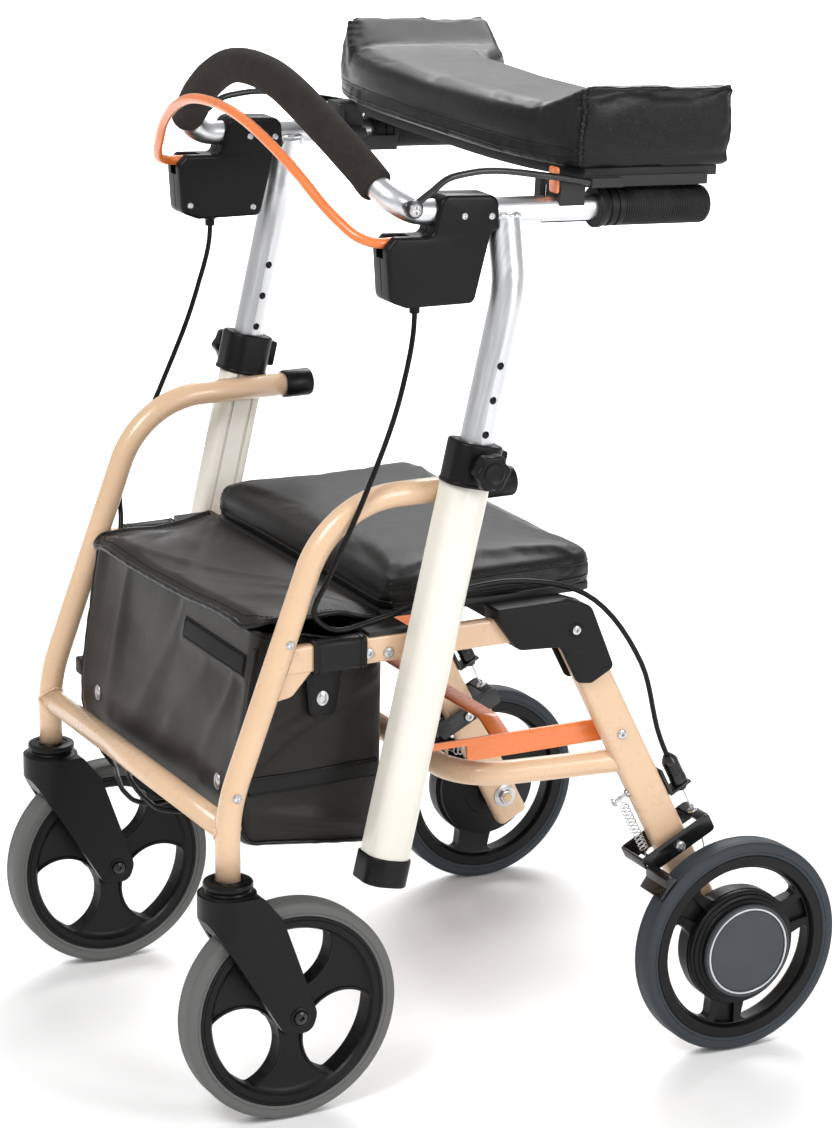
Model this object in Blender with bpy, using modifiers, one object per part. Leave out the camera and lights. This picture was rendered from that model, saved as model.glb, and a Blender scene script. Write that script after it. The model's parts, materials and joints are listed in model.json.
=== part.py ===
# Wheeled walker with a forearm rest, a seat and a bag.
# Metres, +Z up. The front, with the casters, is -Y; the walker's left side is +X.
# The origin is on the floor, midway between the axles.
import math

import bmesh
import bpy
from mathutils import Matrix, Vector

# driving sizes
GAP = 0.0003  # between pieces that touch
WHEEL_RADIUS = 0.100
WHEELBASE = 0.431
SEAT_HEIGHT = 0.470
HANDLE_HEIGHT = 0.792  # axis of the handle tube above the height posts
HANDLE_FALL = math.radians(2.9)  # the hand grips lie lower than the front bar
HANDLE_X = 0.2145
FOAM_BAR_HEIGHT = HANDLE_HEIGHT + 0.098
GRIP_END_Y = 0.176

# front frame
TUBE_RADIUS = 0.011
FRAME_X = 0.2035
CASTER_TRAIL = 0.0558
STEM_BOTTOM = 0.2280
FRONT_BEND_Z = 0.291
FRONT_LEAN = math.radians(20.5)
FRONT_TOP_Z = 0.5515
FRONT_END_Y = -0.002
FRONT_LOWER_BEND = 0.150
FRONT_UPPER_BEND = 0.090
CROSSBAR_Z = 0.272
CAP_LENGTH = 0.028
CAP_WALL = 0.0022
STEM_BORE = 0.0063
STEM_LENGTH = 0.040
STEM_CLEARANCE = 0.0005
BOLT_HEAD = 0.0055

# side rail and the bracket at its rear end
RAIL_Z = 0.417
RAIL_HEIGHT = 0.024
RAIL_THICK = 0.012
RAIL_END_Y = 0.030
RAIL_BOSS = 0.0095
GUSSET_THICK = 0.009
FOLD_Y = 0.0585
FOLD_Z = 0.412
FOLD_PIN = 0.004
BRACKET_WALL = 0.0042
BRACKET_WEB = 0.0065

# column, height post and their clamp
COLUMN_LEAN = math.radians(12.9)
COLUMN_TOP_Y = -0.0575
COLUMN_TOP_Z = 0.569
COLUMN_LENGTH = 0.362
POST_RADIUS = 0.0143
POST_CLEARANCE = 0.0004
COLUMN_WALL = 0.0023
COLUMN_THICK = 2 * (POST_RADIUS + POST_CLEARANCE + COLUMN_WALL)
COLUMN_WIDTH = COLUMN_THICK + 0.005
POST_INSIDE = 0.190
POST_BEND_Z = HANDLE_HEIGHT - 0.064
POST_BEND = 0.110
POST_TOP_Y = -0.0185
HOLE_RADIUS = 0.0033
HOLE_PITCH = 0.030
HOLES_ABOVE = 3
COLLAR_HEIGHT = 0.030
COLLAR_SKIRT = 0.008
COLLAR_SPLIT = 0.0024
FOOT_HEIGHT = 0.022
KNOB_RADIUS = 0.0165
KNOB_LOBES = 6
KNOB_THICK = 0.013

# rear legs, cross tube and fold latch
REAR_AXLE_Y = WHEELBASE / 2
LEG_X = 0.205
LEG_WIDTH = 0.033
LEG_THICK = 0.018
LEG_PAST_AXLE = 0.030
CROSS_TUBE_RADIUS = 0.011
CROSS_TUBE_Z = 0.277
CROSS_TUBE_Y = -0.035
CROSS_TUBE_ROOT_X = 0.201
CROSS_TUBE_X = 0.181
CROSS_TUBE_BEND = 0.050
LATCH_X = 0.190
LATCH_THICK = 0.003
LATCH_HEIGHT = 0.021
LATCH_Z = 0.3055
LATCH_PIVOT_Y = FOLD_Y + (REAR_AXLE_Y - FOLD_Y) * (FOLD_Z - LATCH_Z) / (FOLD_Z - WHEEL_RADIUS) - 0.0020913462
LATCH_FRONT_Y = -0.034
LATCH_PIN_Y = -0.1040
LATCH_PIN_Z = 0.3065
LATCH_PIN = 0.003
LATCH_PLAY = 0.0012
LATCH_LIP = 0.008
LATCH_SCREW = 0.0032
HANDLE_STRIP_Y = 0.004
HANDLE_STRIP_Z = 0.3235
HANDLE_STRIP_FLAT = 0.158
HANDLE_STRIP_WIDTH = 0.018
LATCH_SPRING_Y = 0.000
LATCH_SPRING_Z = 0.2990
LATCH_POST = 0.0060
TUBE_POST_X = 0.148
TUBE_POST_BACK = 0.003
SPRING_POST = 0.0016

# wheels
FRONT_TYRE_WIDTH = 0.027
REAR_WHEEL_X = 0.247
REAR_TYRE_WIDTH = 0.0255
RIM_RADIUS = 0.0875
RIM_INNER = 0.0775
TYRE_SHOULDER = 0.0045
AXLE_RADIUS = 0.0050
AXLE_CLEARANCE = 0.0004
AXLE_END_X = 0.2615
FORK_INNER = 0.0172
FORK_OUTER = 0.0268
WHEEL_ROOM = 0.005
DRUM_RADIUS = 0.0520
HUB_CAP_RADIUS = 0.0410
HUB_CAP_X = 0.2712

# brakes
LEG_LENGTH = math.hypot(REAR_AXLE_Y - FOLD_Y, FOLD_Z - WHEEL_RADIUS)
LEVER_PIVOT_ALONG = LEG_LENGTH - 0.1058749633  # distance down the leg from the fold pin
LEVER_PIN = 0.0030
LEVER_HALF_WIDTH = 0.0195
LEVER_UP = 0.0110
LEVER_DOWN = 0.0075
LEVER_FRONT = 0.0395
LEVER_REAR = 0.0380
LEVER_WALL = 0.0022
SHOE_GAP = 0.0020
SPRING_TOP_ALONG = LEG_LENGTH - 0.1717749633
SPRING_ACROSS = -0.0255
SPRING_PIN_DOWN = 0.0015
CABLE_ACROSS = 0.0325
CLAMP_ALONG = LEG_LENGTH - 0.1497749633
CLAMP_THICK = 0.0030
WIRE_TOP = LEG_LENGTH - 0.1587749633
WIRE_TAIL = 0.034
BARREL_BORE = 0.0034
CABLE_RADIUS = 0.0024
SLACK_Z = 0.2100  # lowest height of the right cable's loop, above the casters
WIRE_RADIUS = 0.0008
BOX_THICK = 0.030
GLAND_Y = -0.0995
GLAND_Z = HANDLE_HEIGHT - 0.0825
GLAND_INWARD = 0.004
BAR_RADIUS = 0.0045
BAR_PIN = 0.0026
BAR_PIVOT_Y = -0.1185
BAR_PIVOT_Z = HANDLE_HEIGHT - 0.0195

# forearm rest
FOAM_RADIUS = 0.0155
FOAM_END_X = 0.1965
GRIP_RADIUS = 0.0165
RIB_PITCH = 0.0110
RIB_DEPTH = 0.0014
PAD_HALF = 0.2315
PAD_WING_FOOT = 0.177
PAD_FLAT = 0.0455
PAD_WING = 0.0280
PAD_BOTTOM = 0.0345
PAD_FOOT_HALF = 0.0145
PAD_FOOT_WIDTH = PAD_FOOT_HALF + TUBE_RADIUS
LUG_Y = 0.046
PAD_LATCH_PIVOT = 0.0200
PAD_LATCH_PIN = 0.0020
ARM_RADIUS = 0.0030
STUD_RADIUS = 0.0030
ARM_PIVOT_Y = -0.1105
ARM_PIVOT_Z = HANDLE_HEIGHT + 0.0100

# seat and bag
SEAT_HALF = 0.183
SEAT_FRONT_Y = -0.112
SEAT_REAR_Y = 0.107
SEAT_THICK = 0.030
SEAT_CORNER = 0.027
SEAT_STRIP = 0.004
STRIP_FRONT_Y = -0.140
STRIP_WIDTH = 0.040
BAG_HALF = 0.180
BAG_WALL = 0.0025
STRAP_THICK = 0.0022
STRAP_Y = -0.168
STRAP_WIDTH = 0.050
FLAP_HINGE_Y = -0.1140
FLAP_FRONT_Y = -0.2370
FLAP_Z = 0.4370
FLAP_THICK = 0.0025

# how round the pieces are drawn, and the planes that outlines lie in
TUBE_SIDES = 10
POST_SIDES = 12
WHEEL_SIDES = 24
SIDE = Matrix(((0, 0, 1, 0), (1, 0, 0, 0), (0, 1, 0, 0), (0, 0, 0, 1)))  # (y, z), depth along +X
CROSSWISE = Matrix(((1, 0, 0, 0), (0, 0, -1, 0), (0, 1, 0, 0), (0, 0, 0, 1)))  # (x, z), depth along -Y

# places that follow from the sizes
FRONT_AXLE_Y = -WHEELBASE / 2
STEM_Y = FRONT_AXLE_Y - CASTER_TRAIL
COLUMN_X = FRAME_X + TUBE_RADIUS + GAP + COLUMN_THICK / 2
LEG_LEAN = math.atan2(REAR_AXLE_Y - FOLD_Y, FOLD_Z - WHEEL_RADIUS)

TAN = (0.72, 0.50, 0.33)
CREAM = (0.80, 0.78, 0.70)
SATIN = (0.70, 0.71, 0.73)
ORANGE = (0.85, 0.22, 0.05)
BLACK = (0.018, 0.018, 0.020)
VINYL = (0.030, 0.030, 0.033)
CLOTH = (0.045, 0.042, 0.040)
FOAM = (0.030, 0.028, 0.026)
LIGHT_TYRE = (0.20, 0.20, 0.21)
DARK_TYRE = (0.055, 0.065, 0.080)
ZINC = (0.62, 0.62, 0.64)
DISC = (0.14, 0.15, 0.16)

for old in list(bpy.data.objects):
    bpy.data.objects.remove(old, do_unlink=True)
walker = bpy.data.collections.new("wheeled_walker")
bpy.context.scene.collection.children.link(walker)


# building blocks

def painted(obj, colour, roughness=0.5, metallic=0.0):
    material = bpy.data.materials.new(obj.name)
    material.use_nodes = True
    shader = material.node_tree.nodes["Principled BSDF"]
    shader.inputs["Base Color"].default_value = (*colour, 1)
    shader.inputs["Roughness"].default_value = roughness
    shader.inputs["Metallic"].default_value = metallic
    obj.data.materials.clear()
    obj.data.materials.append(material)
    return obj


def placed(name, mesh, matrix=None):
    """An object that holds this mesh, its vertices given in the walker's frame."""
    if matrix is not None:
        mesh.transform(matrix)
    mesh.shade_smooth()
    mesh.set_sharp_from_angle(angle=math.radians(35))
    obj = bpy.data.objects.new(name, mesh)
    walker.objects.link(obj)
    return obj


def evaluated(obj):
    """The object's mesh after its modifiers, with loose caps welded."""
    graph = bpy.context.evaluated_depsgraph_get()
    mesh = bpy.data.meshes.new_from_object(obj.evaluated_get(graph))
    body = bmesh.new()
    body.from_mesh(mesh)
    bmesh.ops.remove_doubles(body, verts=body.verts, dist=0.00001)
    bmesh.ops.dissolve_limit(body, angle_limit=math.radians(0.3), verts=body.verts, edges=body.edges)
    bmesh.ops.recalc_face_normals(body, faces=body.faces)
    body.to_mesh(mesh)
    body.free()
    return mesh


def as_mesh(obj):
    """Replaces a curve, or an object with modifiers, by its plain mesh."""
    name = obj.name
    mesh = evaluated(obj)
    mesh.transform(obj.matrix_world)
    bpy.data.objects.remove(obj)
    return placed(name, mesh)


def combined(obj, others, operation):
    for other in others:
        modifier = obj.modifiers.new(operation.lower(), "BOOLEAN")
        modifier.operation = operation
        modifier.object = other
    obj = as_mesh(obj)
    for other in others:
        bpy.data.objects.remove(other)
    return obj


def union(obj, *others):
    return combined(obj, others, "UNION")


def cut(obj, *tools):
    return combined(obj, tools, "DIFFERENCE")


def clipped(obj, *tools):
    return combined(obj, tools, "INTERSECT")


def bevelled(obj, width, segments=2, angle=40):
    modifier = obj.modifiers.new("bevel", "BEVEL")
    modifier.width = width
    modifier.segments = segments
    modifier.limit_method = "ANGLE"
    modifier.angle_limit = math.radians(angle)
    return as_mesh(obj)


def block(name, low, high):
    body = bmesh.new()
    size = Vector(high) - Vector(low)
    bmesh.ops.create_cube(body, size=1, matrix=Matrix.Diagonal((*size, 1)))
    mesh = bpy.data.meshes.new(name)
    body.to_mesh(mesh)
    body.free()
    return placed(name, mesh, Matrix.Translation((Vector(low) + Vector(high)) / 2))


def rod(name, start, end, radius, sides=12):
    """A straight cylinder from one point to another."""
    start, end = Vector(start), Vector(end)
    body = bmesh.new()
    bmesh.ops.create_cone(
        body,
        cap_ends=True,
        segments=sides,
        radius1=radius,
        radius2=radius,
        depth=(end - start).length,
    )
    mesh = bpy.data.meshes.new(name)
    body.to_mesh(mesh)
    body.free()
    turn = (end - start).to_track_quat("Z", "Y").to_matrix().to_4x4()
    return placed(name, mesh, Matrix.Translation((start + end) / 2) @ turn)


def filleted(corners, radii, turn=math.radians(18)):
    """Points along a path with straight runs and a round bend at each inner corner."""
    corners = [Vector(c) for c in corners]
    points = [corners[0]]
    for before, corner, after, radius in zip(corners, corners[1:], corners[2:], radii):
        into, out = (before - corner).normalized(), (after - corner).normalized()
        half = into.angle(out) / 2
        reach = radius / math.tan(half)
        centre = corner + (into + out).normalized() * (radius / math.sin(half))
        first, last = corner + into * reach, corner + out * reach
        swept = math.pi - 2 * half
        count = max(1, round(swept / turn))
        a, b = first - centre, last - centre
        for i in range(count + 1):
            share = i / count
            arm = a * math.sin((1 - share) * swept) + b * math.sin(share * swept)
            points.append(centre + arm / math.sin(swept))
    points.append(corners[-1])
    return points


def smooth_path(knots, per_span):
    """Points on the smooth curve that passes through the knots."""
    knots = [Vector(k) for k in knots]
    ends = [2 * knots[0] - knots[1], *knots, 2 * knots[-1] - knots[-2]]
    points = []
    for a, b, c, d in zip(ends, ends[1:], ends[2:], ends[3:]):
        for i in range(per_span):
            t = i / per_span
            slope, bend = c - a, 2 * a - 5 * b + 4 * c - d
            points.append(0.5 * (2 * b + slope * t + bend * t**2 + (3 * b - a - 3 * c + d) * t**3))
    points.append(knots[-1])
    return points


def tube(name, points, radius, sides=TUBE_SIDES):
    """A round bar along the points; with open ends it is only the skin."""
    curve = bpy.data.curves.new(name, "CURVE")
    curve.dimensions = "3D"
    curve.twist_mode = "MINIMUM"
    curve.bevel_depth = radius
    curve.bevel_resolution = (sides - 4) // 2
    curve.use_fill_caps = True
    spline = curve.splines.new("POLY")
    spline.points.add(len(points) - 1)
    for point, at in zip(spline.points, points):
        point.co = (*at, 1)
    obj = bpy.data.objects.new(name, curve)
    walker.objects.link(obj)
    return as_mesh(obj)


def plate(name, outlines, low, high, matrix=SIDE, bevel=0.0, steps=1):
    """A flat outline, with any holes after it, made solid between two depths along its own normal."""
    curve = bpy.data.curves.new(name, "CURVE")
    curve.dimensions = "2D"
    curve.fill_mode = "BOTH"
    curve.extrude = (high - low) / 2 - bevel
    curve.bevel_depth = bevel
    curve.bevel_resolution = steps - 1
    curve.offset = -bevel
    for outline in outlines:
        spline = curve.splines.new("POLY")
        spline.points.add(len(outline) - 1)
        spline.use_cyclic_u = True
        for point, at in zip(spline.points, outline):
            point.co = (at[0], at[1], 0, 1)
    obj = bpy.data.objects.new(name, curve)
    walker.objects.link(obj)
    obj.matrix_world = matrix @ Matrix.Translation((0, 0, (low + high) / 2))
    bpy.context.view_layer.update()
    return as_mesh(obj)


def ring_points(radius, sides=16, centre=(0, 0), start=0.0):
    turns = (start + 2 * math.pi * i / sides for i in range(sides))
    return [(centre[0] + radius * math.cos(t), centre[1] + radius * math.sin(t)) for t in turns]


def rounded(corners, radii, turn=math.radians(42)):
    """A closed outline with round corners; one radius, or one for each corner."""
    if not isinstance(radii, (list, tuple)):
        radii = [radii] * len(corners)
    corners = [Vector((*c, 0)) for c in corners]
    points = []
    for i, corner in enumerate(corners):
        before, after = corners[i - 1], corners[(i + 1) % len(corners)]
        if not radii[i]:
            points.append((corner.x, corner.y))
            continue
        arc = filleted([before, corner, after], [radii[i]], turn=turn)[1:-1]
        points += [(p.x, p.y) for p in arc]
    return points


def rectangle(half_width, half_height, radius, centre=(0, 0)):
    x, y = centre
    corners = [
        (x - half_width, y - half_height),
        (x + half_width, y - half_height),
        (x + half_width, y + half_height),
        (x - half_width, y + half_height),
    ]
    return rounded(corners, radius)


def turned(name, profile, matrix, sides=20):
    """A solid of revolution; the profile is (radius, height), from top to bottom on the outer side."""
    body = bmesh.new()
    points = [body.verts.new((r, 0, h)) for r, h in profile]
    for a, b in zip(points, points[1:]):
        body.edges.new((a, b))
    mesh = bpy.data.meshes.new(name)
    body.to_mesh(mesh)
    body.free()
    obj = bpy.data.objects.new(name, mesh)
    walker.objects.link(obj)
    screw = obj.modifiers.new("screw", "SCREW")
    screw.steps = screw.render_steps = sides
    screw.use_merge_vertices = True
    screw.merge_threshold = 0.00005
    solid = as_mesh(obj)
    solid.data.transform(matrix)
    return solid


def along_x(x, y, z):
    """Turns a solid of revolution so that its height runs along +X."""
    return Matrix.Translation((x, y, z)) @ Matrix.Rotation(math.pi / 2, 4, "Y")


def moved_to(obj, origin):
    """Puts the object's origin at the point that it turns about."""
    obj.data.transform(Matrix.Translation(-Vector(origin)))
    obj.location = origin
    return obj


def twin(obj, name):
    """The same piece on the walker's right side."""
    mesh = obj.data.copy()
    mesh.transform(Matrix.Diagonal((-1, 1, 1, 1)))
    mesh.flip_normals()
    copy = bpy.data.objects.new(name, mesh)
    walker.objects.link(copy)
    copy.location = (-obj.location.x, obj.location.y, obj.location.z)
    mesh.materials.clear()
    mesh.materials.append(obj.data.materials[0].copy())
    mesh.materials[0].name = name
    return copy


def both_sides(obj):
    """Names the left piece and adds its twin."""
    base = obj.name
    obj.name = base + "_left"
    return obj, twin(obj, base + "_right")


# frames of the leaning pieces


def column_frame():
    """Origin at the column's top, Z up along the column."""
    return Matrix.Translation((COLUMN_X, COLUMN_TOP_Y, COLUMN_TOP_Z)) @ Matrix.Rotation(-COLUMN_LEAN, 4, "X")


def leg_point(along, across=0.0, x=LEG_X):
    """A point measured down the leg from the fold pin, and across it towards the rear."""
    y = FOLD_Y + along * math.sin(LEG_LEAN) + across * math.cos(LEG_LEAN)
    z = FOLD_Z - along * math.cos(LEG_LEAN) + across * math.sin(LEG_LEAN)
    return Vector((x, y, z))


def leg_frame():
    """Outlines are given as (down the leg, across to the rear); depth runs along +X."""
    down = Vector((0, math.sin(LEG_LEAN), -math.cos(LEG_LEAN)))
    across = Vector((0, math.cos(LEG_LEAN), math.sin(LEG_LEAN)))
    turn = Matrix((down, across, down.cross(across))).transposed().to_4x4()
    return Matrix.Translation((0, FOLD_Y, FOLD_Z)) @ turn


def handle_z(y):
    """Height of the handle tube's axis at this y, on its straight run."""
    return HANDLE_HEIGHT - (y - POST_TOP_Y) * math.tan(HANDLE_FALL)


def handle_frame_at(y):
    """Origin on the handle tube's axis, Y towards the grip's end, Z up from the tube."""
    return Matrix.Translation((0, y, handle_z(y))) @ Matrix.Rotation(-HANDLE_FALL, 4, "X")


def column_y(z):
    return COLUMN_TOP_Y + (z - COLUMN_TOP_Z) * math.tan(COLUMN_LEAN)


# front frame


def front_tube_path(x, past=0.0):
    elbow_y = STEM_Y + (FRONT_TOP_Z - FRONT_BEND_Z) * math.tan(FRONT_LEAN)
    corners = [
        (x, STEM_Y, STEM_BOTTOM),
        (x, STEM_Y, FRONT_BEND_Z),
        (x, elbow_y, FRONT_TOP_Z),
        (x, FRONT_END_Y + past, FRONT_TOP_Z),
    ]
    return filleted(corners, [FRONT_LOWER_BEND, FRONT_UPPER_BEND])


def make_front_frame():
    frame = tube("front_frame", front_tube_path(FRAME_X), TUBE_RADIUS)
    right = tube("right", front_tube_path(-FRAME_X), TUBE_RADIUS)
    ends = [(FRAME_X, STEM_Y, CROSSBAR_Z), (-FRAME_X, STEM_Y, CROSSBAR_Z)]
    frame = union(frame, tube("crossbar", ends, TUBE_RADIUS), right)
    bores = []
    for side in (1, -1):
        top = (side * FRAME_X, STEM_Y, STEM_BOTTOM + STEM_LENGTH + 0.002)
        bores.append(rod("bore", (side * FRAME_X, STEM_Y, STEM_BOTTOM - 0.01), top, STEM_BORE))
    return painted(cut(frame, *bores), TAN, 0.28)


def make_side_rail():
    """Flat-sided tube from the front tube to the rear bracket, with a gusset and the column's boss."""
    tube_y = STEM_Y + (RAIL_Z - FRONT_BEND_Z) * math.tan(FRONT_LEAN)
    section = rectangle(RAIL_THICK / 2, RAIL_HEIGHT / 2, 0.003, (FRAME_X, RAIL_Z))
    rail = plate("side_rail", [section], -RAIL_END_Y, -tube_y, CROSSWISE)
    low = RAIL_Z - RAIL_HEIGHT / 2
    corners = [
        (tube_y, low + 0.004),
        (tube_y - 0.012, low - 0.024),
        (tube_y + 0.012, low - 0.020),
        (tube_y + 0.034, low + 0.004),
    ]
    gusset = rounded(corners, [0, 0, 0.010, 0])
    half = GUSSET_THICK / 2
    web = plate("gusset", [gusset], FRAME_X - half, FRAME_X + half)
    column_face = COLUMN_X - COLUMN_THICK / 2 - GAP
    at = (column_y(RAIL_Z), RAIL_Z)
    boss = rod("boss", (FRAME_X, *at), (column_face, *at), RAIL_BOSS, 14)
    rail = union(rail, web, boss)
    rail = cut(rail, tube("clearance", front_tube_path(FRAME_X), TUBE_RADIUS + GAP))
    return painted(rail, TAN, 0.28)


def make_corner_bracket():
    """Moulded bracket: holds the rail's end, and straddles the leg's top with the fold pin."""
    outline = rounded(
        [
            (-0.0200, 0.4400),
            (-0.0185, 0.4280),
            (0.0020, 0.4000),
            (0.0440, 0.3975),
            (0.0620, 0.3620),
            (0.0760, 0.3600),
            (0.0990, 0.3720),
            (0.0745, 0.4320),
            (0.0520, 0.4400),
        ],
        [0.002, 0.010, 0.010, 0.008, 0.007, 0.006, 0.006, 0.012, 0.012],
    )
    inner = LEG_X - LEG_THICK / 2 - GAP
    outer = LEG_X + LEG_THICK / 2 + GAP
    body = plate("corner_bracket", [outline], inner - BRACKET_WALL, outer + BRACKET_WALL)
    slot_top = 0.4400 - BRACKET_WEB
    slot = block("slot", (inner, RAIL_END_Y + 0.004, 0.33), (outer, 0.12, slot_top))
    pocket_half = RAIL_THICK / 2 + GAP
    high = RAIL_Z + RAIL_HEIGHT / 2 + GAP
    low = RAIL_Z - RAIL_HEIGHT / 2 - GAP
    pocket_low = (FRAME_X - pocket_half, -0.05, low)
    pocket = block("pocket", pocket_low, (FRAME_X + pocket_half, RAIL_END_Y + GAP, high))
    body = cut(body, slot, pocket)
    face = outer + BRACKET_WALL
    pin = rod("pin", (inner - 0.001, FOLD_Y, FOLD_Z), (outer + 0.001, FOLD_Y, FOLD_Z), FOLD_PIN)
    head = rod("head", (face - 0.001, FOLD_Y, FOLD_Z), (face + 0.002, FOLD_Y, FOLD_Z), BOLT_HEAD)
    return painted(union(body, pin, head), BLACK, 0.45)


def make_end_cap():
    """Rubber cup over the front tube's rear end."""
    start = (FRAME_X, FRONT_END_Y - CAP_LENGTH + CAP_WALL, FRONT_TOP_Z)
    end = (FRAME_X, FRONT_END_Y + CAP_WALL, FRONT_TOP_Z)
    cup = rod("tube_end_cap", start, end, TUBE_RADIUS + CAP_WALL)
    bore = tube("bore", front_tube_path(FRAME_X, GAP), TUBE_RADIUS + GAP)
    return painted(cut(cup, bore), BLACK, 0.7)


# column


def column_outline(grow=0.0):
    """Section of the column: a round outer face, two grooves along the inner one."""
    half_x, half_y = COLUMN_THICK / 2 + grow, COLUMN_WIDTH / 2 + grow
    corners = [(-half_x, -half_y), (half_x, -half_y), (half_x, half_y), (-half_x, half_y)]
    return rounded(corners, [0.006, 0.015, 0.015, 0.006], math.radians(30))


def make_column():
    """Extruded column with two grooves along its inner face, and the latch bar's pin."""
    outline = column_outline()
    bore = ring_points(POST_RADIUS + 2 * POST_CLEARANCE, 16)
    column = plate("column", [outline, bore], -COLUMN_LENGTH, 0, column_frame())
    grooves = []
    for side in (1, -1):
        low = (-COLUMN_THICK, side * 0.0095 - 0.0015, -COLUMN_LENGTH - 0.01)
        high = (-COLUMN_THICK / 2 + 0.0018, side * 0.0095 + 0.0015, 0.01)
        groove = block("groove", low, high)
        groove.data.transform(column_frame())
        grooves.append(groove)
    column = cut(column, *grooves)
    face = COLUMN_X - COLUMN_THICK / 2
    end = LATCH_X - LATCH_THICK / 2 - 0.0015
    at = (LATCH_PIN_Y, LATCH_PIN_Z)
    start = face + 0.0010
    pin = rod("pin", (start, *at), (end, *at), LATCH_PIN, 8)
    step = LATCH_X + LATCH_THICK / 2 + GAP
    shoulder = rod("shoulder", (start, *at), (step, *at), LATCH_PIN + 0.0025, 8)
    return painted(union(column, pin, shoulder), CREAM, 0.32)


def make_column_foot():
    """Black cup closing the column's foot."""
    outer = column_outline(0.0015)
    deep = -COLUMN_LENGTH - 0.003
    cup = plate("column_foot", [outer], deep, -COLUMN_LENGTH + FOOT_HEIGHT, column_frame())
    room = plate("room", [column_outline(GAP)], -COLUMN_LENGTH - GAP, 0, column_frame())
    return painted(cut(cup, room), BLACK, 0.5)


def make_collar():
    """Clamp ring on the column's top, split at the rear, with a boss for the knob's screw."""
    frame = column_frame()
    outline = rectangle(COLUMN_THICK / 2 + 0.0035, COLUMN_WIDTH / 2 + 0.0030, 0.0155)
    ring = plate("column_collar", [outline], -COLLAR_SKIRT, COLLAR_HEIGHT, frame)
    column_room = plate("column_room", [column_outline(GAP)], -COLLAR_SKIRT - 0.01, GAP, frame)
    boss_z = COLLAR_HEIGHT / 2 - 0.004
    outer = COLUMN_THICK / 2 + 0.0120
    boss = rod("boss", (0.014, 0, boss_z), (outer, 0, boss_z), 0.0105, 14)
    rear_y = COLUMN_WIDTH / 2
    rear = block("ears", (-0.008, rear_y, 0.002), (0.008, rear_y + 0.0105, COLLAR_HEIGHT - 0.004))
    split_half = COLLAR_SPLIT / 2
    split = block("split", (-split_half, 0.005, -0.012), (split_half, COLUMN_WIDTH, COLLAR_HEIGHT + 0.01))
    screw_room = rod("screw_room", (0.010, 0, boss_z), (outer + 0.01, 0, boss_z), 0.0033, 8)
    post_room = rod("post_room", (0, 0, -0.02), (0, 0, 0.05), POST_RADIUS + GAP, 16)
    for piece in (boss, rear, split, screw_room, post_room):
        piece.data.transform(frame)
    collar = union(ring, boss, rear)
    return painted(cut(collar, column_room, post_room, split, screw_room), BLACK, 0.45)


def knob_centre():
    frame = column_frame()
    return frame @ Vector((COLUMN_THICK / 2 + 0.0120, 0, COLLAR_HEIGHT / 2 - 0.004))


def make_star_knob():
    """Lobed clamp knob with its screw."""
    centre = knob_centre()
    outline = []
    steps = KNOB_LOBES * 4
    for i in range(steps):
        angle = 2 * math.pi * i / steps
        radius = KNOB_RADIUS - 0.0022 * (1 - math.cos(KNOB_LOBES * angle)) / 2
        outline.append((centre.y + radius * math.cos(angle), centre.z + radius * math.sin(angle)))
    face = centre.x + GAP
    knob = plate("star_knob", [outline], face, face + KNOB_THICK)
    top = face + KNOB_THICK
    crown = rod("crown", (top - 0.001, *centre.yz), (top + 0.0015, *centre.yz), 0.0085, 12)
    screw = rod("screw", (centre.x - 0.0085, *centre.yz), (face + 0.002, *centre.yz), 0.0028, 8)
    return moved_to(painted(union(knob, crown, screw), BLACK, 0.4), centre)


# handle frame


def handlebar_path(past=0.0):
    """The whole bar, from the left grip's end over the front arch to the right one's."""
    back = GRIP_END_Y + past
    shoulder_y, shoulder_z = -0.078, handle_z(-0.078)
    half = [
        (HANDLE_X, shoulder_y, shoulder_z),
        (HANDLE_X - 0.0010, -0.1040, shoulder_z + 0.0030),
        (0.2090, -0.1200, HANDLE_HEIGHT + 0.0155),
        (0.1960, -0.1275, HANDLE_HEIGHT + 0.0245),
        (0.1780, -0.1310, HANDLE_HEIGHT + 0.0355),
        (0.1450, -0.1380, HANDLE_HEIGHT + 0.0545),
        (0.1000, -0.1447, HANDLE_HEIGHT + 0.0760),
        (0.0500, -0.1490, HANDLE_HEIGHT + 0.0930),
        (0.0, -0.1505, FOAM_BAR_HEIGHT),
    ]
    left = [Vector((HANDLE_X, back, handle_z(back)))]
    knots = half + [(-x, y, z) for x, y, z in reversed(half[:-1])]
    arch = [Vector(knot) for knot in knots]
    right = [Vector((-HANDLE_X, back, handle_z(back)))]
    return left + arch + right


def post_path(side=1):
    """From inside the column, up its axis, then bent upright and inwards to the handle tube."""
    frame = column_frame()
    low = frame @ Vector((0, 0, -POST_INSIDE))
    bend = frame @ Vector((0, 0, (POST_BEND_Z - COLUMN_TOP_Z) / math.cos(COLUMN_LEAN)))
    top = Vector((HANDLE_X, POST_TOP_Y, handle_z(POST_TOP_Y)))
    points = filleted([low, bend, top], [POST_BEND], turn=math.radians(6))
    return [Vector((side * p.x, p.y, p.z)) for p in points]


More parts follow.
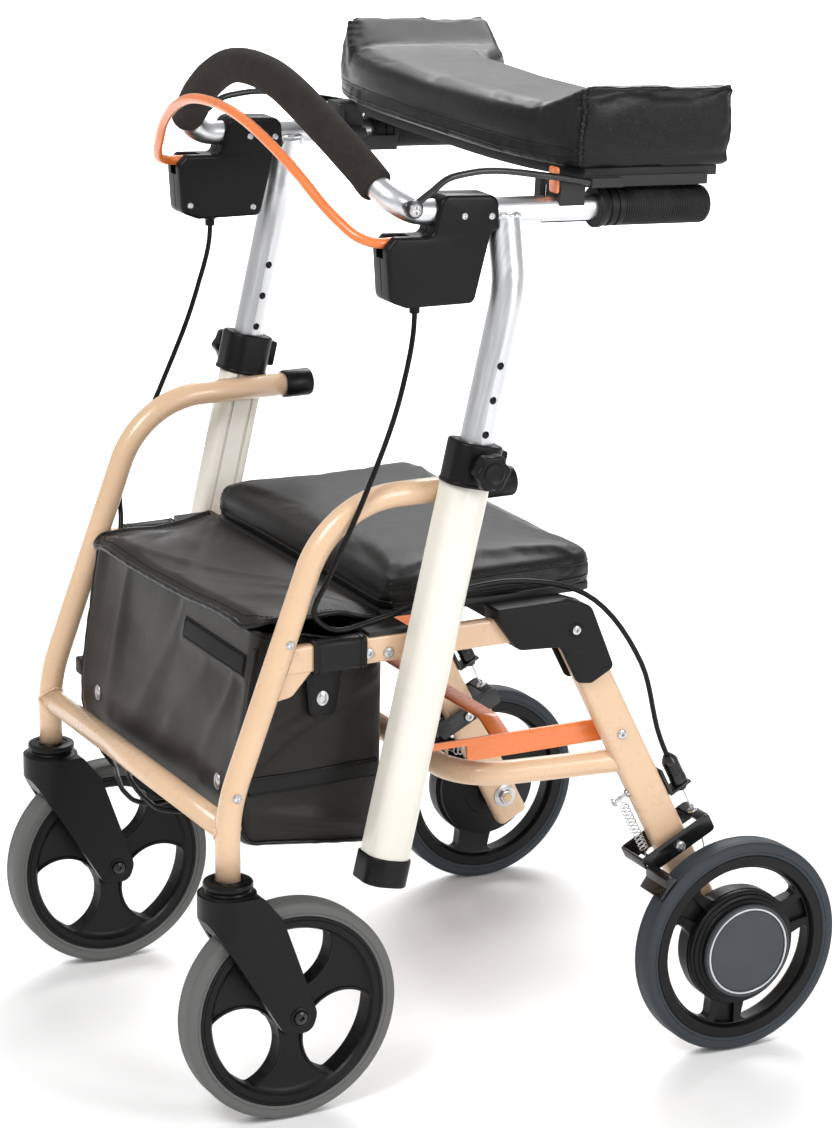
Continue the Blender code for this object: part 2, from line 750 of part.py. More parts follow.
def make_handle_frame():
    bar = tube("handle_frame", handlebar_path(), TUBE_RADIUS)
    posts, holes, bolts = [], [], []
    frame = column_frame()
    first = COLLAR_HEIGHT + 0.0085
    for side in (1, -1):
        posts.append(tube("post", post_path(side), POST_RADIUS, POST_SIDES))
        for i in range(HOLES_ABOVE):
            at = frame @ Vector((0, 0, first + i * HOLE_PITCH))
            start, end = (side * (at.x - 0.03), *at.yz), (side * (at.x + 0.03), *at.yz)
            holes.append(rod("hole", start, end, HOLE_RADIUS, 6))
        pivot = (ARM_PIVOT_Y, ARM_PIVOT_Z)
        start = HANDLE_X + TUBE_RADIUS - 0.004
        end = HANDLE_X + TUBE_RADIUS + GAP + 2 * ARM_RADIUS + GAP
        bolts.append(rod("stud", (side * start, *pivot), (side * (end + 0.001), *pivot), STUD_RADIUS, 10))
        bolts.append(rod("head", (side * end, *pivot), (side * (end + 0.0030), *pivot), 0.0062, 10))
    bar = union(bar, *posts, *bolts)
    return painted(cut(bar, *holes), SATIN, 0.3, 0.9)


def make_foam_grip():
    """Foam sleeve over the arch of the bar."""
    points = [p for p in handlebar_path() if abs(p.x) < FOAM_END_X]
    bore = tube("bore", handlebar_path(), TUBE_RADIUS + GAP)
    grip = cut(tube("foam_grip", points, FOAM_RADIUS, 12), bore)
    return painted(grip, FOAM, 0.85)


def make_rear_grip():
    """Ribbed hand grip, closed at its end."""
    start, end = 0.0680, GRIP_END_Y
    length = end - start + 0.003
    ribs = int((length - 0.018) / RIB_PITCH)
    profile = [(0.0, length), (GRIP_RADIUS - 0.004, length), (GRIP_RADIUS, length - 0.004)]
    for i in range(ribs):
        top = length - 0.008 - i * RIB_PITCH
        profile += [(GRIP_RADIUS, top), (GRIP_RADIUS - RIB_DEPTH, top - RIB_PITCH / 2)]
    collar = GRIP_RADIUS + 0.0012
    profile += [(GRIP_RADIUS, 0.0075), (collar, 0.0050), (collar, 0.0), (0.0, 0.0)]
    rear = Matrix.Rotation(-math.pi / 2, 4, "X")
    matrix = Matrix.Translation((HANDLE_X, 0, 0)) @ handle_frame_at(start) @ rear
    grip = turned("rear_grip", profile, matrix, 12)
    bore = tube("bore", handlebar_path(GAP), TUBE_RADIUS + GAP)
    return painted(cut(grip, bore), BLACK, 0.6)


# brake handle


def make_brake_box():
    """Housing clamped on the handle tube, with a slot for the squeeze bar and a gland for the cable."""
    outline = rounded(
        [
            (-0.0300, HANDLE_HEIGHT + 0.0160),
            (-0.0283, HANDLE_HEIGHT - 0.0130),
            (-0.0365, HANDLE_HEIGHT - 0.0160),
            (-0.0520, HANDLE_HEIGHT - 0.0750),
            (-0.1150, HANDLE_HEIGHT - 0.0740),
            (-0.1320, HANDLE_HEIGHT - 0.0670),
            (-0.1350, HANDLE_HEIGHT - 0.0220),
            (-0.1260, HANDLE_HEIGHT - 0.0130),
            (-0.0920, HANDLE_HEIGHT - 0.0150),
            (-0.0835, HANDLE_HEIGHT + 0.0195),
        ],
        [0.010, 0.004, 0.004, 0.007, 0.006, 0.008, 0.008, 0.004, 0.006, 0.010],
    )
    low, high = HANDLE_X - BOX_THICK / 2, HANDLE_X + BOX_THICK / 2
    box = plate("brake_box", [outline], low, high, bevel=0.0025)
    gland_at = (HANDLE_X - GLAND_INWARD, GLAND_Y)
    gland = rod("gland", (*gland_at, GLAND_Z), (*gland_at, GLAND_Z + 0.0115), 0.0046, 8)
    box = union(box, gland)
    tube_room = tube("tube_room", handlebar_path(), TUBE_RADIUS + GAP)
    post_room = tube("post_room", post_path(), POST_RADIUS + GAP, POST_SIDES)
    slot_half = BAR_RADIUS + 0.0016
    slot = block(
        "slot",
        (HANDLE_X - slot_half, -0.150, BAR_PIVOT_Z - 0.012),
        (HANDLE_X + slot_half, BAR_PIVOT_Y + 0.009, HANDLE_HEIGHT - 0.0020),
    )
    pin_room = rod(
        "pin_room",
        (HANDLE_X - 0.010, BAR_PIVOT_Y, BAR_PIVOT_Z),
        (HANDLE_X + 0.010, BAR_PIVOT_Y, BAR_PIVOT_Z),
        BAR_PIN + GAP,
        8,
    )
    below, above = (*gland_at, GLAND_Z - 0.0095), (*gland_at, GLAND_Z + 0.0075)
    cable_room = rod("cable_room", below, above, CABLE_RADIUS + GAP, 8)
    return painted(cut(box, tube_room, post_room, slot, pin_room, cable_room), BLACK, 0.45)


def make_brake_bar():
    """Squeeze bar that follows the foam arch in front of it, with a pivot pin at each end."""
    half = [
        (HANDLE_X, BAR_PIVOT_Y, BAR_PIVOT_Z),
        (HANDLE_X, -0.1400, HANDLE_HEIGHT - 0.0182),
        (0.2060, -0.1515, HANDLE_HEIGHT - 0.0135),
        (0.1910, -0.1600, HANDLE_HEIGHT - 0.0035),
        (0.1670, -0.1680, HANDLE_HEIGHT + 0.0120),
        (0.1450, -0.1742, HANDLE_HEIGHT + 0.0280),
        (0.1200, -0.1795, HANDLE_HEIGHT + 0.0420),
        (0.0900, -0.1842, HANDLE_HEIGHT + 0.0550),
        (0.0500, -0.1880, HANDLE_HEIGHT + 0.0665),
        (0.0, -0.1890, HANDLE_HEIGHT + 0.0705),
    ]
    knots = half + [(-x, y, z) for x, y, z in reversed(half[:-1])]
    bar = tube("brake_bar", knots, BAR_RADIUS, 8)
    ends = []
    for side in (1, -1):
        low, high = side * HANDLE_X - 0.0092, side * HANDLE_X + 0.0092
        ends.append(rod("pin", (low, BAR_PIVOT_Y, BAR_PIVOT_Z), (high, BAR_PIVOT_Y, BAR_PIVOT_Z), BAR_PIN, 8))
    return moved_to(painted(union(bar, *ends), ORANGE, 0.35), (0, BAR_PIVOT_Y, BAR_PIVOT_Z))


# forearm rest


def rest_frame():
    """Origin on the handle tube's line at the pad's front, Y to the rear, Z up from the tube."""
    return handle_frame_at(0.010)


def pad_edges(x):
    """Front and rear edge of the pad at this x, measured from its frame."""
    side = min(1.0, abs(x) / PAD_HALF)
    front = 0.0015 + 0.0330 * side**4
    rear = 0.1365 + 0.0490 / (1 + math.exp(-(abs(x) - 0.150) / 0.011))
    return front, rear


def pad_top(x):
    """Height of the pad's top: flat, then rising to a ridge at each side."""
    rise = max(0.0, (abs(x) - PAD_WING_FOOT) / (PAD_HALF - PAD_WING_FOOT))
    return PAD_BOTTOM + PAD_FLAT + PAD_WING * min(1.0, rise) - 0.003 * max(0.0, 1 - abs(x) / PAD_WING_FOOT)


def grid_solid(name, columns, rows, point):
    """A closed solid from a grid of columns and rows: point gives the place for (u, v, level)."""
    body = bmesh.new()
    levels = []
    for level in (0, 1, 2):
        levels.append([[body.verts.new(point(u, v, level)) for v in rows] for u in columns])
    last_u, last_v = len(columns) - 1, len(rows) - 1
    border = [(i, 0) for i in range(last_u)] + [(last_u, j) for j in range(last_v)]
    border += [(i, last_v) for i in range(last_u, 0, -1)] + [(0, j) for j in range(last_v, 0, -1)]
    for i in range(last_u):
        for j in range(last_v):
            top, bottom = levels[2], levels[0]
            body.faces.new((top[i][j], top[i + 1][j], top[i + 1][j + 1], top[i][j + 1]))
            body.faces.new((bottom[i][j + 1], bottom[i + 1][j + 1], bottom[i + 1][j], bottom[i][j]))
    for low, high in ((0, 1), (1, 2)):
        for (i, j), (k, m) in zip(border, border[1:] + border[:1]):
            corners = (levels[low][i][j], levels[low][k][m], levels[high][k][m], levels[high][i][j])
            body.faces.new(corners)
    inner = [v for i in range(1, last_u) for v in levels[1][i][1:last_v]]
    bmesh.ops.delete(body, geom=inner, context="VERTS")
    mesh = bpy.data.meshes.new(name)
    body.to_mesh(mesh)
    body.free()
    return placed(name, mesh)


def make_forearm_pad():
    """Cushion with a raised wing at each side, crowned top and drawn-in sides."""
    columns = [-1, -0.97, -0.88, -0.765, -0.70, -0.55, -0.30, 0]
    columns += [-c for c in reversed(columns[:-1])]
    rows = [0, 0.06, 0.5, 0.94, 1]

    def point(u, v, level):
        x = u * PAD_HALF
        front, rear = pad_edges(x)
        y = front + v * (rear - front)
        edge = min(v, 1 - v) * (rear - front)
        end = (1 - abs(u)) * PAD_HALF
        soft = 1 - min(1.0, edge / 0.016)
        if level == 2:
            top = pad_top(x) - 0.0035 * soft**2 - (0.0035 if end < 0.001 else 0)
            return x, y, top + 0.0030 * (1 - soft) * (1 if abs(x) < PAD_WING_FOOT else 0.3)
        if level == 0:
            return x * 0.988, front + 0.003 + v * (rear - front - 0.006), PAD_BOTTOM
        tuck = 0.0022
        shift = tuck if v == 0 else (-tuck if v == 1 else 0)
        return x * (1 - (0.006 if abs(u) == 1 else 0)), y + shift, PAD_BOTTOM + 0.014

    pad = grid_solid("forearm_pad", columns, rows, point)
    pad.data.transform(rest_frame())
    return painted(pad, VINYL, 0.42)


def make_pad_base():
    """Board under the pad, a saddle rail above each handle tube and the foot that sits on the tube."""
    steps = [i / 8 for i in range(-8, 9)]
    inset = 0.010
    front = [(u * (PAD_HALF - inset), pad_edges(u * PAD_HALF)[0] + inset) for u in steps]
    rear = [(u * (PAD_HALF - inset), pad_edges(u * PAD_HALF)[1] - inset) for u in reversed(steps)]
    frame = rest_frame()
    board_low = PAD_BOTTOM - 0.0085
    base = plate("pad_base", [front + rear], board_low, PAD_BOTTOM - GAP, frame)
    parts, saddles = [], []
    for side in (1, -1):
        x = side * HANDLE_X
        rail_low, rail_high = sorted((x - side * 0.0140, x + side * 0.0105))
        rail = block("rail", (rail_low, 0.018, GRIP_RADIUS + 0.0022), (rail_high, 0.165, board_low + 0.002))
        foot_half = side * (PAD_FOOT_HALF - TUBE_RADIUS) / 2
        foot = block(
            "foot",
            (x - foot_half - PAD_FOOT_WIDTH / 2, 0.020, 0.0035),
            (x - foot_half + PAD_FOOT_WIDTH / 2, 0.044, board_low + 0.0015),
        )
        lug_low, lug_high = sorted((x + side * 0.0100, x + side * 0.0190))
        lug = block("lug", (lug_low, LUG_Y, 0.0195), (lug_high, LUG_Y + 0.030, board_low + 0.0015))
        pivot_x = side * (HANDLE_X - PAD_LATCH_PIVOT)
        cheek_low, cheek_high = sorted((pivot_x - side * 0.0040, pivot_x + side * 0.0062))
        cheek = block("cheek", (cheek_low, 0.0140, -0.0040), (cheek_high, 0.0196, board_low + 0.0015))
        pin = rod("pin", (pivot_x, 0.0160, 0.0), (pivot_x, 0.0430, 0.0), PAD_LATCH_PIN, 10)
        for piece in (rail, foot, lug, cheek, pin):
            piece.data.transform(frame)
            parts.append(piece)
        saddle = rod("saddle", (x, -0.02, 0), (x, 0.20, 0), TUBE_RADIUS + GAP, 16)
        grip_room = rod("grip_room", (x, 0.0560, 0), (x, 0.20, 0), GRIP_RADIUS + 0.0020, 14)
        saddle.data.transform(frame)
        grip_room.data.transform(frame)
        saddles += [saddle, grip_room]
    return painted(cut(union(base, *parts), *saddles), BLACK, 0.5)


def make_pad_arm():
    """Bent rod: an eye on the stud of the handle tube, its rear end in the pad's base."""
    x = HANDLE_X + TUBE_RADIUS + GAP + ARM_RADIUS + GAP / 2
    frame = rest_frame()
    rear = frame @ Vector((x, LUG_Y - 2 * GAP, 0.0238))
    ahead = frame @ Vector((x, 0.006, 0.0300))
    knots = [
        (x, ARM_PIVOT_Y + 0.0035, ARM_PIVOT_Z + 0.0050),
        (x, -0.0930, HANDLE_HEIGHT + 0.0240),
        (x, -0.0790, HANDLE_HEIGHT + 0.0330),
        (x, -0.0600, HANDLE_HEIGHT + 0.0365),
        ahead,
        rear,
    ]
    arm = tube("pad_arm", smooth_path(knots, 2), ARM_RADIUS, 6)
    low, high = x - ARM_RADIUS, x + ARM_RADIUS
    eye = rod("eye", (low, ARM_PIVOT_Y, ARM_PIVOT_Z), (high, ARM_PIVOT_Y, ARM_PIVOT_Z), 0.0078, 10)
    start, end = (low - 0.01, ARM_PIVOT_Y, ARM_PIVOT_Z), (high + 0.01, ARM_PIVOT_Y, ARM_PIVOT_Z)
    hole = rod("hole", start, end, STUD_RADIUS + GAP, 10)
    return painted(cut(union(arm, eye), hole), BLACK, 0.35)


def latch_pivot():
    return rest_frame() @ Vector((HANDLE_X - PAD_LATCH_PIVOT, 0.032, 0.0))


def make_pad_latch():
    """Hook at the inner side of the handle tube with its release lever, turning on the base's pin."""
    frame = rest_frame()
    pivot_x = HANDLE_X - PAD_LATCH_PIVOT
    outer = TUBE_RADIUS + 0.0048
    inner = TUBE_RADIUS + 0.0014
    hook = [(HANDLE_X + outer * math.cos(a), outer * math.sin(a)) for a in arc(168, 204, 4)]
    hook += [(HANDLE_X + inner * math.cos(a), inner * math.sin(a)) for a in arc(204, 168, 4)]
    latch = plate("pad_latch", [hook], -0.043, -0.021, frame @ CROSSWISE)
    ear = rod("ear", (pivot_x, 0.0205, 0.0), (pivot_x, 0.0435, 0.0), 0.0055, 10)
    lever = block("lever", (pivot_x - 0.0020, 0.0200, -0.0160), (pivot_x + 0.0022, 0.0780, -0.0025))
    bore = rod("bore", (pivot_x, 0.0, 0.0), (pivot_x, 0.06, 0.0), PAD_LATCH_PIN + GAP, 10)
    for piece in (ear, lever, bore):
        piece.data.transform(frame)
    latch = cut(union(latch, ear, lever), bore)
    return moved_to(painted(latch, BLACK, 0.45), latch_pivot())


def arc(start, end, count):
    return [math.radians(start + (end - start) * i / (count - 1)) for i in range(count)]


# seat and bag


def round_corner(x, y, half_x, half_y, radius):
    """Moves a point of a rectangle so that the rectangle's corners become arcs."""
    past_x = (abs(x) - half_x + radius) / radius
    past_y = (abs(y) - half_y + radius) / radius
    if past_x <= 0 or past_y <= 0:
        return x, y
    in_x = half_x - radius + radius * past_x * math.sqrt(1 - past_y**2 / 2)
    in_y = half_y - radius + radius * past_y * math.sqrt(1 - past_x**2 / 2)
    return math.copysign(in_x, x), math.copysign(in_y, y)


def make_seat_cushion():
    """Padded seat with a crown, a seam and drawn-in sides."""
    bottom = SEAT_HEIGHT - SEAT_THICK
    columns = [-1, -0.93, -0.85, -0.5, 0, 0.5, 0.85, 0.93, 1]
    half_depth = (SEAT_REAR_Y - SEAT_FRONT_Y) / 2
    middle = (SEAT_REAR_Y + SEAT_FRONT_Y) / 2

    def point(u, v, level):
        x, y = round_corner(u * SEAT_HALF, v * half_depth, SEAT_HALF, half_depth, SEAT_CORNER)
        y += middle
        soft = max(abs(u), abs(v)) ** 8
        if level == 2:
            crown = 0.0060 * (1 - u**2) * (1 - v**2)
            return x * 0.993, middle + (y - middle) * 0.993, SEAT_HEIGHT - 0.0065 * soft + crown - 0.002
        if level == 0:
            return x * 0.975, middle + (y - middle) * 0.968, bottom
        return x, y, bottom + 0.0150

    cushion = grid_solid("seat_cushion", columns, columns, point)
    cushion = bevelled(cushion, 0.0020, 1, 35)
    return painted(cushion, VINYL, 0.38)


def make_seat_frame():
    """Board under the cushion on two cross strips: one across the rails, one between the brackets."""
    rail_top = RAIL_Z + RAIL_HEIGHT / 2 + GAP
    board_low = rail_top + SEAT_STRIP - 0.0005
    board_high = SEAT_HEIGHT - SEAT_THICK - GAP
    board_front, board_rear = FLAP_HINGE_Y + GAP, SEAT_REAR_Y - 0.008
    middle = (board_front + board_rear) / 2
    outline = rectangle(SEAT_HALF - 0.008, (board_rear - board_front) / 2, 0.010, (0, middle))
    board = plate("seat_frame", [outline], board_low, board_high, Matrix.Identity(4))
    edge = FRAME_X + RAIL_THICK / 2
    strip_rear = STRIP_FRONT_Y + STRIP_WIDTH
    front = block("front", (-edge, STRIP_FRONT_Y, rail_top), (edge, strip_rear, rail_top + SEAT_STRIP))
    bracket_face = LEG_X - LEG_THICK / 2 - GAP - BRACKET_WALL - GAP
    rear = block("rear", (-bracket_face, -0.004, rail_top - 0.012), (bracket_face, 0.026, board_low + 0.001))
    return painted(union(board, front, rear), BLACK, 0.5)


def bag_outline(inset=0.0, top=0.45):
    """Side profile of the bag, drawn in by the inset."""
    return rounded(
        [
            (-0.2300 + inset, top),
            (-0.2560 + inset, 0.2900),
            (-0.2480 + inset, 0.2420 + inset),
            (-0.2240 + inset, 0.2260 + inset),
            (-0.1120 - inset, 0.2210 + inset),
            (-0.1080 - inset, top),
        ],
        [0, 0.030, 0.015, 0.012, 0.012, 0],
    )


def make_bag():
    """Open bag between the front tubes, hung by a strap over each side rail."""
    bag = plate("bag", [bag_outline()], -BAG_HALF, BAG_HALF)
    inner_half = BAG_HALF - BAG_WALL
    room = bag_outline(BAG_WALL, 0.47)
    bag = cut(bag, plate("room", [room], -inner_half, inner_half))
    low_rim = RAIL_Z + RAIL_HEIGHT / 2 - GAP
    high_rim = FLAP_Z - GAP
    step = STRIP_FRONT_Y - 0.003
    front, rear = -0.30, -0.05
    above = [(front, high_rim), (step, high_rim), (step, low_rim), (rear, low_rim)]
    above += [(rear, 0.50), (front, 0.50)]
    bag = cut(bag, plate("above", [above], -0.2, 0.2))
    return painted(union(bag, tab(1), tab(-1)), CLOTH, 0.6)


def make_bag_strap():
    """Loop over the side rail with its tail down the bag's side."""
    inner, outer = FRAME_X - RAIL_THICK / 2 - GAP, FRAME_X + RAIL_THICK / 2 + GAP
    low, high = RAIL_Z - RAIL_HEIGHT / 2 - GAP, RAIL_Z + RAIL_HEIGHT / 2 + GAP
    loop = rounded(
        [
            (inner - STRAP_THICK, low - STRAP_THICK),
            (outer + STRAP_THICK, low - STRAP_THICK),
            (outer + STRAP_THICK, high + STRAP_THICK),
            (inner - STRAP_THICK, high + STRAP_THICK),
        ],
        0.004,
    )
    hole = rounded([(inner, low), (outer, low), (outer, high), (inner, high)], 0.0028)
    rear, front = STRAP_Y + STRAP_WIDTH / 2, STRAP_Y - STRAP_WIDTH / 2
    band = plate("bag_strap", [loop, hole], -rear, -front, CROSSWISE)
    side = BAG_HALF + GAP
    tail_outline = rounded(
        [
            (front + 0.006, low),
            (front + 0.010, low - 0.052),
            (rear - 0.012, low - 0.052),
            (rear - 0.006, low),
        ],
        [0, 0.009, 0.009, 0],
    )
    tail = plate("tail", [tail_outline], side, side + STRAP_THICK)
    bridge_top = (inner + 0.002, rear - 0.006, low - GAP)
    bridge = block("bridge", (side, front + 0.006, low - STRAP_THICK), bridge_top)
    return painted(union(band, bridge, tail), CLOTH, 0.6)


def tab(side):
    """Tongue at the bag's front corner that reaches the front tube."""
    inner = FRAME_X - TUBE_RADIUS - GAP
    low, high = sorted((side * (BAG_HALF - 0.004), side * (inner - 0.0002)))
    return block("tab", (low, -0.2500, 0.2965), (high, -0.2420, 0.3145))


def make_bag_flap():
    """Lid of the bag, hinged just ahead of the seat, with a lip over the bag's front."""
    z = FLAP_Z
    front = FLAP_FRONT_Y
    outline = [
        (FLAP_HINGE_Y, z),
        (front + 0.002, z),
        (front + 0.0005, z - 0.018),
        (front - 0.0020, z - 0.018),
        (front - 0.0010, z + FLAP_THICK - 0.001),
        (front + 0.002, z + FLAP_THICK),
        (-0.200, z + FLAP_THICK + 0.003),
        (FLAP_HINGE_Y, z + FLAP_THICK),
    ]
    flap = plate("bag_flap", [outline], -BAG_HALF - 0.003, BAG_HALF + 0.003)
    return moved_to(painted(flap, CLOTH, 0.6), (0, FLAP_HINGE_Y, FLAP_Z + FLAP_THICK))


# rear frame


def leg_tool(name, grow=0.0):
    """The leg's outer shape: a flat oval tube, round about the fold pin at its top."""
    half, end = LEG_WIDTH / 2 + grow, axle_along() + LEG_PAST_AXLE + grow
    outline = [(half * math.cos(a), half * math.sin(a)) for a in arc(90, 270, 9)]
    outline += [(end, -half), (end, half)]
    bevel = min(0.006, LEG_THICK / 3)
    low, high = LEG_X - LEG_THICK / 2 - grow, LEG_X + LEG_THICK / 2 + grow
    return plate(name, [outline], low, high, leg_frame(), bevel, 1)


def axle_along():
    return math.hypot(REAR_AXLE_Y - FOLD_Y, FOLD_Z - WHEEL_RADIUS)


def make_rear_leg():
    """Flat oval leg with the wheel's axle, the latch's screw, the lever's pin and the spring's post."""
    leg = leg_tool("rear_leg")
    inner, outer = LEG_X - LEG_THICK / 2, LEG_X + LEG_THICK / 2
    hole = rod("hole", (inner - 0.01, FOLD_Y, FOLD_Z), (outer + 0.01, FOLD_Y, FOLD_Z), FOLD_PIN + GAP)
    parts = []
    axle = (REAR_AXLE_Y, WHEEL_RADIUS)
    parts.append(rod("axle", (inner - 0.0085, *axle), (AXLE_END_X, *axle), AXLE_RADIUS, 10))
    parts.append(rod("nut", (inner - 0.0065, *axle), (inner - 0.001, *axle), 0.0075, 6))
    parts.append(rod("spacer", (outer - 0.001, *axle), (outer + 0.0030, *axle), 0.0100, 10))
    screw = (LATCH_PIVOT_Y, LATCH_Z)
    latch_face = LATCH_X - LATCH_THICK / 2
    parts.append(rod("latch_screw", (latch_face - 0.0020, *screw), (inner + 0.002, *screw), LATCH_SCREW, 8))
    parts.append(rod("latch_head", (latch_face - 0.0035, *screw), (latch_face - GAP, *screw), 0.0065, 8))
    pivot = leg_point(LEVER_PIVOT_ALONG).yz
    reach = LEVER_HALF_WIDTH + 0.0015
    parts.append(rod("lever_pin", (LEG_X - reach, *pivot), (LEG_X + reach, *pivot), LEVER_PIN, 8))
    for side in (1, -1):
        start = LEG_X + side * (LEVER_HALF_WIDTH + GAP)
        end = LEG_X + side * (LEVER_HALF_WIDTH + 0.0022)
        parts.append(rod("lever_head", (start, *pivot), (end, *pivot), 0.0052, 8))
    post_start = leg_point(SPRING_TOP_ALONG, -LEG_WIDTH / 2 + 0.002)
    post_end = leg_point(SPRING_TOP_ALONG, SPRING_ACROSS - 0.0055)
    neck_end = leg_point(SPRING_TOP_ALONG, SPRING_ACROSS - 0.0035)
    parts.append(rod("spring_post", post_start, post_end, SPRING_POST, 8))
    parts.append(rod("post_head", neck_end, post_end, SPRING_POST + 0.0014, 8))
    return painted(union(cut(leg, hole), *parts), TAN, 0.28)


def make_rear_cross_tube():
    """U-shaped tube between the legs, bowed forward to leave room for the feet."""
    z = CROSS_TUBE_Z
    down_leg = (FOLD_Z - z) / math.cos(LEG_LEAN)
    leg_y = leg_point(down_leg).y
    corners = [
        (CROSS_TUBE_ROOT_X, leg_y, z),
        (CROSS_TUBE_X, CROSS_TUBE_Y, z),
        (-CROSS_TUBE_X, CROSS_TUBE_Y, z),
        (-CROSS_TUBE_ROOT_X, leg_y, z),
    ]
    cross = tube("rear_cross_tube", filleted(corners, [CROSS_TUBE_BEND, CROSS_TUBE_BEND]), CROSS_TUBE_RADIUS)
    posts = []
    for side in (1, -1):
        at = (side * TUBE_POST_X, CROSS_TUBE_Y + TUBE_POST_BACK)
        top = z + CROSS_TUBE_RADIUS + 0.0060
        posts.append(rod("post", (*at, z + CROSS_TUBE_RADIUS - 0.003), (*at, top), SPRING_POST, 8))
    cross = union(cross, *posts)
    tools = []
    for side in (1, -1):
        leg = leg_tool("clear", GAP)
        behind = leg_block(down_leg - 0.05, down_leg + 0.05, -LEG_WIDTH / 2 + 0.006, 0.06, 0.15, 0.25)
        for tool in (leg, behind):
            if side < 0:
                tool.data.transform(Matrix.Diagonal((-1, 1, 1, 1)))
                tool.data.flip_normals()
            tools.append(tool)
    return painted(cut(cross, *tools), TAN, 0.28)


def make_fold_latch():
    """Flat bars pinned to both legs, hooked over the columns' pins, and the strip that lifts them."""
    low, high = LATCH_X - LATCH_THICK / 2, LATCH_X + LATCH_THICK / 2
    half = LATCH_HEIGHT / 2
    top, bottom = LATCH_Z + half, LATCH_Z - half
    tongue_low = LATCH_PIN_Z + LATCH_PIN + GAP
    lip_rear = LATCH_PIN_Y - LATCH_PIN - LATCH_PLAY
    lip_front = lip_rear - LATCH_LIP
    lip_low = LATCH_PIN_Z - LATCH_PIN
    outline = rounded(
        [
            (LATCH_PIVOT_Y + half, bottom),
            (LATCH_PIVOT_Y + half, top),
            (lip_front, top),
            (lip_front, lip_low),
            (lip_rear, lip_low),
            (lip_rear, tongue_low),
            (LATCH_FRONT_Y, tongue_low),
            (LATCH_FRONT_Y, bottom),
        ],
        [half * 0.9, half * 0.9, 0.004, 0.003, 0, 0, 0, 0.006],
    )
    pin_room = ring_points(LATCH_SCREW + GAP, 8, (LATCH_PIVOT_Y, LATCH_Z))
    left = plate("fold_latch", [outline, pin_room], low, high)
    right = plate("right", [outline, pin_room], -high, -low)
    strip_half = LATCH_THICK / 2
    lower = HANDLE_STRIP_Z - LATCH_THICK
    foot = LATCH_Z
    strip = [
        (-LATCH_X - strip_half, foot),
        (-LATCH_X + strip_half, foot),
        (-HANDLE_STRIP_FLAT, lower),
        (HANDLE_STRIP_FLAT, lower),
        (LATCH_X - strip_half, foot),
        (LATCH_X + strip_half, foot),
        (LATCH_X + strip_half, foot + 0.004),
        (HANDLE_STRIP_FLAT, HANDLE_STRIP_Z),
        (-HANDLE_STRIP_FLAT, HANDLE_STRIP_Z),
        (-LATCH_X - strip_half, foot + 0.004),
    ]
    strip_y = HANDLE_STRIP_Y
    reach = HANDLE_STRIP_WIDTH / 2
    bar = plate("strip", [strip], -strip_y - reach, -strip_y + reach, CROSSWISE)
    posts = []
    for side in (1, -1):
        start = (side * (low + 0.001), LATCH_SPRING_Y, LATCH_SPRING_Z)
        end = (side * (low - LATCH_POST), LATCH_SPRING_Y, LATCH_SPRING_Z)
        posts.append(rod("post", start, end, SPRING_POST, 8))
    latch = union(left, bar, right, *posts)
    return moved_to(painted(latch, ORANGE, 0.35), (0, LATCH_PIVOT_Y, LATCH_Z))


# springs


def coil(name, start, start_post, end, end_post, radius, wire, turns, per_turn=8):
    """Tension spring of one unbroken wire: a hook round each post, the curls between them."""
    start, end = Vector(start), Vector(end)
    axis = (end - start).normalized()
    side = axis.orthogonal().normalized()
    other = axis.cross(side)
    lead = 2.0 * (SPRING_POST + wire + GAP)
    length = (end - start).length - 2 * lead - 2 * wire
    points = hook(start, start_post, axis, wire) + [start + axis * lead]
    count = turns * per_turn
    for i in range(1, count):
        angle = 2 * math.pi * i / per_turn
        swell = min(1.0, i / 4, (count - i) / 4)
        arm = (side * math.cos(angle) + other * math.sin(angle)) * radius * swell
        points.append(start + axis * (lead + wire + length * i / count) + arm)
    points += [end - axis * lead] + hook(end, end_post, -axis, wire)[::-1]
    print(f"{name}: least gap to itself {self_gap(points, wire) * 1000:.2f} mm")
    return painted(tube(name, points, wire, 6), ZINC, 0.3, 1.0)


def hook(centre, post, towards, wire):
    """The wire's turn round a post, square to it, open on the side that it comes from."""
    post = Vector(post).normalized()
    ahead = (towards - post * towards.dot(post)).normalized()
    aside = post.cross(ahead)
    reach = SPRING_POST + wire + GAP
    return [centre + (ahead * math.cos(a) + aside * math.sin(a)) * reach for a in arc(-80, -270, 5)]


def self_gap(points, wire):
    """The least distance between stretches of the wire that lie half a curl or more apart along it."""
    least = math.inf
    for i, point in enumerate(points):
        for far in points[i + 5 :]:
            least = min(least, (far - point).length - 2 * wire)
    return least


def make_return_spring():
    """Pulls the lever's front up from the post on the leg."""
    across = leg_point(0, 1) - leg_point(0)
    start = leg_point(SPRING_TOP_ALONG, SPRING_ACROSS)
    end = leg_point(LEVER_PIVOT_ALONG + SPRING_PIN_DOWN, SPRING_ACROSS)
    return coil("return_spring", start, across, end, (1, 0, 0), 0.0042, 0.0007, 5)


def make_latch_spring():
    """Pulls the latch bar down towards the cross tube."""
    start = (LATCH_X - LATCH_THICK / 2 - LATCH_POST + 0.0012, LATCH_SPRING_Y, LATCH_SPRING_Z)
    end = (TUBE_POST_X, CROSS_TUBE_Y + TUBE_POST_BACK, CROSS_TUBE_Z + CROSS_TUBE_RADIUS + 0.0038)
    return coil("latch_spring", start, (1, 0, 0), end, (0, 0, 1), 0.0038, 0.0007, 4)


# brakes on the rear wheels


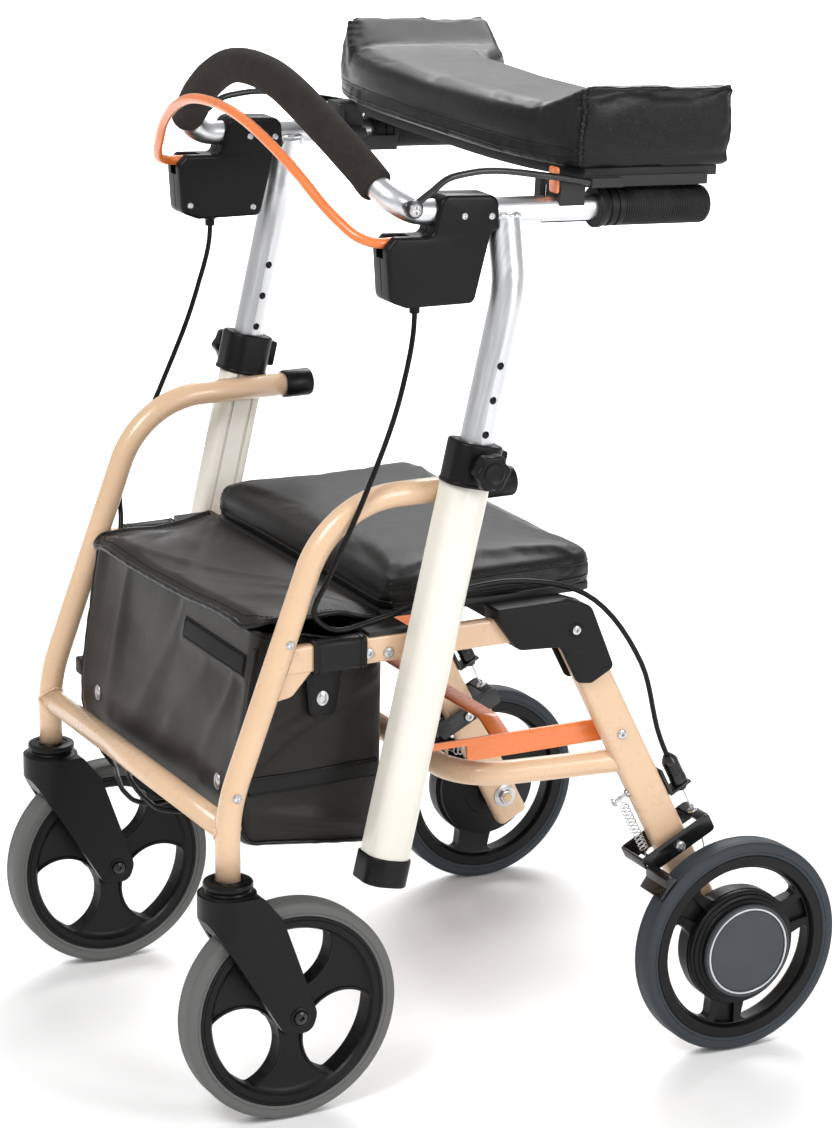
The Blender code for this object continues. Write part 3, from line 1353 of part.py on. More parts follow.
def make_brake_lever():
    """Channel round the leg that rocks on its pin: the shoe in front, the cable's wire at the rear."""
    middle = LEVER_PIVOT_ALONG
    low, high = middle - LEVER_UP, middle + LEVER_DOWN
    side = rounded(
        [(low, -LEVER_FRONT), (high, -LEVER_FRONT + 0.007), (high, LEVER_REAR), (low, LEVER_REAR)],
        [0.003, 0.003, 0.004, 0.004],
    )
    hole = ring_points(LEVER_PIN + GAP, 8, (middle, 0))
    inside = LEVER_HALF_WIDTH - LEVER_WALL
    plates = []
    for x in (LEG_X + inside, LEG_X - LEVER_HALF_WIDTH):
        plates.append(plate("brake_lever", [side, hole], x, x + LEVER_WALL, leg_frame()))
    reach = inside + LEVER_WALL / 2
    front_web = (-LEVER_FRONT + 0.0008, -LEVER_FRONT + 0.0030)
    rear_web = (LEVER_REAR - 0.0110, LEVER_REAR - 0.0008)
    front = leg_block(low + 0.0008, high - 0.0070, *front_web, LEG_X - reach, LEG_X + reach)
    rear = leg_block(low + 0.0008, low + 0.0038, *rear_web, LEG_X - reach, LEG_X + reach)
    pin_at = leg_point(middle + SPRING_PIN_DOWN, SPRING_ACROSS).yz
    pin = rod("pin", (LEG_X - reach, *pin_at), (LEG_X + reach, *pin_at), SPRING_POST, 8)
    nipple_top, nipple_end = leg_point(low - 0.0040, CABLE_ACROSS), leg_point(low + 0.0020, CABLE_ACROSS)
    nipple = rod("nipple", nipple_top, nipple_end, 0.0038, 8)
    wire_end = leg_point(high + WIRE_TAIL, CABLE_ACROSS - 0.008)
    wire_path = [leg_point(WIRE_TOP, CABLE_ACROSS), leg_point(high, CABLE_ACROSS), wire_end]
    wire = tube("wire", wire_path, WIRE_RADIUS, 6)
    lever = union(plates[0], plates[1], front, rear, pin, nipple, make_shoe(), wire)
    return moved_to(painted(lever, BLACK, 0.45), leg_point(middle))


def leg_block(low, high, front, rear, x0, x1):
    piece = block("block", (low, front, x0), (high, rear, x1))
    piece.data.transform(leg_frame())
    return piece


def make_shoe():
    """Curved bar just clear of the tyre's tread, carried outwards from the lever's front corner."""
    axle = Vector((REAR_AXLE_Y, WHEEL_RADIUS))
    near = WHEEL_RADIUS + SHOE_GAP
    root = leg_point(LEVER_PIVOT_ALONG, -LEVER_FRONT)
    middle = math.degrees(math.atan2(root.z - axle.y, root.y - axle.x))
    rim = [(math.radians(middle + angle), 0.0) for angle in (-5, -2.4, 0.2, 2.8, 5.4, 8)]
    back = [(8, 0.0030), (2, 0.0034), (-1, 0.0090), (-3.5, 0.0090), (-5, 0.0040)]
    outline = []
    for turn, thick in rim + [(math.radians(middle + angle), thick) for angle, thick in back]:
        outline.append((axle.x + (near + thick) * math.cos(turn), axle.y + (near + thick) * math.sin(turn)))
    low = LEG_X + LEVER_HALF_WIDTH - LEVER_WALL - 0.003
    return plate("shoe", [outline], low, REAR_WHEEL_X + REAR_TYRE_WIDTH / 2 - 0.003)


def make_cable_clamp():
    """L-shaped stop on the leg's rear with the cable's adjusting barrel."""
    back = LEG_WIDTH / 2 + GAP
    half = 0.008
    low, high = LEG_X - half, LEG_X + half
    end = CLAMP_ALONG + CLAMP_THICK
    foot = leg_block(CLAMP_ALONG - 0.0255, end, back, back + CLAMP_THICK, low, high)
    shelf = leg_block(CLAMP_ALONG, end, back + 0.001, CABLE_ACROSS + half, low, high)
    profile = [
        (0.0, 0.0),
        (0.0042, 0.0),
        (0.0072, 0.0040),
        (0.0078, 0.0080),
        (0.0066, 0.0210),
        (0.0078, 0.0290),
        (0.0045, 0.0300),
        (0.0045, 0.0380),
        (0.0, 0.0380),
    ]
    down = Matrix.Rotation(math.pi / 2, 4, "Y")
    matrix = leg_frame() @ Matrix.Translation((CLAMP_ALONG - 0.0310, CABLE_ACROSS, LEG_X)) @ down
    barrel = turned("cable_clamp", list(reversed(profile)), matrix, 10)
    clamp = union(barrel, foot, shelf)
    above = leg_point(CLAMP_ALONG - 0.0395, CABLE_ACROSS)
    below = leg_point(CLAMP_ALONG + 0.0305, CABLE_ACROSS)
    bore = rod("bore", above, below, CABLE_RADIUS + GAP, 8)
    wide = rod("wide", leg_point(WIRE_TOP - 0.003, CABLE_ACROSS), below, BARREL_BORE, 8)
    return painted(cut(clamp, bore, wide), BLACK, 0.45)


def cable_top():
    """The cable's knots from the brake box down to the front tube's outer side."""
    gland_x = HANDLE_X - GLAND_INWARD
    outside = FRAME_X + TUBE_RADIUS
    return [
        (gland_x, GLAND_Y, GLAND_Z + 0.0070),
        (gland_x, GLAND_Y, GLAND_Z + 0.0025),
        (gland_x, GLAND_Y, GLAND_Z - 0.0035),
        (0.2145, -0.1120, HANDLE_HEIGHT - 0.1440),
        (outside + 0.0031, -0.1500, 0.5550),
        (outside + 0.0023, -0.1830, 0.4880),
    ]


def cable_end():
    """The cable's knots down the leg's rear side into the clamp's barrel."""
    off = CABLE_ACROSS
    last = CLAMP_ALONG - 0.0205
    return [leg_point(last - 0.029, off + 0.001), leg_point(last - 0.011, off), leg_point(last, off)]


def make_left_cable():
    """Cable from the brake box past the front tube, back along the rail and down to the leg's clamp."""
    over_rail = [
        (0.2110, TUBE_RADIUS - 0.2040, 0.4580),
        (0.2045, -0.1750, 0.4400),
        (0.2035, -0.1250, 0.4430),
        (0.2038, -0.0600, 0.4570),
        (0.2050, 0.0060, 0.4600),
        (0.2070, 0.0720, 0.4410),
        (0.2065, 0.1330, 0.3680),
    ]
    points = smooth_path(cable_top() + over_rail + cable_end(), 2)
    return painted(tube("brake_cable_left", points, CABLE_RADIUS, 6), BLACK, 0.5)


def make_right_cable():
    """Cable down the front tube's inner side, its slack in a loop under the bag, then up to the leg."""
    down_tube = [
        (0.2120, TUBE_RADIUS - 0.2045, 0.4620),
        (0.2000, TUBE_RADIUS - 0.2090, 0.4400),
        (0.1880, -0.2050, 0.4190),
        (0.1865, -0.2200, 0.3800),
        (0.1865, -0.2330, 0.3250),
        (0.1865, -0.2365, 0.2900),
        (0.1855, -0.2350, 0.2450),
        (0.1820, -0.2280, 0.2200),
    ]
    low, high = SLACK_Z, SLACK_Z + 0.0065
    slack = [
        (0.1650, -0.2245, low + 0.001),
        (0.1261, -0.2357, low),
        (0.0844, -0.2452, low),
        (0.0580, -0.2440, low),
        (0.0470, -0.2330, low),
        (0.0480, -0.2140, low + 0.0005),
        (0.0380, -0.1960, low + 0.0015),
        (0.0150, -0.1960, low + 0.0030),
        (0.0020, -0.2100, low + 0.0050),
        (0.0026, -0.2295, high),
        (0.0137, -0.2403, high),
        (0.0415, -0.2423, high),
        (0.0760, -0.2385, high),
        (0.1095, -0.2315, high),
        (0.1500, -0.2140, high),
    ]
    beside_leg = LEG_X - LEG_THICK / 2 - 0.0090
    up_to_leg = [
        (0.1835, -0.1830, 0.2175),
        (0.1862, -0.1620, 0.2350),
        (0.1862, -0.1420, 0.2800),
        (0.1862, -0.1320, 0.3350),
        (0.1865, -0.1050, 0.3680),
        (beside_leg, -0.0500, 0.3790),
        (beside_leg, 0.0200, 0.3800),
        (beside_leg + 0.0005, 0.0600, 0.3790),
        (beside_leg + 0.0020, 0.0950, 0.3710),
        (0.1970, 0.1275, 0.3460),
        (0.2035, 0.1424, 0.3255),
    ]
    knots = cable_top() + down_tube + slack + up_to_leg + cable_end()
    points = [(-x, y, z) for x, y, z in smooth_path(knots, 1)]
    return painted(tube("brake_cable_right", points, CABLE_RADIUS, 6), BLACK, 0.5)


# wheels


def make_caster_fork():
    """Moulded fork with its bearing collar and stem."""
    half = FORK_OUTER
    outline = rounded(
        [
            (STEM_Y - half - 0.010, 0.2165),
            (STEM_Y + 0.0215, 0.2165),
            (STEM_Y + 0.0403, 0.1930),
            (FRONT_AXLE_Y + 0.0170, 0.1010),
            (FRONT_AXLE_Y + 0.0115, 0.0850),
            (FRONT_AXLE_Y - 0.0135, 0.0850),
            (STEM_Y - 0.0247, 0.1950),
            (STEM_Y - half - 0.010, 0.2000),
        ],
        [0, 0.006, 0.022, 0.014, 0.011, 0.012, 0.006, 0],
    )
    fork = plate("caster_fork", [outline], FRAME_X - half - 0.003, FRAME_X + half + 0.003)
    sides = [(FRAME_X - half, FRONT_AXLE_Y + 0.05), (FRAME_X - half, STEM_Y)]
    hood = [(FRAME_X + half * math.cos(a), STEM_Y + half * math.sin(a)) for a in arc(202.5, 337.5, 7)]
    plan = sides + hood + [(FRAME_X + half, STEM_Y), (FRAME_X + half, FRONT_AXLE_Y + 0.05)]
    fork = clipped(fork, plate("plan", [plan], 0.05, 0.25, Matrix.Identity(4)))
    top = STEM_BOTTOM - GAP
    profile = [
        (0.0, top),
        (0.0190, top),
        (0.0220, top - 0.0020),
        (0.0220, top - 0.0060),
        (0.0195, top - 0.0075),
        (0.0250, top - 0.0110),
        (0.0250, top - 0.0160),
        (0.0, top - 0.0160),
    ]
    collar = turned("collar", profile, Matrix.Translation((FRAME_X, STEM_Y, 0)), 12)
    stem_end = (FRAME_X, STEM_Y, top + STEM_LENGTH)
    stem = rod("stem", (FRAME_X, STEM_Y, top - 0.004), stem_end, STEM_BORE - STEM_CLEARANCE)
    axle = (FRONT_AXLE_Y, WHEEL_RADIUS)
    room_low, room_high = (FRAME_X - FORK_INNER, *axle), (FRAME_X + FORK_INNER, *axle)
    fork = cut(fork, rod("room", room_low, room_high, WHEEL_RADIUS + WHEEL_ROOM, WHEEL_SIDES))
    bolts = [rod("axle", (FRAME_X - half, *axle), (FRAME_X + half, *axle), AXLE_RADIUS)]
    for side in (1, -1):
        start, end = FRAME_X + side * (half - 0.001), FRAME_X + side * (half + 0.0022)
        bolts.append(rod("head", (start, *axle), (end, *axle), 0.0068, 8))
    return moved_to(painted(union(fork, collar, stem, *bolts), BLACK, 0.5), (FRAME_X, STEM_Y, STEM_BOTTOM))


def wheel_window(inner, outer, spread, narrowing, rim_corner, hub_corner):
    """Opening between two spokes: an arc by the rim, another by the hub, with round corners."""
    steps = 5
    wide = [(outer * math.cos(a), outer * math.sin(a)) for a in arc(-spread, spread, steps)]
    half = spread - narrowing
    narrow = [(inner * math.cos(a), inner * math.sin(a)) for a in arc(half, -half, steps)]
    straight = [0] * (steps - 2)
    radii = [rim_corner, *straight, rim_corner, hub_corner, *straight, hub_corner]
    return rounded(wide + narrow, radii)


def windows(name, outline, count, x_low, x_high, centre, first):
    tools = []
    for i in range(count):
        angle = first + 2 * math.pi * i / count
        turn = Matrix.Translation((0, *centre)) @ Matrix.Rotation(angle, 4, "X") @ SIDE
        tools.append(plate(name, [outline], x_low, x_high, turn))
    return tools


def make_front_wheel():
    """Moulded wheel with three broad spokes and a waisted hub."""
    half = FRONT_TYRE_WIDTH / 2
    hub = FORK_INNER - 0.0012
    profile = [
        (0.0170, hub),
        (0.0215, 0.0085),
        (RIM_INNER - 0.004, 0.0075),
        (RIM_INNER, half - 0.0010),
        (RIM_RADIUS, half - 0.0010),
    ]
    bore = AXLE_RADIUS + AXLE_CLEARANCE
    outline = [(bore, hub)] + profile + [(r, -h) for r, h in reversed(profile)] + [(bore, -hub), (bore, hub)]
    centre = (FRONT_AXLE_Y, WHEEL_RADIUS)
    wheel = turned("front_wheel", outline, along_x(FRAME_X, *centre), WHEEL_SIDES)
    opening = wheel_window(0.0240, RIM_INNER - 0.0015, 54, 14.7, 0.0180, 0.0080)
    tools = windows("window", opening, 3, FRAME_X - 0.03, FRAME_X + 0.03, centre, math.radians(210))
    return moved_to(painted(cut(wheel, *tools), BLACK, 0.5), (FRAME_X, *centre))


def make_tyre(name, width, x, y):
    """Solid tyre over its rim, slightly crowned."""
    half = width / 2
    seat = RIM_RADIUS + GAP
    inner_to_tread = [
        (seat, half),
        (WHEEL_RADIUS - TYRE_SHOULDER, half),
        (WHEEL_RADIUS, half * 0.55),
    ]
    profile = inner_to_tread + [(r, -h) for r, h in reversed(inner_to_tread)] + inner_to_tread[:1]
    centre = (x, y, WHEEL_RADIUS)
    return moved_to(turned(name, profile, along_x(*centre), WHEEL_SIDES), centre)


def make_rear_wheel():
    """Wheel with a stepped drum on both sides and three arc windows."""
    centre = (REAR_AXLE_Y, WHEEL_RADIUS)
    x = REAR_WHEEL_X
    half = REAR_TYRE_WIDTH / 2
    inner_hub = x - (LEG_X + LEG_THICK / 2 + 0.0030 + GAP)
    outer_hub = HUB_CAP_X - 0.0045 - x
    right = [
        (HUB_CAP_RADIUS + 0.0020, outer_hub),
        (DRUM_RADIUS, 0.0135),
        (DRUM_RADIUS + 0.0005, 0.0060),
        (RIM_INNER - 0.002, 0.0060),
        (RIM_INNER, half - 0.0008),
        (RIM_RADIUS, half - 0.0008),
    ]
    left = [
        (RIM_RADIUS, -half + 0.0008),
        (RIM_INNER, -half + 0.0008),
        (RIM_INNER - 0.002, -0.0060),
        (DRUM_RADIUS + 0.0005, -0.0060),
        (DRUM_RADIUS, -0.0150),
        (0.0170, -0.0225),
        (0.0160, -inner_hub),
    ]
    bore = AXLE_RADIUS + AXLE_CLEARANCE
    seat = HUB_CAP_RADIUS - 0.0060
    recess = [(bore, outer_hub - 0.006), (seat, outer_hub - 0.006), (seat, outer_hub)]
    outline = recess + right + left + [(bore, -inner_hub), (bore, outer_hub - 0.006)]
    wheel = turned("rear_wheel", outline, along_x(x, *centre), WHEEL_SIDES)
    opening = wheel_window(DRUM_RADIUS + 0.0030, RIM_INNER - 0.0030, 47, 6, 0.0045, 0.0045)
    tools = windows("window", opening, 3, x - 0.03, x + 0.03, centre, math.radians(80))
    return moved_to(painted(cut(wheel, *tools), BLACK, 0.45), (x, *centre))


def make_hub_cap():
    """Plain disc with a raised rim, pressed into the wheel's outer hub."""
    x = REAR_WHEEL_X
    back = HUB_CAP_X - 0.0045 + GAP
    seat = HUB_CAP_RADIUS - 0.0060 - GAP
    profile = [
        (0.0, HUB_CAP_X - 0.0010),
        (HUB_CAP_RADIUS - 0.0045, HUB_CAP_X - 0.0010),
        (HUB_CAP_RADIUS - 0.0035, HUB_CAP_X),
        (HUB_CAP_RADIUS - 0.0010, HUB_CAP_X),
        (HUB_CAP_RADIUS, back),
        (seat, back),
        (seat, back - 0.0035),
        (0.0, back - 0.0035),
    ]
    centre = (REAR_AXLE_Y, WHEEL_RADIUS)
    cap = turned("hub_cap", [(r, h - x) for r, h in profile], along_x(x, *centre), WHEEL_SIDES)
    return moved_to(painted(cap, DISC, 0.5), (x, *centre))


def build():
    make_front_frame()
    both_sides(make_side_rail())
    both_sides(make_corner_bracket())
    both_sides(make_end_cap())
    both_sides(make_column())
    both_sides(make_column_foot())
    both_sides(make_collar())
    both_sides(make_star_knob())
    make_handle_frame()
    make_foam_grip()
    both_sides(make_rear_grip())
    both_sides(make_brake_box())
    make_brake_bar()
    make_forearm_pad()
    make_pad_base()
    both_sides(make_pad_arm())
    both_sides(make_pad_latch())
    make_seat_cushion()
    make_seat_frame()
    make_bag()
    both_sides(make_bag_strap())
    make_bag_flap()
    both_sides(make_rear_leg())
    make_rear_cross_tube()
    make_fold_latch()
    both_sides(make_latch_spring())
    both_sides(make_return_spring())
    both_sides(make_brake_lever())
    both_sides(make_cable_clamp())
    make_left_cable()
    make_right_cable()
    both_sides(make_caster_fork())
    both_sides(make_front_wheel())
    front = make_tyre("front_tyre", FRONT_TYRE_WIDTH, FRAME_X, FRONT_AXLE_Y)
    both_sides(painted(front, LIGHT_TYRE, 0.6))
    both_sides(make_rear_wheel())
    rear = make_tyre("rear_tyre", REAR_TYRE_WIDTH, REAR_WHEEL_X, REAR_AXLE_Y)
    both_sides(painted(rear, DARK_TYRE, 0.6))
    both_sides(make_hub_cap())


build()
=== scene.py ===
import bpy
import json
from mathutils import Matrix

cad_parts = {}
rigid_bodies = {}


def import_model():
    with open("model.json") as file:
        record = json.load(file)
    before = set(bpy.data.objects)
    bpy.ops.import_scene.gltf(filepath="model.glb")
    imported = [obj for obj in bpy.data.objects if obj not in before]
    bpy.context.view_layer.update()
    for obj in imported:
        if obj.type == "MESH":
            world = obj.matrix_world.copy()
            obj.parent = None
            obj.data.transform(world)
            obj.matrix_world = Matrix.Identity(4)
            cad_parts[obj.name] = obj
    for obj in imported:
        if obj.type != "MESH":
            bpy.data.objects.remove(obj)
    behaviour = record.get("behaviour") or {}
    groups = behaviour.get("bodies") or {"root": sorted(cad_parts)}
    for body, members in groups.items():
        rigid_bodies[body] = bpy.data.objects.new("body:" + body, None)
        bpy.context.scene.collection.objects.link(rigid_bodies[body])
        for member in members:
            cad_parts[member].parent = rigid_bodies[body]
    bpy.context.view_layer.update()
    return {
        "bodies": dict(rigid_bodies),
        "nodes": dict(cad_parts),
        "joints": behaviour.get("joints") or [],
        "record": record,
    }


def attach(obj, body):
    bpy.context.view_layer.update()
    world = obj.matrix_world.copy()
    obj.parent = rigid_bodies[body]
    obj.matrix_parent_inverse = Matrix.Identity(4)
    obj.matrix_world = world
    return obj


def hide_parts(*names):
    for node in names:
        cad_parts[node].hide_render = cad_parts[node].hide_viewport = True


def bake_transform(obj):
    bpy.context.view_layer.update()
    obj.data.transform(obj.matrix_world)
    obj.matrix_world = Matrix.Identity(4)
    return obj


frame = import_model()

import json
import math

import bpy
from mathutils import Matrix, Vector, kdtree

nodes = frame["nodes"]
bodyOf = {node: body for body, names in frame["record"]["behaviour"]["bodies"].items() for node in names}
slotOf = {row["node"]: row["material_slot"] for row in frame["record"]["subparts"]}
bodies = set(bodyOf.values())
sides = (("left", 1), ("right", -1))
done = set()


# shader maths: a value or colour, and the finish that it belongs to


class Field:
    def __init__(self, finish, socket):
        self.finish = finish
        self.socket = socket

    def maths(self, operation, *others):
        return self.finish.node("Math", {"operation": operation}, dict(enumerate((self, *others))))

    def __add__(self, other):
        return self.maths("ADD", other)

    __radd__ = __add__

    def __mul__(self, other):
        return self.maths("MULTIPLY", other)

    __rmul__ = __mul__

    def spread(self, low, high, toLow=0.0, toHigh=1.0):
        settings = {"interpolation_type": "SMOOTHSTEP", "clamp": True}
        return self.finish.node("MapRange", settings, {0: self, 1: low, 2: high, 3: toLow, 4: toHigh})


class Finish:
    def __init__(self, name, **sockets):
        self.material = bpy.data.materials.new(name)
        self.material.use_nodes = True
        self.tree = self.material.node_tree
        self.shader = self.tree.nodes["Principled BSDF"]
        self.set(**sockets)
        self.place = self.node("TexCoord", output="Object")

    def node(self, kind, settings=None, inputs=None, output=0):
        made = self.tree.nodes.new("ShaderNode" + kind)
        for key, value in (settings or {}).items():
            setattr(made, key, value)
        for key, value in (inputs or {}).items():
            self.feed(made.inputs[key], value)
        return Field(self, made.outputs[output])

    def feed(self, socket, value):
        if isinstance(value, Field):
            self.tree.links.new(value.socket, socket)
        elif hasattr(value, "__len__") and len(value) == 3 and socket.type == "RGBA":
            socket.default_value = tuple(value) + (1.0,)
        else:
            socket.default_value = value

    def set(self, **sockets):
        for key, value in sockets.items():
            self.feed(self.shader.inputs[key.replace("_", " ")], value)
        return self

    def mapped(self, scale, turn=(0, 0, 0)):
        return self.node("Mapping", None, {0: self.place, 2: turn, 3: scale})

    def noise(self, scale, detail=2.0, rough=0.5, at=None, distortion=0.0):
        inputs = {"Scale": scale, "Detail": detail, "Roughness": rough, "Distortion": distortion}
        return self.node("TexNoise", None, {"Vector": at or self.place, **inputs})

    def cells(self, scale, feature="F1"):
        return self.node("TexVoronoi", {"feature": feature}, {"Vector": self.place, "Scale": scale})

    def mix(self, factor, first, second):
        return self.node("Mix", {"data_type": "RGBA"}, {0: factor, 6: first, 7: second}, 2)

    def bump(self, height, distance, over=None):
        inputs = {"Strength": 1.0, "Distance": distance, "Height": height}
        return self.node("Bump", None, {**inputs, "Normal": over} if over else inputs)


def darker(colour, share):
    return tuple(channel * share for channel in colour)


# finishes


def makePaint(name, colour, roughness, coat=0.35):
    finish = Finish(name, Roughness=roughness, Coat_Weight=coat, Coat_Roughness=0.08)
    cloud = finish.noise(9.0, 4.0)
    dust = finish.noise(55.0, 6.0, 0.7)
    speck = finish.noise(900.0, 2.0).spread(0.7, 0.78)
    tint = finish.mix(cloud.spread(0.35, 0.7), darker(colour, 0.94), colour)
    tint = finish.mix(speck * 0.25, tint, darker(colour, 0.6))
    finish.set(Base_Color=tint, Roughness=dust.spread(0.3, 0.75, roughness - 0.05, roughness + 0.09))
    finish.set(Normal=finish.bump(finish.noise(420.0, 3.0), 0.00006))
    return finish.material


def makePlastic(name, colour, roughness, grain=0.00005, grainScale=1400.0):
    finish = Finish(name, Roughness=roughness)
    finish.set(Specular_IOR_Level=0.22)
    cloud = finish.noise(14.0, 5.0, 0.6)
    scuff = finish.noise(160.0, 5.0, 0.65, finish.mapped((1, 0.25, 1), (0.4, 0.2, 0.7))).spread(0.6, 0.8)
    tint = finish.mix(cloud.spread(0.3, 0.75), darker(colour, 0.85), darker(colour, 1.15))
    tint = finish.mix(scuff * 0.05, tint, (0.12, 0.12, 0.12))
    finish.set(Base_Color=tint, Roughness=cloud.spread(0.3, 0.7, roughness - 0.06, roughness + 0.08) + scuff * 0.08)
    finish.set(Normal=finish.bump(finish.cells(grainScale), grain))
    return finish.material


def makeMetal(name, colour, roughness, along=(1, 1, 1)):
    finish = Finish(name, Metallic=1.0, Roughness=roughness)
    streak = finish.noise(900.0, 3.0, 0.6, finish.mapped(along))
    cloud = finish.noise(12.0, 4.0, 0.6)
    tint = finish.mix(cloud.spread(0.3, 0.7), darker(colour, 0.93), colour)
    finish.set(Base_Color=tint, Roughness=streak.spread(0.3, 0.7, roughness - 0.06, roughness + 0.07))
    finish.set(Normal=finish.bump(streak, 0.00002))
    return finish.material


def makeRubber(name, colour, roughness):
    finish = Finish(name, Roughness=roughness)
    finish.set(Specular_IOR_Level=0.25)
    dust = finish.noise(26.0, 6.0, 0.7)
    fine = finish.noise(1100.0, 3.0)
    tint = finish.mix(dust.spread(0.42, 0.72), colour, tuple(channel * 0.9 + 0.012 for channel in colour))
    finish.set(Base_Color=tint, Roughness=dust.spread(0.3, 0.7, roughness - 0.05, roughness + 0.1))
    finish.set(Normal=finish.bump(fine, 0.00008))
    return finish.material


def makeFoam(name, colour):
    finish = Finish(name, Roughness=0.9)
    finish.set(Specular_IOR_Level=0.18)
    pores = finish.cells(1500.0, "SMOOTH_F1")
    dents = finish.noise(60.0, 4.0, 0.6)
    tint = finish.mix(pores.spread(0.1, 0.6), darker(colour, 0.55), darker(colour, 1.25))
    finish.set(Base_Color=finish.mix(dents.spread(0.35, 0.7) * 0.4, tint, darker(colour, 1.6)))
    rise = finish.bump(dents, 0.0006)
    finish.set(Normal=finish.bump(pores, 0.00025, over=rise))
    return finish.material


def makeVinyl(name, colour, roughness, crease=0.0008, grain=0.0001, creaseScale=16.0, specular=0.3):
    finish = Finish(name, Roughness=roughness)
    finish.set(Specular_IOR_Level=specular)
    grains = finish.cells(750.0, "DISTANCE_TO_EDGE")
    folds = finish.noise(creaseScale, 5.0, 0.55, distortion=0.6)
    worn = finish.noise(7.0, 4.0, 0.6)
    tint = finish.mix(worn.spread(0.35, 0.7), darker(colour, 0.85), darker(colour, 1.2))
    tint = finish.mix(grains.spread(0.0, 0.08, 0.35, 0.0), tint, darker(colour, 0.5))
    finish.set(Base_Color=tint, Roughness=worn.spread(0.3, 0.7, roughness - 0.05, roughness + 0.08))
    rise = finish.bump(folds, crease)
    finish.set(Normal=finish.bump(grains.spread(0.0, 0.12), grain, over=rise))
    return finish.material


colours = {
    "tan": (0.735, 0.505, 0.325),
    "cream": (0.8, 0.775, 0.7),
    "orange": (0.8, 0.2, 0.045),
    "aluminium": (0.74, 0.75, 0.77),
    "zinc": (0.6, 0.6, 0.62),
    "plastic": (0.0036, 0.0036, 0.004),
    "bracket": (0.0044, 0.0044, 0.0048),
    "foam": (0.024, 0.0205, 0.0175),
    "rubber": (0.005, 0.005, 0.0054),
    "vinyl": (0.0042, 0.004, 0.004),
    "bag": (0.0135, 0.0112, 0.0095),
    "piping": (0.003, 0.0029, 0.0029),
    "thread": (0.0065, 0.0062, 0.006),
    "lightTyre": (0.118, 0.12, 0.116),
    "darkTyre": (0.032, 0.039, 0.047),
    "disc": (0.05, 0.057, 0.064),
}

finishes = {
    "tan_paint": makePaint("tanPaint", colours["tan"], 0.3),
    "cream_paint": makePaint("creamPaint", colours["cream"], 0.34, 0.3),
    "orange_paint": makePaint("orangePaint", colours["orange"], 0.3, 0.4),
    "black_steel": makePaint("blackSteel", colours["plastic"], 0.3, 0.2),
    "satin_aluminium": makeMetal("satinAluminium", colours["aluminium"], 0.36, (1, 0.08, 0.02)),
    "zinc": makeMetal("zincPlate", colours["zinc"], 0.3),
    "bracket_plastic": makePlastic("bracketPlastic", colours["bracket"], 0.46, 0.00009, 1100.0),
    "black_plastic": makePlastic("blackPlastic", colours["plastic"], 0.36),
    "cable_sheath": makePlastic("cableSheath", colours["plastic"], 0.3),
    "foam": makeFoam("gripFoam", colours["foam"]),
    "grip_rubber": makeRubber("gripRubber", colours["rubber"], 0.5),
    "black_vinyl": makeVinyl("padVinyl", colours["vinyl"], 0.33),
    "bag_vinyl": makeVinyl("bagVinyl", colours["bag"], 0.4, 0.0014, 0.00012, 22.0, 0.36),
    "pipingVinyl": makeVinyl("pipingVinyl", colours["piping"], 0.28, 0.0004, 0.00005, 60.0, 0.34),
    "hemVinyl": makeVinyl("hemVinyl", colours["piping"], 0.34, 0.0006, 0.00009, 34.0),
    "labelVinyl": makeVinyl("labelVinyl", colours["piping"], 0.5, 0.0002, 0.00006, 30.0, 0.12),
    "blackThread": makePlastic("blackThread", colours["thread"], 0.55, 0.00006, 2600.0),
    "hub_disc": makePlastic("hubDisc", colours["disc"], 0.4),
    "dark_tyre": makeRubber("darkTyre", colours["darkTyre"], 0.55),
    "light_tyre": makeRubber("lightTyre", colours["lightTyre"], 0.55),
}
print("finishes made")


# handling pieces


def only(*pieces):
    bpy.ops.object.select_all(action="DESELECT")
    for piece in pieces:
        piece.hide_set(False)
        piece.select_set(True)
    bpy.context.view_layer.objects.active = pieces[0]


def applied(piece, kind, **settings):
    only(piece)
    modifier = piece.modifiers.new("step", kind)
    for key, value in settings.items():
        setattr(modifier, key, value)
    bpy.ops.object.modifier_apply(modifier=modifier.name)
    return piece


def settled(piece):
    only(piece)
    bpy.ops.object.transform_apply(location=True, rotation=True, scale=True)
    return piece


def smooth(piece, degrees):
    only(piece)
    bpy.ops.object.shade_smooth_by_angle(angle=math.radians(degrees))
    return piece


def joined(name, *pieces):
    only(*pieces)
    if len(pieces) > 1:
        bpy.ops.object.join()
    pieces[0].name = name
    return pieces[0]


def copyOf(piece, name="copy"):
    twin = piece.copy()
    twin.data = piece.data.copy()
    twin.name = name
    bpy.context.scene.collection.objects.link(twin)
    return twin


def mirrored(piece, name):
    twin = copyOf(piece, name)
    twin.data.transform(Matrix.Diagonal((-1, 1, 1, 1)))
    twin.data.flip_normals()
    return twin


def worn(piece, finish):
    piece.data.materials.clear()
    piece.data.materials.append(finishes.get(finish) or finish)
    return piece


def fitted(piece, node, finish=None, *others):
    # the piece stands for these nodes and rides on their body
    piece.name = node + "_look"
    if finish or not piece.data.materials:
        worn(piece, finish or slotOf[node])
    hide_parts(node, *others)
    done.update((node,) + others)
    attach(piece, bodyOf[node])
    return piece


def sharpOver(angle):
    return {"limit_method": "ANGLE", "angle_limit": math.radians(angle), "use_clamp_overlap": True}


def refined(node, bevel=0.0004, segments=2):
    # a merged copy of a node with softened edges
    piece = copyOf(nodes[node])
    piece.parent = None
    for key in list(piece.keys()):
        del piece[key]
    only(piece)
    bpy.ops.object.mode_set(mode="EDIT")
    bpy.ops.mesh.select_all(action="SELECT")
    bpy.ops.mesh.remove_doubles(threshold=0.00002)
    bpy.ops.mesh.dissolve_limited(angle_limit=math.radians(0.6))
    bpy.ops.object.mode_set(mode="OBJECT")
    applied(piece, "BEVEL", width=bevel, segments=segments, **sharpOver(42))
    return fitted(smooth(piece, 46), node)


# making shapes


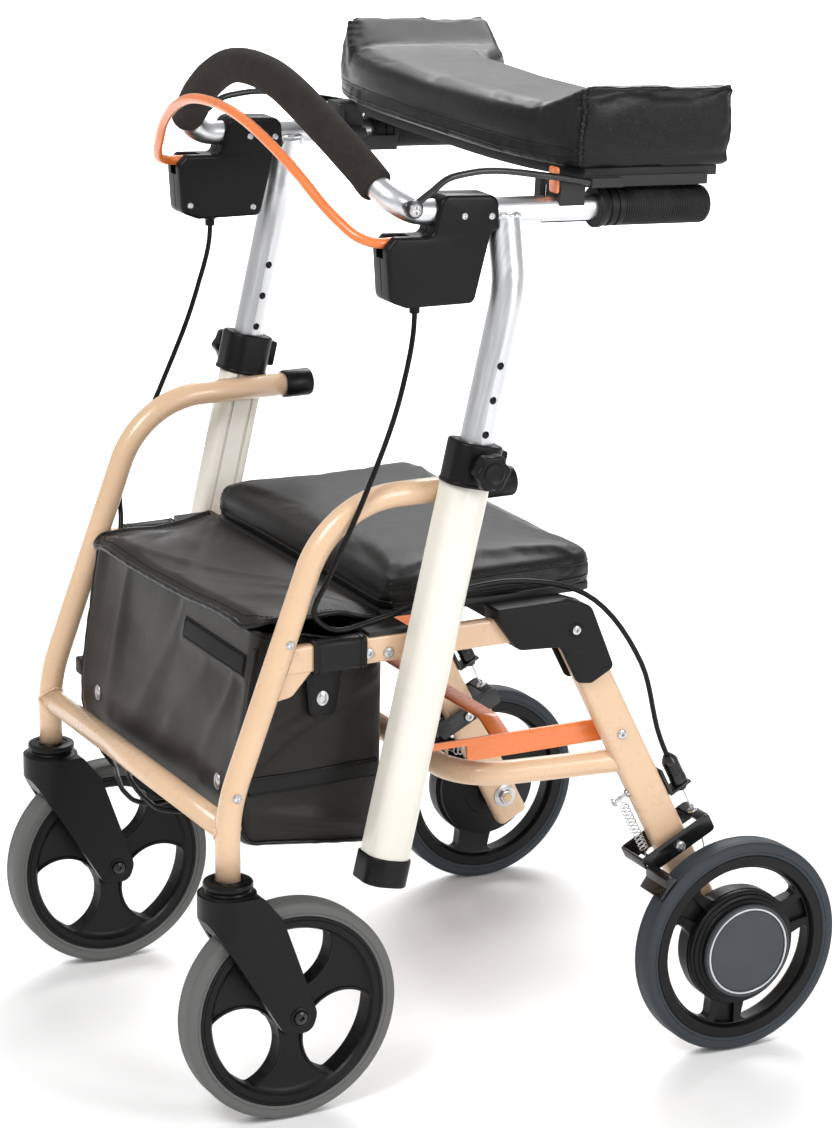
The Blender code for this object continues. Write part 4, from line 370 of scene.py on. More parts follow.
def linked(name, data):
    piece = bpy.data.objects.new(name, data)
    bpy.context.scene.collection.objects.link(piece)
    return piece


def cleaned(piece, merge=0.00002, flat=0.0, turnOut=True):
    only(piece)
    bpy.ops.object.mode_set(mode="EDIT")
    bpy.ops.mesh.select_all(action="SELECT")
    bpy.ops.mesh.remove_doubles(threshold=merge)
    if flat:
        bpy.ops.mesh.dissolve_limited(angle_limit=math.radians(flat))
    if turnOut:
        bpy.ops.mesh.normals_make_consistent(inside=False)
    bpy.ops.object.mode_set(mode="OBJECT")
    return piece


def meshed(piece, merge=0.00002, flat=0.0):
    # a curve made a mesh, its place in the mesh
    only(piece)
    bpy.ops.object.convert(target="MESH")
    return cleaned(settled(bpy.context.view_layer.objects.active), merge, flat)


def bentPath(corners, radii, step=4.0):
    # straight runs with a round bend at each inner corner
    corners = [Vector(corner) for corner in corners]
    points = [corners[0]]
    for before, corner, after, radius in zip(corners, corners[1:], corners[2:], radii):
        into, out = (before - corner).normalized(), (after - corner).normalized()
        half = into.angle(out) / 2
        reach = radius / math.tan(half)
        middle = corner + (into + out).normalized() * (radius / math.sin(half))
        start, end = corner + into * reach - middle, corner + out * reach - middle
        swept = math.pi - 2 * half
        count = max(2, round(math.degrees(swept) / step))
        for index in range(count + 1):
            share = index / count
            arm = start * math.sin((1 - share) * swept) + end * math.sin(share * swept)
            points.append(middle + arm / math.sin(swept))
    return points + [corners[-1]]


def smoothPath(knots, perSpan=8):
    # an even curve through knots that may stand unevenly
    knots = [Vector(knot) for knot in knots]
    gaps = [max((b - a).length, 1e-6) for a, b in zip(knots, knots[1:])]
    slopes = [(b - a) / gap for a, b, gap in zip(knots, knots[1:], gaps)]
    tangents = [slopes[0]]
    for index in range(1, len(knots) - 1):
        before, after = gaps[index - 1], gaps[index]
        tangents.append((slopes[index - 1] * after + slopes[index] * before) / (before + after))
    tangents.append(slopes[-1])
    points = []
    for index, gap in enumerate(gaps):
        a, b = knots[index], knots[index + 1]
        for step in range(perSpan):
            t = step / perSpan
            points.append(
                a * (2 * t**3 - 3 * t**2 + 1)
                + tangents[index] * gap * (t**3 - 2 * t**2 + t)
                + b * (3 * t**2 - 2 * t**3)
                + tangents[index + 1] * gap * (t**3 - t**2)
            )
    return points + [knots[-1]]


def lumpy(*waves):
    # a swell of sine waves, each with its height and pace
    return lambda t: 1 + sum(height * math.sin(pace * t) for height, pace in waves)


def makeTube(name, points, radius, rings=8, cyclic=False, swell=None):
    # a round bar along the points; swell gives each point its share of the radius
    path = bpy.data.curves.new(name, "CURVE")
    path.dimensions = "3D"
    path.bevel_depth = radius
    path.bevel_resolution = rings
    path.use_fill_caps = True
    line = path.splines.new("POLY")
    line.points.add(len(points) - 1)
    line.use_cyclic_u = cyclic
    for index, place in enumerate(points):
        line.points[index].co = (*place, 1)
        if swell:
            line.points[index].radius = swell(index / (len(points) - 1))
    return meshed(linked(name, path))


def makeLathe(name, profile, place, turns=96):
    # profile is (radius, height); it is spun about the place's Z
    sketch = bpy.data.meshes.new(name)
    sketch.from_pydata([(r, 0, h) for r, h in profile], [(i, i + 1) for i in range(len(profile) - 1)], [])
    piece = linked(name, sketch)
    only(piece)
    bpy.ops.object.mode_set(mode="EDIT")
    bpy.ops.mesh.select_all(action="SELECT")
    bpy.ops.mesh.spin(steps=turns, angle=math.tau, center=(0, 0, 0), axis=(0, 0, 1))
    bpy.ops.object.mode_set(mode="OBJECT")
    cleaned(piece).data.transform(place)
    return smooth(piece, 38)


def makeSlab(name, outlines, low, high, place, soft=0.0, segments=2, angle=40):
    # a flat outline, with any holes after it, given its thickness along the place's Z
    sketch = bpy.data.curves.new(name, "CURVE")
    sketch.dimensions = "2D"
    sketch.fill_mode = "BOTH"
    sketch.extrude = (high - low) / 2
    for outline in outlines:
        line = sketch.splines.new("POLY")
        line.points.add(len(outline) - 1)
        line.use_cyclic_u = True
        for point, spot in zip(line.points, outline):
            point.co = (spot[0], spot[1], 0, 1)
    piece = linked(name, sketch)
    piece.matrix_world = place @ Matrix.Translation((0, 0, (low + high) / 2))
    piece = meshed(piece, flat=0.5)
    if soft:
        eased(piece, soft, segments, angle)
    return smooth(piece, 38)


def eased(piece, width, segments=2, angle=35):
    # rounds the edges that are sharper than the angle
    return smooth(applied(piece, "BEVEL", width=width, segments=segments, **sharpOver(angle)), 38)


def carved(piece, *tools, operation="DIFFERENCE"):
    for tool in tools:
        applied(piece, "BOOLEAN", object=tool, operation=operation, solver="EXACT")
        bpy.data.objects.remove(tool)
    return smooth(piece, 38)


def welded(piece, *others):
    return carved(piece, *others, operation="UNION")


def turnedBy(piece, place):
    piece.data.transform(place)
    if place.determinant() < 0:
        piece.data.flip_normals()
    return piece


def makeBlock(name, low, high, soft=0.0, segments=2):
    middle = [(a + b) / 2 for a, b in zip(low, high)]
    bpy.ops.object.select_all(action="DESELECT")
    bpy.ops.mesh.primitive_cube_add(size=1, location=middle, scale=[b - a for a, b in zip(low, high)])
    piece = settled(bpy.context.active_object)
    piece.name = name
    return eased(piece, soft, segments) if soft else piece


def makeRod(name, start, end, radius, turns=32, soft=0.0, segments=2):
    start, end = Vector(start), Vector(end)
    bpy.ops.object.select_all(action="DESELECT")
    bpy.ops.mesh.primitive_cylinder_add(vertices=turns, radius=radius, depth=(end - start).length)
    piece = bpy.context.active_object
    piece.name = name
    if soft:
        eased(piece, soft, segments, 60)
    turn = (end - start).to_track_quat("Z", "Y").to_matrix().to_4x4()
    piece.data.transform(Matrix.Translation((start + end) / 2) @ turn)
    return smooth(piece, 38)


def circle(radius, turns=48, centre=(0, 0)):
    spots = (math.tau * index / turns for index in range(turns))
    return [(centre[0] + radius * math.cos(a), centre[1] + radius * math.sin(a)) for a in spots]


def arcOf(radius, start, end, count, centre=(0, 0)):
    spots = (math.radians(start + (end - start) * index / (count - 1)) for index in range(count))
    return [(centre[0] + radius * math.cos(a), centre[1] + radius * math.sin(a)) for a in spots]


def roundedOutline(corners, radii, step=10.0):
    if not isinstance(radii, (list, tuple)):
        radii = [radii] * len(corners)
    corners = [Vector((*corner, 0)) for corner in corners]
    points = []
    for index, corner in enumerate(corners):
        before, after = corners[index - 1], corners[(index + 1) % len(corners)]
        if radii[index]:
            points += [(p.x, p.y) for p in bentPath([before, corner, after], [radii[index]], step)[1:-1]]
        else:
            points.append((corner.x, corner.y))
    return points


def boxOutline(halfX, halfY, radius, centre=(0, 0), step=10.0):
    x, y = centre
    corners = [(x - halfX, y - halfY), (x + halfX, y - halfY), (x + halfX, y + halfY), (x - halfX, y + halfY)]
    return roundedOutline(corners, radius, step)


def alongX(x, y, z):
    return Matrix.Translation((x, y, z)) @ Matrix.Rotation(math.pi / 2, 4, "Y")


def facing(place, direction):
    # a matrix whose Z points in the direction
    return Matrix.Translation(place) @ Vector(direction).to_track_quat("Z", "Y").to_matrix().to_4x4()


def bothSides(piece, node, finish=None, *others):
    # the left piece and its mirror copy on the right
    right = mirrored(piece, "right")
    left = fitted(piece, node + "_left", finish, *[other + "_left" for other in others])
    return left, fitted(right, node + "_right", finish, *[other + "_right" for other in others])


def added(piece, name, body, finish, slot=None):
    # a piece that stands for no node of its own
    piece.name = name + "_look"
    worn(piece, finish)
    slot or finish
    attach(piece, body)
    return piece


sidePlane = Matrix(((0, 0, 1, 0), (1, 0, 0, 0), (0, 1, 0, 0), (0, 0, 0, 1)))  # (y, z), depth along +X
crossPlane = Matrix(((1, 0, 0, 0), (0, 0, -1, 0), (0, 1, 0, 0), (0, 0, 0, 1)))  # (x, z), depth along -Y


# the studio


camera = {
    "focal": 3790.73,
    "width": 837,
    "place": (2.98608, -1.52162, 1.39472),
    "right": (0.455391, 0.890256, 0.008016),
    "up": (-0.251534, 0.120019, 0.960378),
    "back": (0.85402, -0.439364, 0.278585),
}


def makeCamera():
    lens = bpy.data.cameras.new("photoCamera")
    lens.sensor_fit = "HORIZONTAL"
    lens.sensor_width = 36.0
    lens.lens = 36.0 * camera["focal"] / camera["width"]
    lens.clip_end = 40.0
    eye = bpy.data.objects.new("photoCamera", lens)
    turn = Matrix((camera["right"], camera["up"], camera["back"])).transposed().to_4x4()
    eye.matrix_world = Matrix.Translation(camera["place"]) @ turn
    bpy.context.scene.collection.objects.link(eye)
    bpy.context.scene.camera = eye


def makeLight(name, place, aim, size, power, mirrored=True):
    lamp = bpy.data.lights.new(name, "AREA")
    lamp.shape = "RECTANGLE"
    lamp.size, lamp.size_y = size
    lamp.energy = power
    holder = bpy.data.objects.new(name, lamp)
    turn = (Vector(aim) - Vector(place)).to_track_quat("-Z", "Y").to_matrix().to_4x4()
    holder.matrix_world = Matrix.Translation(place) @ turn
    holder.visible_glossy = mirrored  # a light over the floor doesn't show in the vinyl
    bpy.context.scene.collection.objects.link(holder)


def makeStudio():
    world = bpy.data.worlds.new("studio")
    world.use_nodes = True
    world.node_tree.nodes["Background"].inputs["Color"].default_value = (1.0, 1.0, 1.0, 1.0)
    world.node_tree.nodes["Background"].inputs["Strength"].default_value = 0.52
    bpy.context.scene.world = world
    bpy.context.scene.view_settings.view_transform = "Standard"
    makeLight("keyLight", (1.6, -2.2, 3.2), (0, 0, 0.45), (1.3, 1.3), 84)
    makeLight("sideLight", (3.4, 1.5, 1.8), (0, 0, 0.5), (0.9, 2.0), 52)
    makeLight("backLight", (-2.4, 1.8, 2.6), (0, 0, 0.5), (1.8, 1.2), 56)
    makeLight("floorLight", (-4.6, 2.4, 3.0), (-4.6, 2.4, 0), (5.0, 5.0), 420, False)
    makeLight("farLight", (-9.0, 4.6, 3.4), (-9.0, 4.6, 0), (6.0, 6.0), 620, False)
    only(nodes["front_frame"])
    bpy.ops.object.select_all(action="DESELECT")
    bpy.ops.mesh.primitive_plane_add(size=44, location=(0, 0, -0.0006))
    floor = bpy.context.active_object
    floor.name = "floor"
    settled(floor)
    finish = Finish("floorPaint", Roughness=0.75)
    tone = finish.noise(1.3, 3.0).spread(0.3, 0.7)
    finish.set(Base_Color=finish.mix(tone, (0.9, 0.9, 0.9), (0.92, 0.92, 0.92)))
    worn(floor, finish.material)


makeCamera()
makeStudio()
print("studio made")


# screws, modelled once and copied


def makeBolt(radius, height, socket):
    # a domed head with a six-sided socket, standing on z = 0
    profile = [
        (0, 0), (radius, 0), (radius, height * 0.35), (radius * 0.93, height * 0.72),
        (radius * 0.72, height * 0.95), (radius * 0.45, height), (0, height),
    ]
    head = makeLathe("bolt", profile, Matrix.Identity(4), 28)
    carved(head, makeRod("socket", (0, 0, height * 0.3), (0, 0, height * 2), socket, 6))
    return eased(head, radius * 0.04, 1, 50)


def makeCrossScrew(radius, height):
    # a round head with a cross slot
    profile = [(0, 0), (radius, 0), (radius * 0.96, height * 0.5), (radius * 0.7, height * 0.9), (0, height)]
    head = makeLathe("screw", profile, Matrix.Identity(4), 24)
    long, thin = radius * 0.6, radius * 0.12
    for turn in (0, math.pi / 2):
        slot = makeBlock("slot", (-long, -thin, height * 0.4), (long, thin, height * 2))
        carved(head, turnedBy(slot, Matrix.Rotation(turn, 4, "Z")))
    return head


bolt = makeBolt(1.0, 0.55, 0.42)
crossScrew = makeCrossScrew(1.0, 0.45)


def studs(name, shape, body, finish, places):
    # copies of one head; each place is (centre, direction, radius)
    heads = []
    for centre, direction, radius in places:
        heads.append(turnedBy(copyOf(shape, name), facing(centre, direction) @ Matrix.Scale(radius, 4)))
    return added(smooth(joined(name, *heads), 30), name, body, finish)


def sided(body, side):
    # the body of this side, or the one body that both sides share
    return body + "_" + side if body + "_" + side in bodies else body


def sidedStuds(name, shape, body, finish, places):
    # the same heads on the left and, mirrored, on the right
    for side, sign in sides:
        there = [((sign * x, y, z), (sign * a, b, c), r) for (x, y, z), (a, b, c), r in places]
        studs(name + "_" + side, shape, sided(body, side), finish, there)


def bothAdded(piece, name, body, finish, slot=None):
    # a left piece and its mirror copy, standing for no node
    for side, twin in (("right", mirrored(piece, name)), ("left", piece)):
        added(twin, name + "_" + side, sided(body, side), finish, slot)


# wheels


wheels = {
    "radius": 0.1,
    "front": (0.2035, -0.2155),
    "rear": (0.247, 0.2155),
    "frontWidth": 0.027,
    "rearWidth": 0.0255,
    "seat": 0.0877,
    "shoulder": 0.005,
    "axleHeight": 0.1,
}


def wheelPlace(which):
    # where this pair's left wheel is spun about its axle
    return alongX(*wheels[which], wheels["axleHeight"])


def makeTyre(which, finish):
    outer, half, edge, seat = wheels["radius"], wheels[which + "Width"] / 2, wheels["shoulder"], wheels["seat"]
    turns = [math.radians(turn) for turn in range(0, 91, 15)]
    corner = [(outer - edge + edge * math.sin(turn), half - edge + edge * math.cos(turn)) for turn in turns]
    dips = ((0.0001, 0.0012), (0.0006, 0.0017), (0.0001, 0.0022))
    groove = [(outer - drop, half - edge - step) for drop, step in dips]
    wall = [(seat, half - 0.0012), (seat + 0.001, half - 0.0004), (seat + 0.0024, half - 0.0003)]
    right = wall + [(seat + 0.003, half - 0.0007), (seat + 0.0036, half)] + corner + groove
    profile = right + [(r, -h) for r, h in reversed(right)] + right[:1]
    tyre = makeLathe("tyre", profile, wheelPlace(which), 128)
    bothSides(smooth(tyre, 28), which + "_tyre", finish)


def spokeWindow(middle, hole, rim, corner):
    # a round hole cut off by the rim, with small round corners where the two meet
    cornerX = ((rim - corner) ** 2 - (hole - corner) ** 2 + middle**2) / (2 * middle)
    place = Vector((cornerX, math.sqrt((rim - corner) ** 2 - cornerX**2)))
    rimTurn, holeTurn = math.atan2(place.y, place.x), math.atan2(place.y, place.x - middle)
    half = [(rim * math.cos(a), rim * math.sin(a)) for a in (rimTurn * step / 14 for step in range(14))]
    half += bowed(place, corner, rimTurn, holeTurn, 8)
    half += bowed(Vector((middle, 0)), hole, holeTurn, math.pi, 26)[1:]
    return half + [(x, -y) for x, y in reversed(half[1:-1])]


def wedgeWindow(inner, outer, spread, narrowing, rimCorner, hubCorner):
    # an arc by the rim and one by the hub, straight sides, and round corners that touch both
    wide, narrow = math.radians(spread), math.radians(spread - narrowing)
    start = Vector((outer * math.cos(wide), outer * math.sin(wide)))
    along = (Vector((inner * math.cos(narrow), inner * math.sin(narrow))) - start).normalized()
    inward = Vector((along.y, -along.x))
    if inward.y > 0:
        inward = -inward
    corners = []
    for radius, reach in ((rimCorner, outer - rimCorner), (hubCorner, inner + hubCorner)):
        base = start + inward * radius
        lean = base.dot(along)
        root = math.sqrt(lean**2 - base.length_squared + reach**2)
        corners.append(base - along * (lean + root))
    rim, hub = corners
    rimTurn, hubTurn = math.atan2(rim.y, rim.x), math.atan2(hub.y, hub.x)
    sideTurn = math.atan2(-inward.y, -inward.x)
    half = [(outer * math.cos(a), outer * math.sin(a)) for a in (rimTurn * step / 14 for step in range(14))]
    half += bowed(rim, rimCorner, rimTurn, sideTurn, 14)
    half += bowed(hub, hubCorner, sideTurn, hubTurn + math.pi, 12)
    half += [(inner * math.cos(a), inner * math.sin(a)) for a in (hubTurn * step / 6 for step in range(5, -1, -1))]
    return half + [(x, -y) for x, y in reversed(half[1:-1])]


def bowed(centre, radius, start, end, count):
    # points of an arc about a centre, from one angle up to the other
    return [
        (centre.x + radius * math.cos(a), centre.y + radius * math.sin(a))
        for a in (start + (end - start) * step / count for step in range(count + 1))
    ]


def grown(outline, step):
    # the same outline, each point moved outwards by the step
    points = [Vector(point) for point in outline]
    area = sum(a.cross(b) for a, b in zip(points, points[1:] + points[:1]))
    side = 1 if area > 0 else -1
    moved = []
    for before, here, after in zip(points[-1:] + points[:-1], points, points[1:] + points[:1]):
        into, out = (here - before).normalized(), (after - here).normalized()
        normal = Vector((into.y + out.y, -into.x - out.x)).normalized() * side
        moved.append(tuple(here + normal * step / max(0.5, normal.dot(Vector((out.y, -out.x)) * side))))
    return moved


frontWheel = {
    "hub": 0.016,
    "web": 0.0072,
    "bead": 0.009,
    "beadWidth": 0.0026,
    "rimInner": 0.0775,
    "first": 210,
}


def makeFrontWheel():
    boss, web, rim = frontWheel["hub"], frontWheel["web"], frontWheel["rimInner"]
    x, y = wheels["front"]
    half = wheels["frontWidth"] / 2 - 0.001
    right = [
        (0.015, boss), (0.0175, boss - 0.001), (0.0195, web + 0.004), (0.0225, web + 0.001), (0.025, web),
        (rim - 0.006, web), (rim - 0.0022, web + 0.0012), (rim, half - 0.001), (rim + 0.001, half), (0.0838, half),
        (0.0842, half - 0.0006), (0.0848, half - 0.0006), (0.0852, half), (0.087, half), (0.0875, half - 0.0008),
    ]
    profile = [(0.0054, boss), *right, *[(r, -h) for r, h in reversed(right)], (0.0054, -boss), (0.0054, boss)]
    wheel = makeLathe("wheel", profile, wheelPlace("front"))
    opening = spokeWindow(0.0575, 0.0385, rim - 0.0015, 0.0065)
    bead = grown(opening, frontWheel["beadWidth"])
    turns = [Matrix.Rotation(math.radians(frontWheel["first"] + 120 * index), 4, "X") for index in range(3)]
    hub = Matrix.Translation((x, y, wheels["axleHeight"]))
    carved(wheel, *[makeSlab("window", [opening], -0.03, 0.03, hub @ turn @ sidePlane) for turn in turns])
    eased(wheel, 0.0006, 2, 50)
    beads = []
    for turn in turns:
        ring = makeSlab("bead", [bead, opening], -frontWheel["bead"], frontWheel["bead"], hub @ turn @ sidePlane)
        low, high = (x - 0.02, y, wheels["axleHeight"]), (x + 0.02, y, wheels["axleHeight"])
        carved(ring, makeRod("limit", low, high, 0.0784, 96), operation="INTERSECT")
        beads.append(eased(ring, 0.0009, 2, 50))
    bothSides(joined("wheel", wheel, *beads), "front_wheel")


rearWheel = {
    "web": 0.006,
    "outerHub": 0.0197,
    "innerHub": 0.0297,
    "drum": 0.052,
    "rimInner": 0.0775,
    "first": 80,
}


def makeRearWheel():
    web, rim, out, inner = (rearWheel[key] for key in ("web", "rimInner", "outerHub", "innerHub"))
    x, y = wheels["rear"]
    half = wheels["rearWidth"] / 2 - 0.0008
    right = [
        (0.043, out), (0.0436, out - 0.0005), (0.0438, out - 0.0022), (0.047, out - 0.0025), (0.0475, out - 0.003),
        (0.0478, out - 0.0046), (0.0506, out - 0.005), (0.0511, out - 0.0055), (0.0514, out - 0.0072),
        (0.0535, out - 0.0076), (0.054, out - 0.0082), (0.0542, web), (rim - 0.003, web),
        (rim - 0.0016, web + 0.0008), (rim, half - 0.0008), (rim + 0.0008, half), (0.087, half),
        (0.0875, half - 0.0006),
    ]
    left = [
        (0.0875, -half + 0.0006), (0.087, -half), (rim + 0.0008, -half), (rim, -half + 0.0008),
        (rim - 0.0016, -web - 0.0008), (rim - 0.003, -web), (0.053, -web), (0.0522, -web - 0.0008),
        (0.052, -0.0138), (0.0505, -0.015), (0.03, -0.019), (0.029, -0.0205), (0.017, -0.0225), (0.016, -0.024),
        (0.016, -inner), (0.0054, -inner),
    ]
    recess = [(0.0054, out - 0.006), (0.035, out - 0.006), (0.035, out)]
    wheel = makeLathe("wheel", recess + right + left + recess[:1], wheelPlace("rear"))
    opening = wedgeWindow(rearWheel["drum"] + 0.003, rim - 0.003, 47, 6, 0.0045, 0.0045)
    hub = Matrix.Translation((x, y, wheels["axleHeight"]))
    channel = arcOf(0.053, -7.6, 7.6, 5) + arcOf(0.0752, 8.2, -8.2, 5)
    for index in range(3):
        turn = math.radians(rearWheel["first"] + 120 * index)
        spin = hub @ Matrix.Rotation(turn, 4, "X") @ sidePlane
        between = hub @ Matrix.Rotation(turn + math.pi / 3, 4, "X") @ sidePlane
        window = makeSlab("window", [opening], -0.03, 0.03, spin)
        hollow = makeSlab("hollow", [channel], web - 0.0045, 0.011, between)
        carved(wheel, window, hollow)
    eased(wheel, 0.0006, 2, 50)
    bothSides(wheel, "rear_wheel")


hubCap = {"radius": 0.044, "face": 0.0232, "silver": 0.0402}


def makeHubCap():
    outer, face, silver = hubCap["radius"], hubCap["face"], hubCap["silver"]
    profile = [
        (0, face - 0.0004), (silver - 0.0022, face - 0.0004), (silver - 0.0016, face - 0.0009),
        (silver - 0.001, face - 0.0009), (silver + 0.001, face - 0.0009), (silver + 0.0014, face + 0.0006),
        (outer - 0.0014, face + 0.0008), (outer - 0.0004, face + 0.0002), (outer, face - 0.0012), (outer, 0.02),
        (0.0347, 0.02), (0.0347, 0.0165), (0, 0.0165),
    ]
    bothSides(makeLathe("hubCap", profile, wheelPlace("rear")), "hub_cap")
    band = [
        (silver - 0.001, face - 0.0011), (silver - 0.001, face + 0.0004), (silver - 0.0005, face + 0.0008),
        (silver + 0.0005, face + 0.0008), (silver + 0.001, face + 0.0004), (silver + 0.001, face - 0.0011),
        (silver - 0.001, face - 0.0011),
    ]
    bothAdded(makeLathe("hubRing", band, wheelPlace("rear")), "hubRing", "rear_wheel", "zinc")


makeTyre("front", "light_tyre")
makeTyre("rear", "dark_tyre")
makeFrontWheel()
makeRearWheel()
makeHubCap()
print("wheels made")


# caster forks


fork = {
    "stem": (0.2035, -0.2713),
    "half": 0.0268,
    "wheelRoom": 0.105,
    "innerHalf": 0.0172,
    "top": 0.2277,
    "edge": 0.0042,
}


def makeFork():
    x, stemY = fork["stem"]
    axleY = wheels["front"][1]
    half = fork["half"]
    outline = roundedOutline(
        [
            (stemY - half - 0.01, 0.2165), (stemY + 0.0215, 0.2165), (stemY + 0.0403, 0.193),
            (axleY + 0.017, 0.101), (axleY + 0.0115, 0.085), (axleY - 0.0135, 0.085), (stemY - 0.0247, 0.195),
            (stemY - half - 0.01, 0.2),
        ],
        [0, 0.006, 0.022, 0.014, 0.011, 0.012, 0.006, 0],
        6,
    )
    body = makeSlab("fork", [outline], x - half - 0.003, x + half + 0.003, sidePlane)
    hood = arcOf(half, 202.5, 337.5, 25, (x, stemY))
    plan = [(x - half, axleY + 0.05), (x - half, stemY)] + hood + [(x + half, stemY), (x + half, axleY + 0.05)]
    carved(body, makeSlab("plan", [plan], 0.05, 0.25, Matrix.Identity(4)), operation="INTERSECT")
    axleZ = wheels["axleHeight"]
    low, high = (x - fork["innerHalf"], axleY, axleZ), (x + fork["innerHalf"], axleY, axleZ)
    carved(body, makeRod("room", low, high, fork["wheelRoom"], 96))
    eased(cleaned(body, 0.00004), fork["edge"], 4, 32)
    top = fork["top"]
    collar = [
        (0, top), (0.0118, top), (0.0125, top - 0.0012), (0.0145, top - 0.0012), (0.0152, top), (0.02, top),
        (0.0214, top - 0.0008), (0.0219, top - 0.002), (0.0219, top - 0.0048), (0.0212, top - 0.006),
        (0.02, top - 0.0066), (0.0197, top - 0.0078), (0.0204, top - 0.0092), (0.024, top - 0.0104),
        (0.0249, top - 0.0114), (0.025, top - 0.015), (0.0244, top - 0.0162), (0, top - 0.0162),
    ]
    ring = makeLathe("collar", collar, Matrix.Translation((x, stemY, 0)), 64)
    stem = makeRod("stem", (x, stemY, top - 0.004), (x, stemY, top + 0.04), 0.0058, 32)
    rim = [(0, 0), (0.0092, 0), (0.0092, 0.0008), (0.0084, 0.0013), (0.0072, 0.0013), (0.0068, 0.0004), (0, 0.0004)]
    places = [facing((x + side * (half - 0.0002), axleY, axleZ), (side, 0, 0)) for side in (1, -1)]
    whole = joined("fork", body, ring, stem, *[makeLathe("rim", rim, place, 48) for place in places])
    bothSides(smooth(whole, 34), "caster_fork")


makeFork()
axle = (wheels["front"][1], wheels["axleHeight"])
ends = [((fork["stem"][0] + way * fork["half"], *axle), (way, 0, 0), 0.0062) for way in (1, -1)]
sidedStuds("forkBolt", bolt, "caster", "black_steel", ends)
print("forks made")


# the tan front frame


frontFrame = {
    "x": 0.2035,
    "radius": 0.011,
    "corners": [(-0.2713, 0.228), (-0.2713, 0.291), (-0.1739, 0.5515), (-0.002, 0.5515)],
    "bends": [0.15, 0.09],
    "crossbar": 0.272,
    "bead": 0.0017,
}


def weldBead(count, point, radius, lumps):
    # a closed seam of weld metal, slightly lumpy; point gives its place at a turn
    points = [point(math.tau * step / count) for step in range(count)]
    return makeTube("bead", points, radius, 4, True, lambda t: 1 + 0.16 * math.sin(lumps * math.tau * t))


def makeFrontFrame():
    x, radius, barZ, corners = (frontFrame[key] for key in ("x", "radius", "crossbar", "corners"))
    barY, reach = corners[0][0], radius + 0.0002
    paths = [bentPath([(side * x, y, z) for y, z in corners], frontFrame["bends"], 2.5) for side in (1, -1)]
    left, right = [makeTube("front", path, radius, 14) for path in paths]
    bar = makeTube("bar", [(x, barY, barZ), (-x, barY, barZ)], radius, 14)
    fitted(joined("frame", left, bar, right), "front_frame")
    beads = []
    for side in (1, -1):

        def point(turn):
            rise, along = math.sin(turn) * reach, math.cos(turn) * reach
            return side * (x - radius * abs(math.sin(turn))), barY + along, barZ + rise

        beads.append(weldBead(120, point, frontFrame["bead"], 24))
    added(joined("weld", *beads), "frameWeld", "base", "tan_paint")
    cup = [(0, 0.0022), (0.0112, 0.0022), (0.0126, 0.0014), (0.0132, 0.0), (0.0132, -0.0248), (0.0128, -0.0258)]
    cup += [(0.0114, -0.0258), (0.0114, -0.001), (0, -0.001)]
    bothSides(makeLathe("cap", cup, facing((x, *corners[-1]), (0, 1, 0)), 48), "tube_end_cap")


makeFrontFrame()
print("front frame made")


# side rails, gussets and corner brackets


rail = {
    "x": 0.2035,
    "z": 0.417,
    "rear": 0.03,
    "half": (0.006, 0.012),
    "lean": math.radians(20.5),
}


def frontTubeY(z):
    startY, startZ = frontFrame["corners"][1]
    return startY + (z - startZ) * math.tan(rail["lean"])


def makeRail():
    x, z = rail["x"], rail["z"]
    tubeY = frontTubeY(z)
    section = boxOutline(rail["half"][0], rail["half"][1], 0.003, (x, z))
    bar = makeSlab("rail", [section], -rail["rear"], -tubeY, crossPlane)
    low = z - rail["half"][1]
    web = [(0, 0.004), (-0.012, -0.024), (0.012, -0.02), (0.034, 0.004)]
    web = roundedOutline([(tubeY + y, low + h) for y, h in web], [0, 0, 0.01, 0], 6)
    gusset = makeSlab("gusset", [web], x - 0.0045, x + 0.0045, sidePlane, 0.0018, 3)
    columnY = -0.0575 + (z - 0.569) * math.tan(math.radians(12.9))  # where the column's middle passes the rail
    boss = makeRod("boss", (x, columnY, z), (0.2145, columnY, z), 0.0095, 40)
    welded(bar, gusset, boss)
    path = bentPath([(x, y, h) for y, h in frontFrame["corners"]], frontFrame["bends"], 5)
    carved(bar, makeTube("clearance", path, frontFrame["radius"] + 0.0003, 10))
    bothSides(smooth(bar, 34), "side_rail")


makeRail()
railBolts = [((0.2095, y, z), (1, 0, 0), 0.005) for y, z in ((-0.1404, 0.415), (-0.1216, 0.4135))]
tubeScrews = [((0.2143, -0.267, 0.304), (1, 0, 0), 0.0042), ((0.2143, -0.2168, 0.434), (1, 0, 0), 0.004)]
sidedStuds("railBolts", bolt, "base", "zinc", railBolts)
sidedStuds("tubeScrews", crossScrew, "base", "zinc", tubeScrews)


bracket = {
    "outline": [
        (-0.02, 0.44), (-0.0185, 0.428), (0.002, 0.4), (0.044, 0.3975), (0.062, 0.362), (0.076, 0.36),
        (0.099, 0.372), (0.0745, 0.432), (0.052, 0.44),
    ],
    "radii": [0.002, 0.01, 0.01, 0.008, 0.007, 0.006, 0.006, 0.012, 0.012],
    "pin": (0.0585, 0.412),
    "inner": 0.1957,
    "outer": 0.2143,
    "wall": 0.0042,
    "web": 0.0065,
}


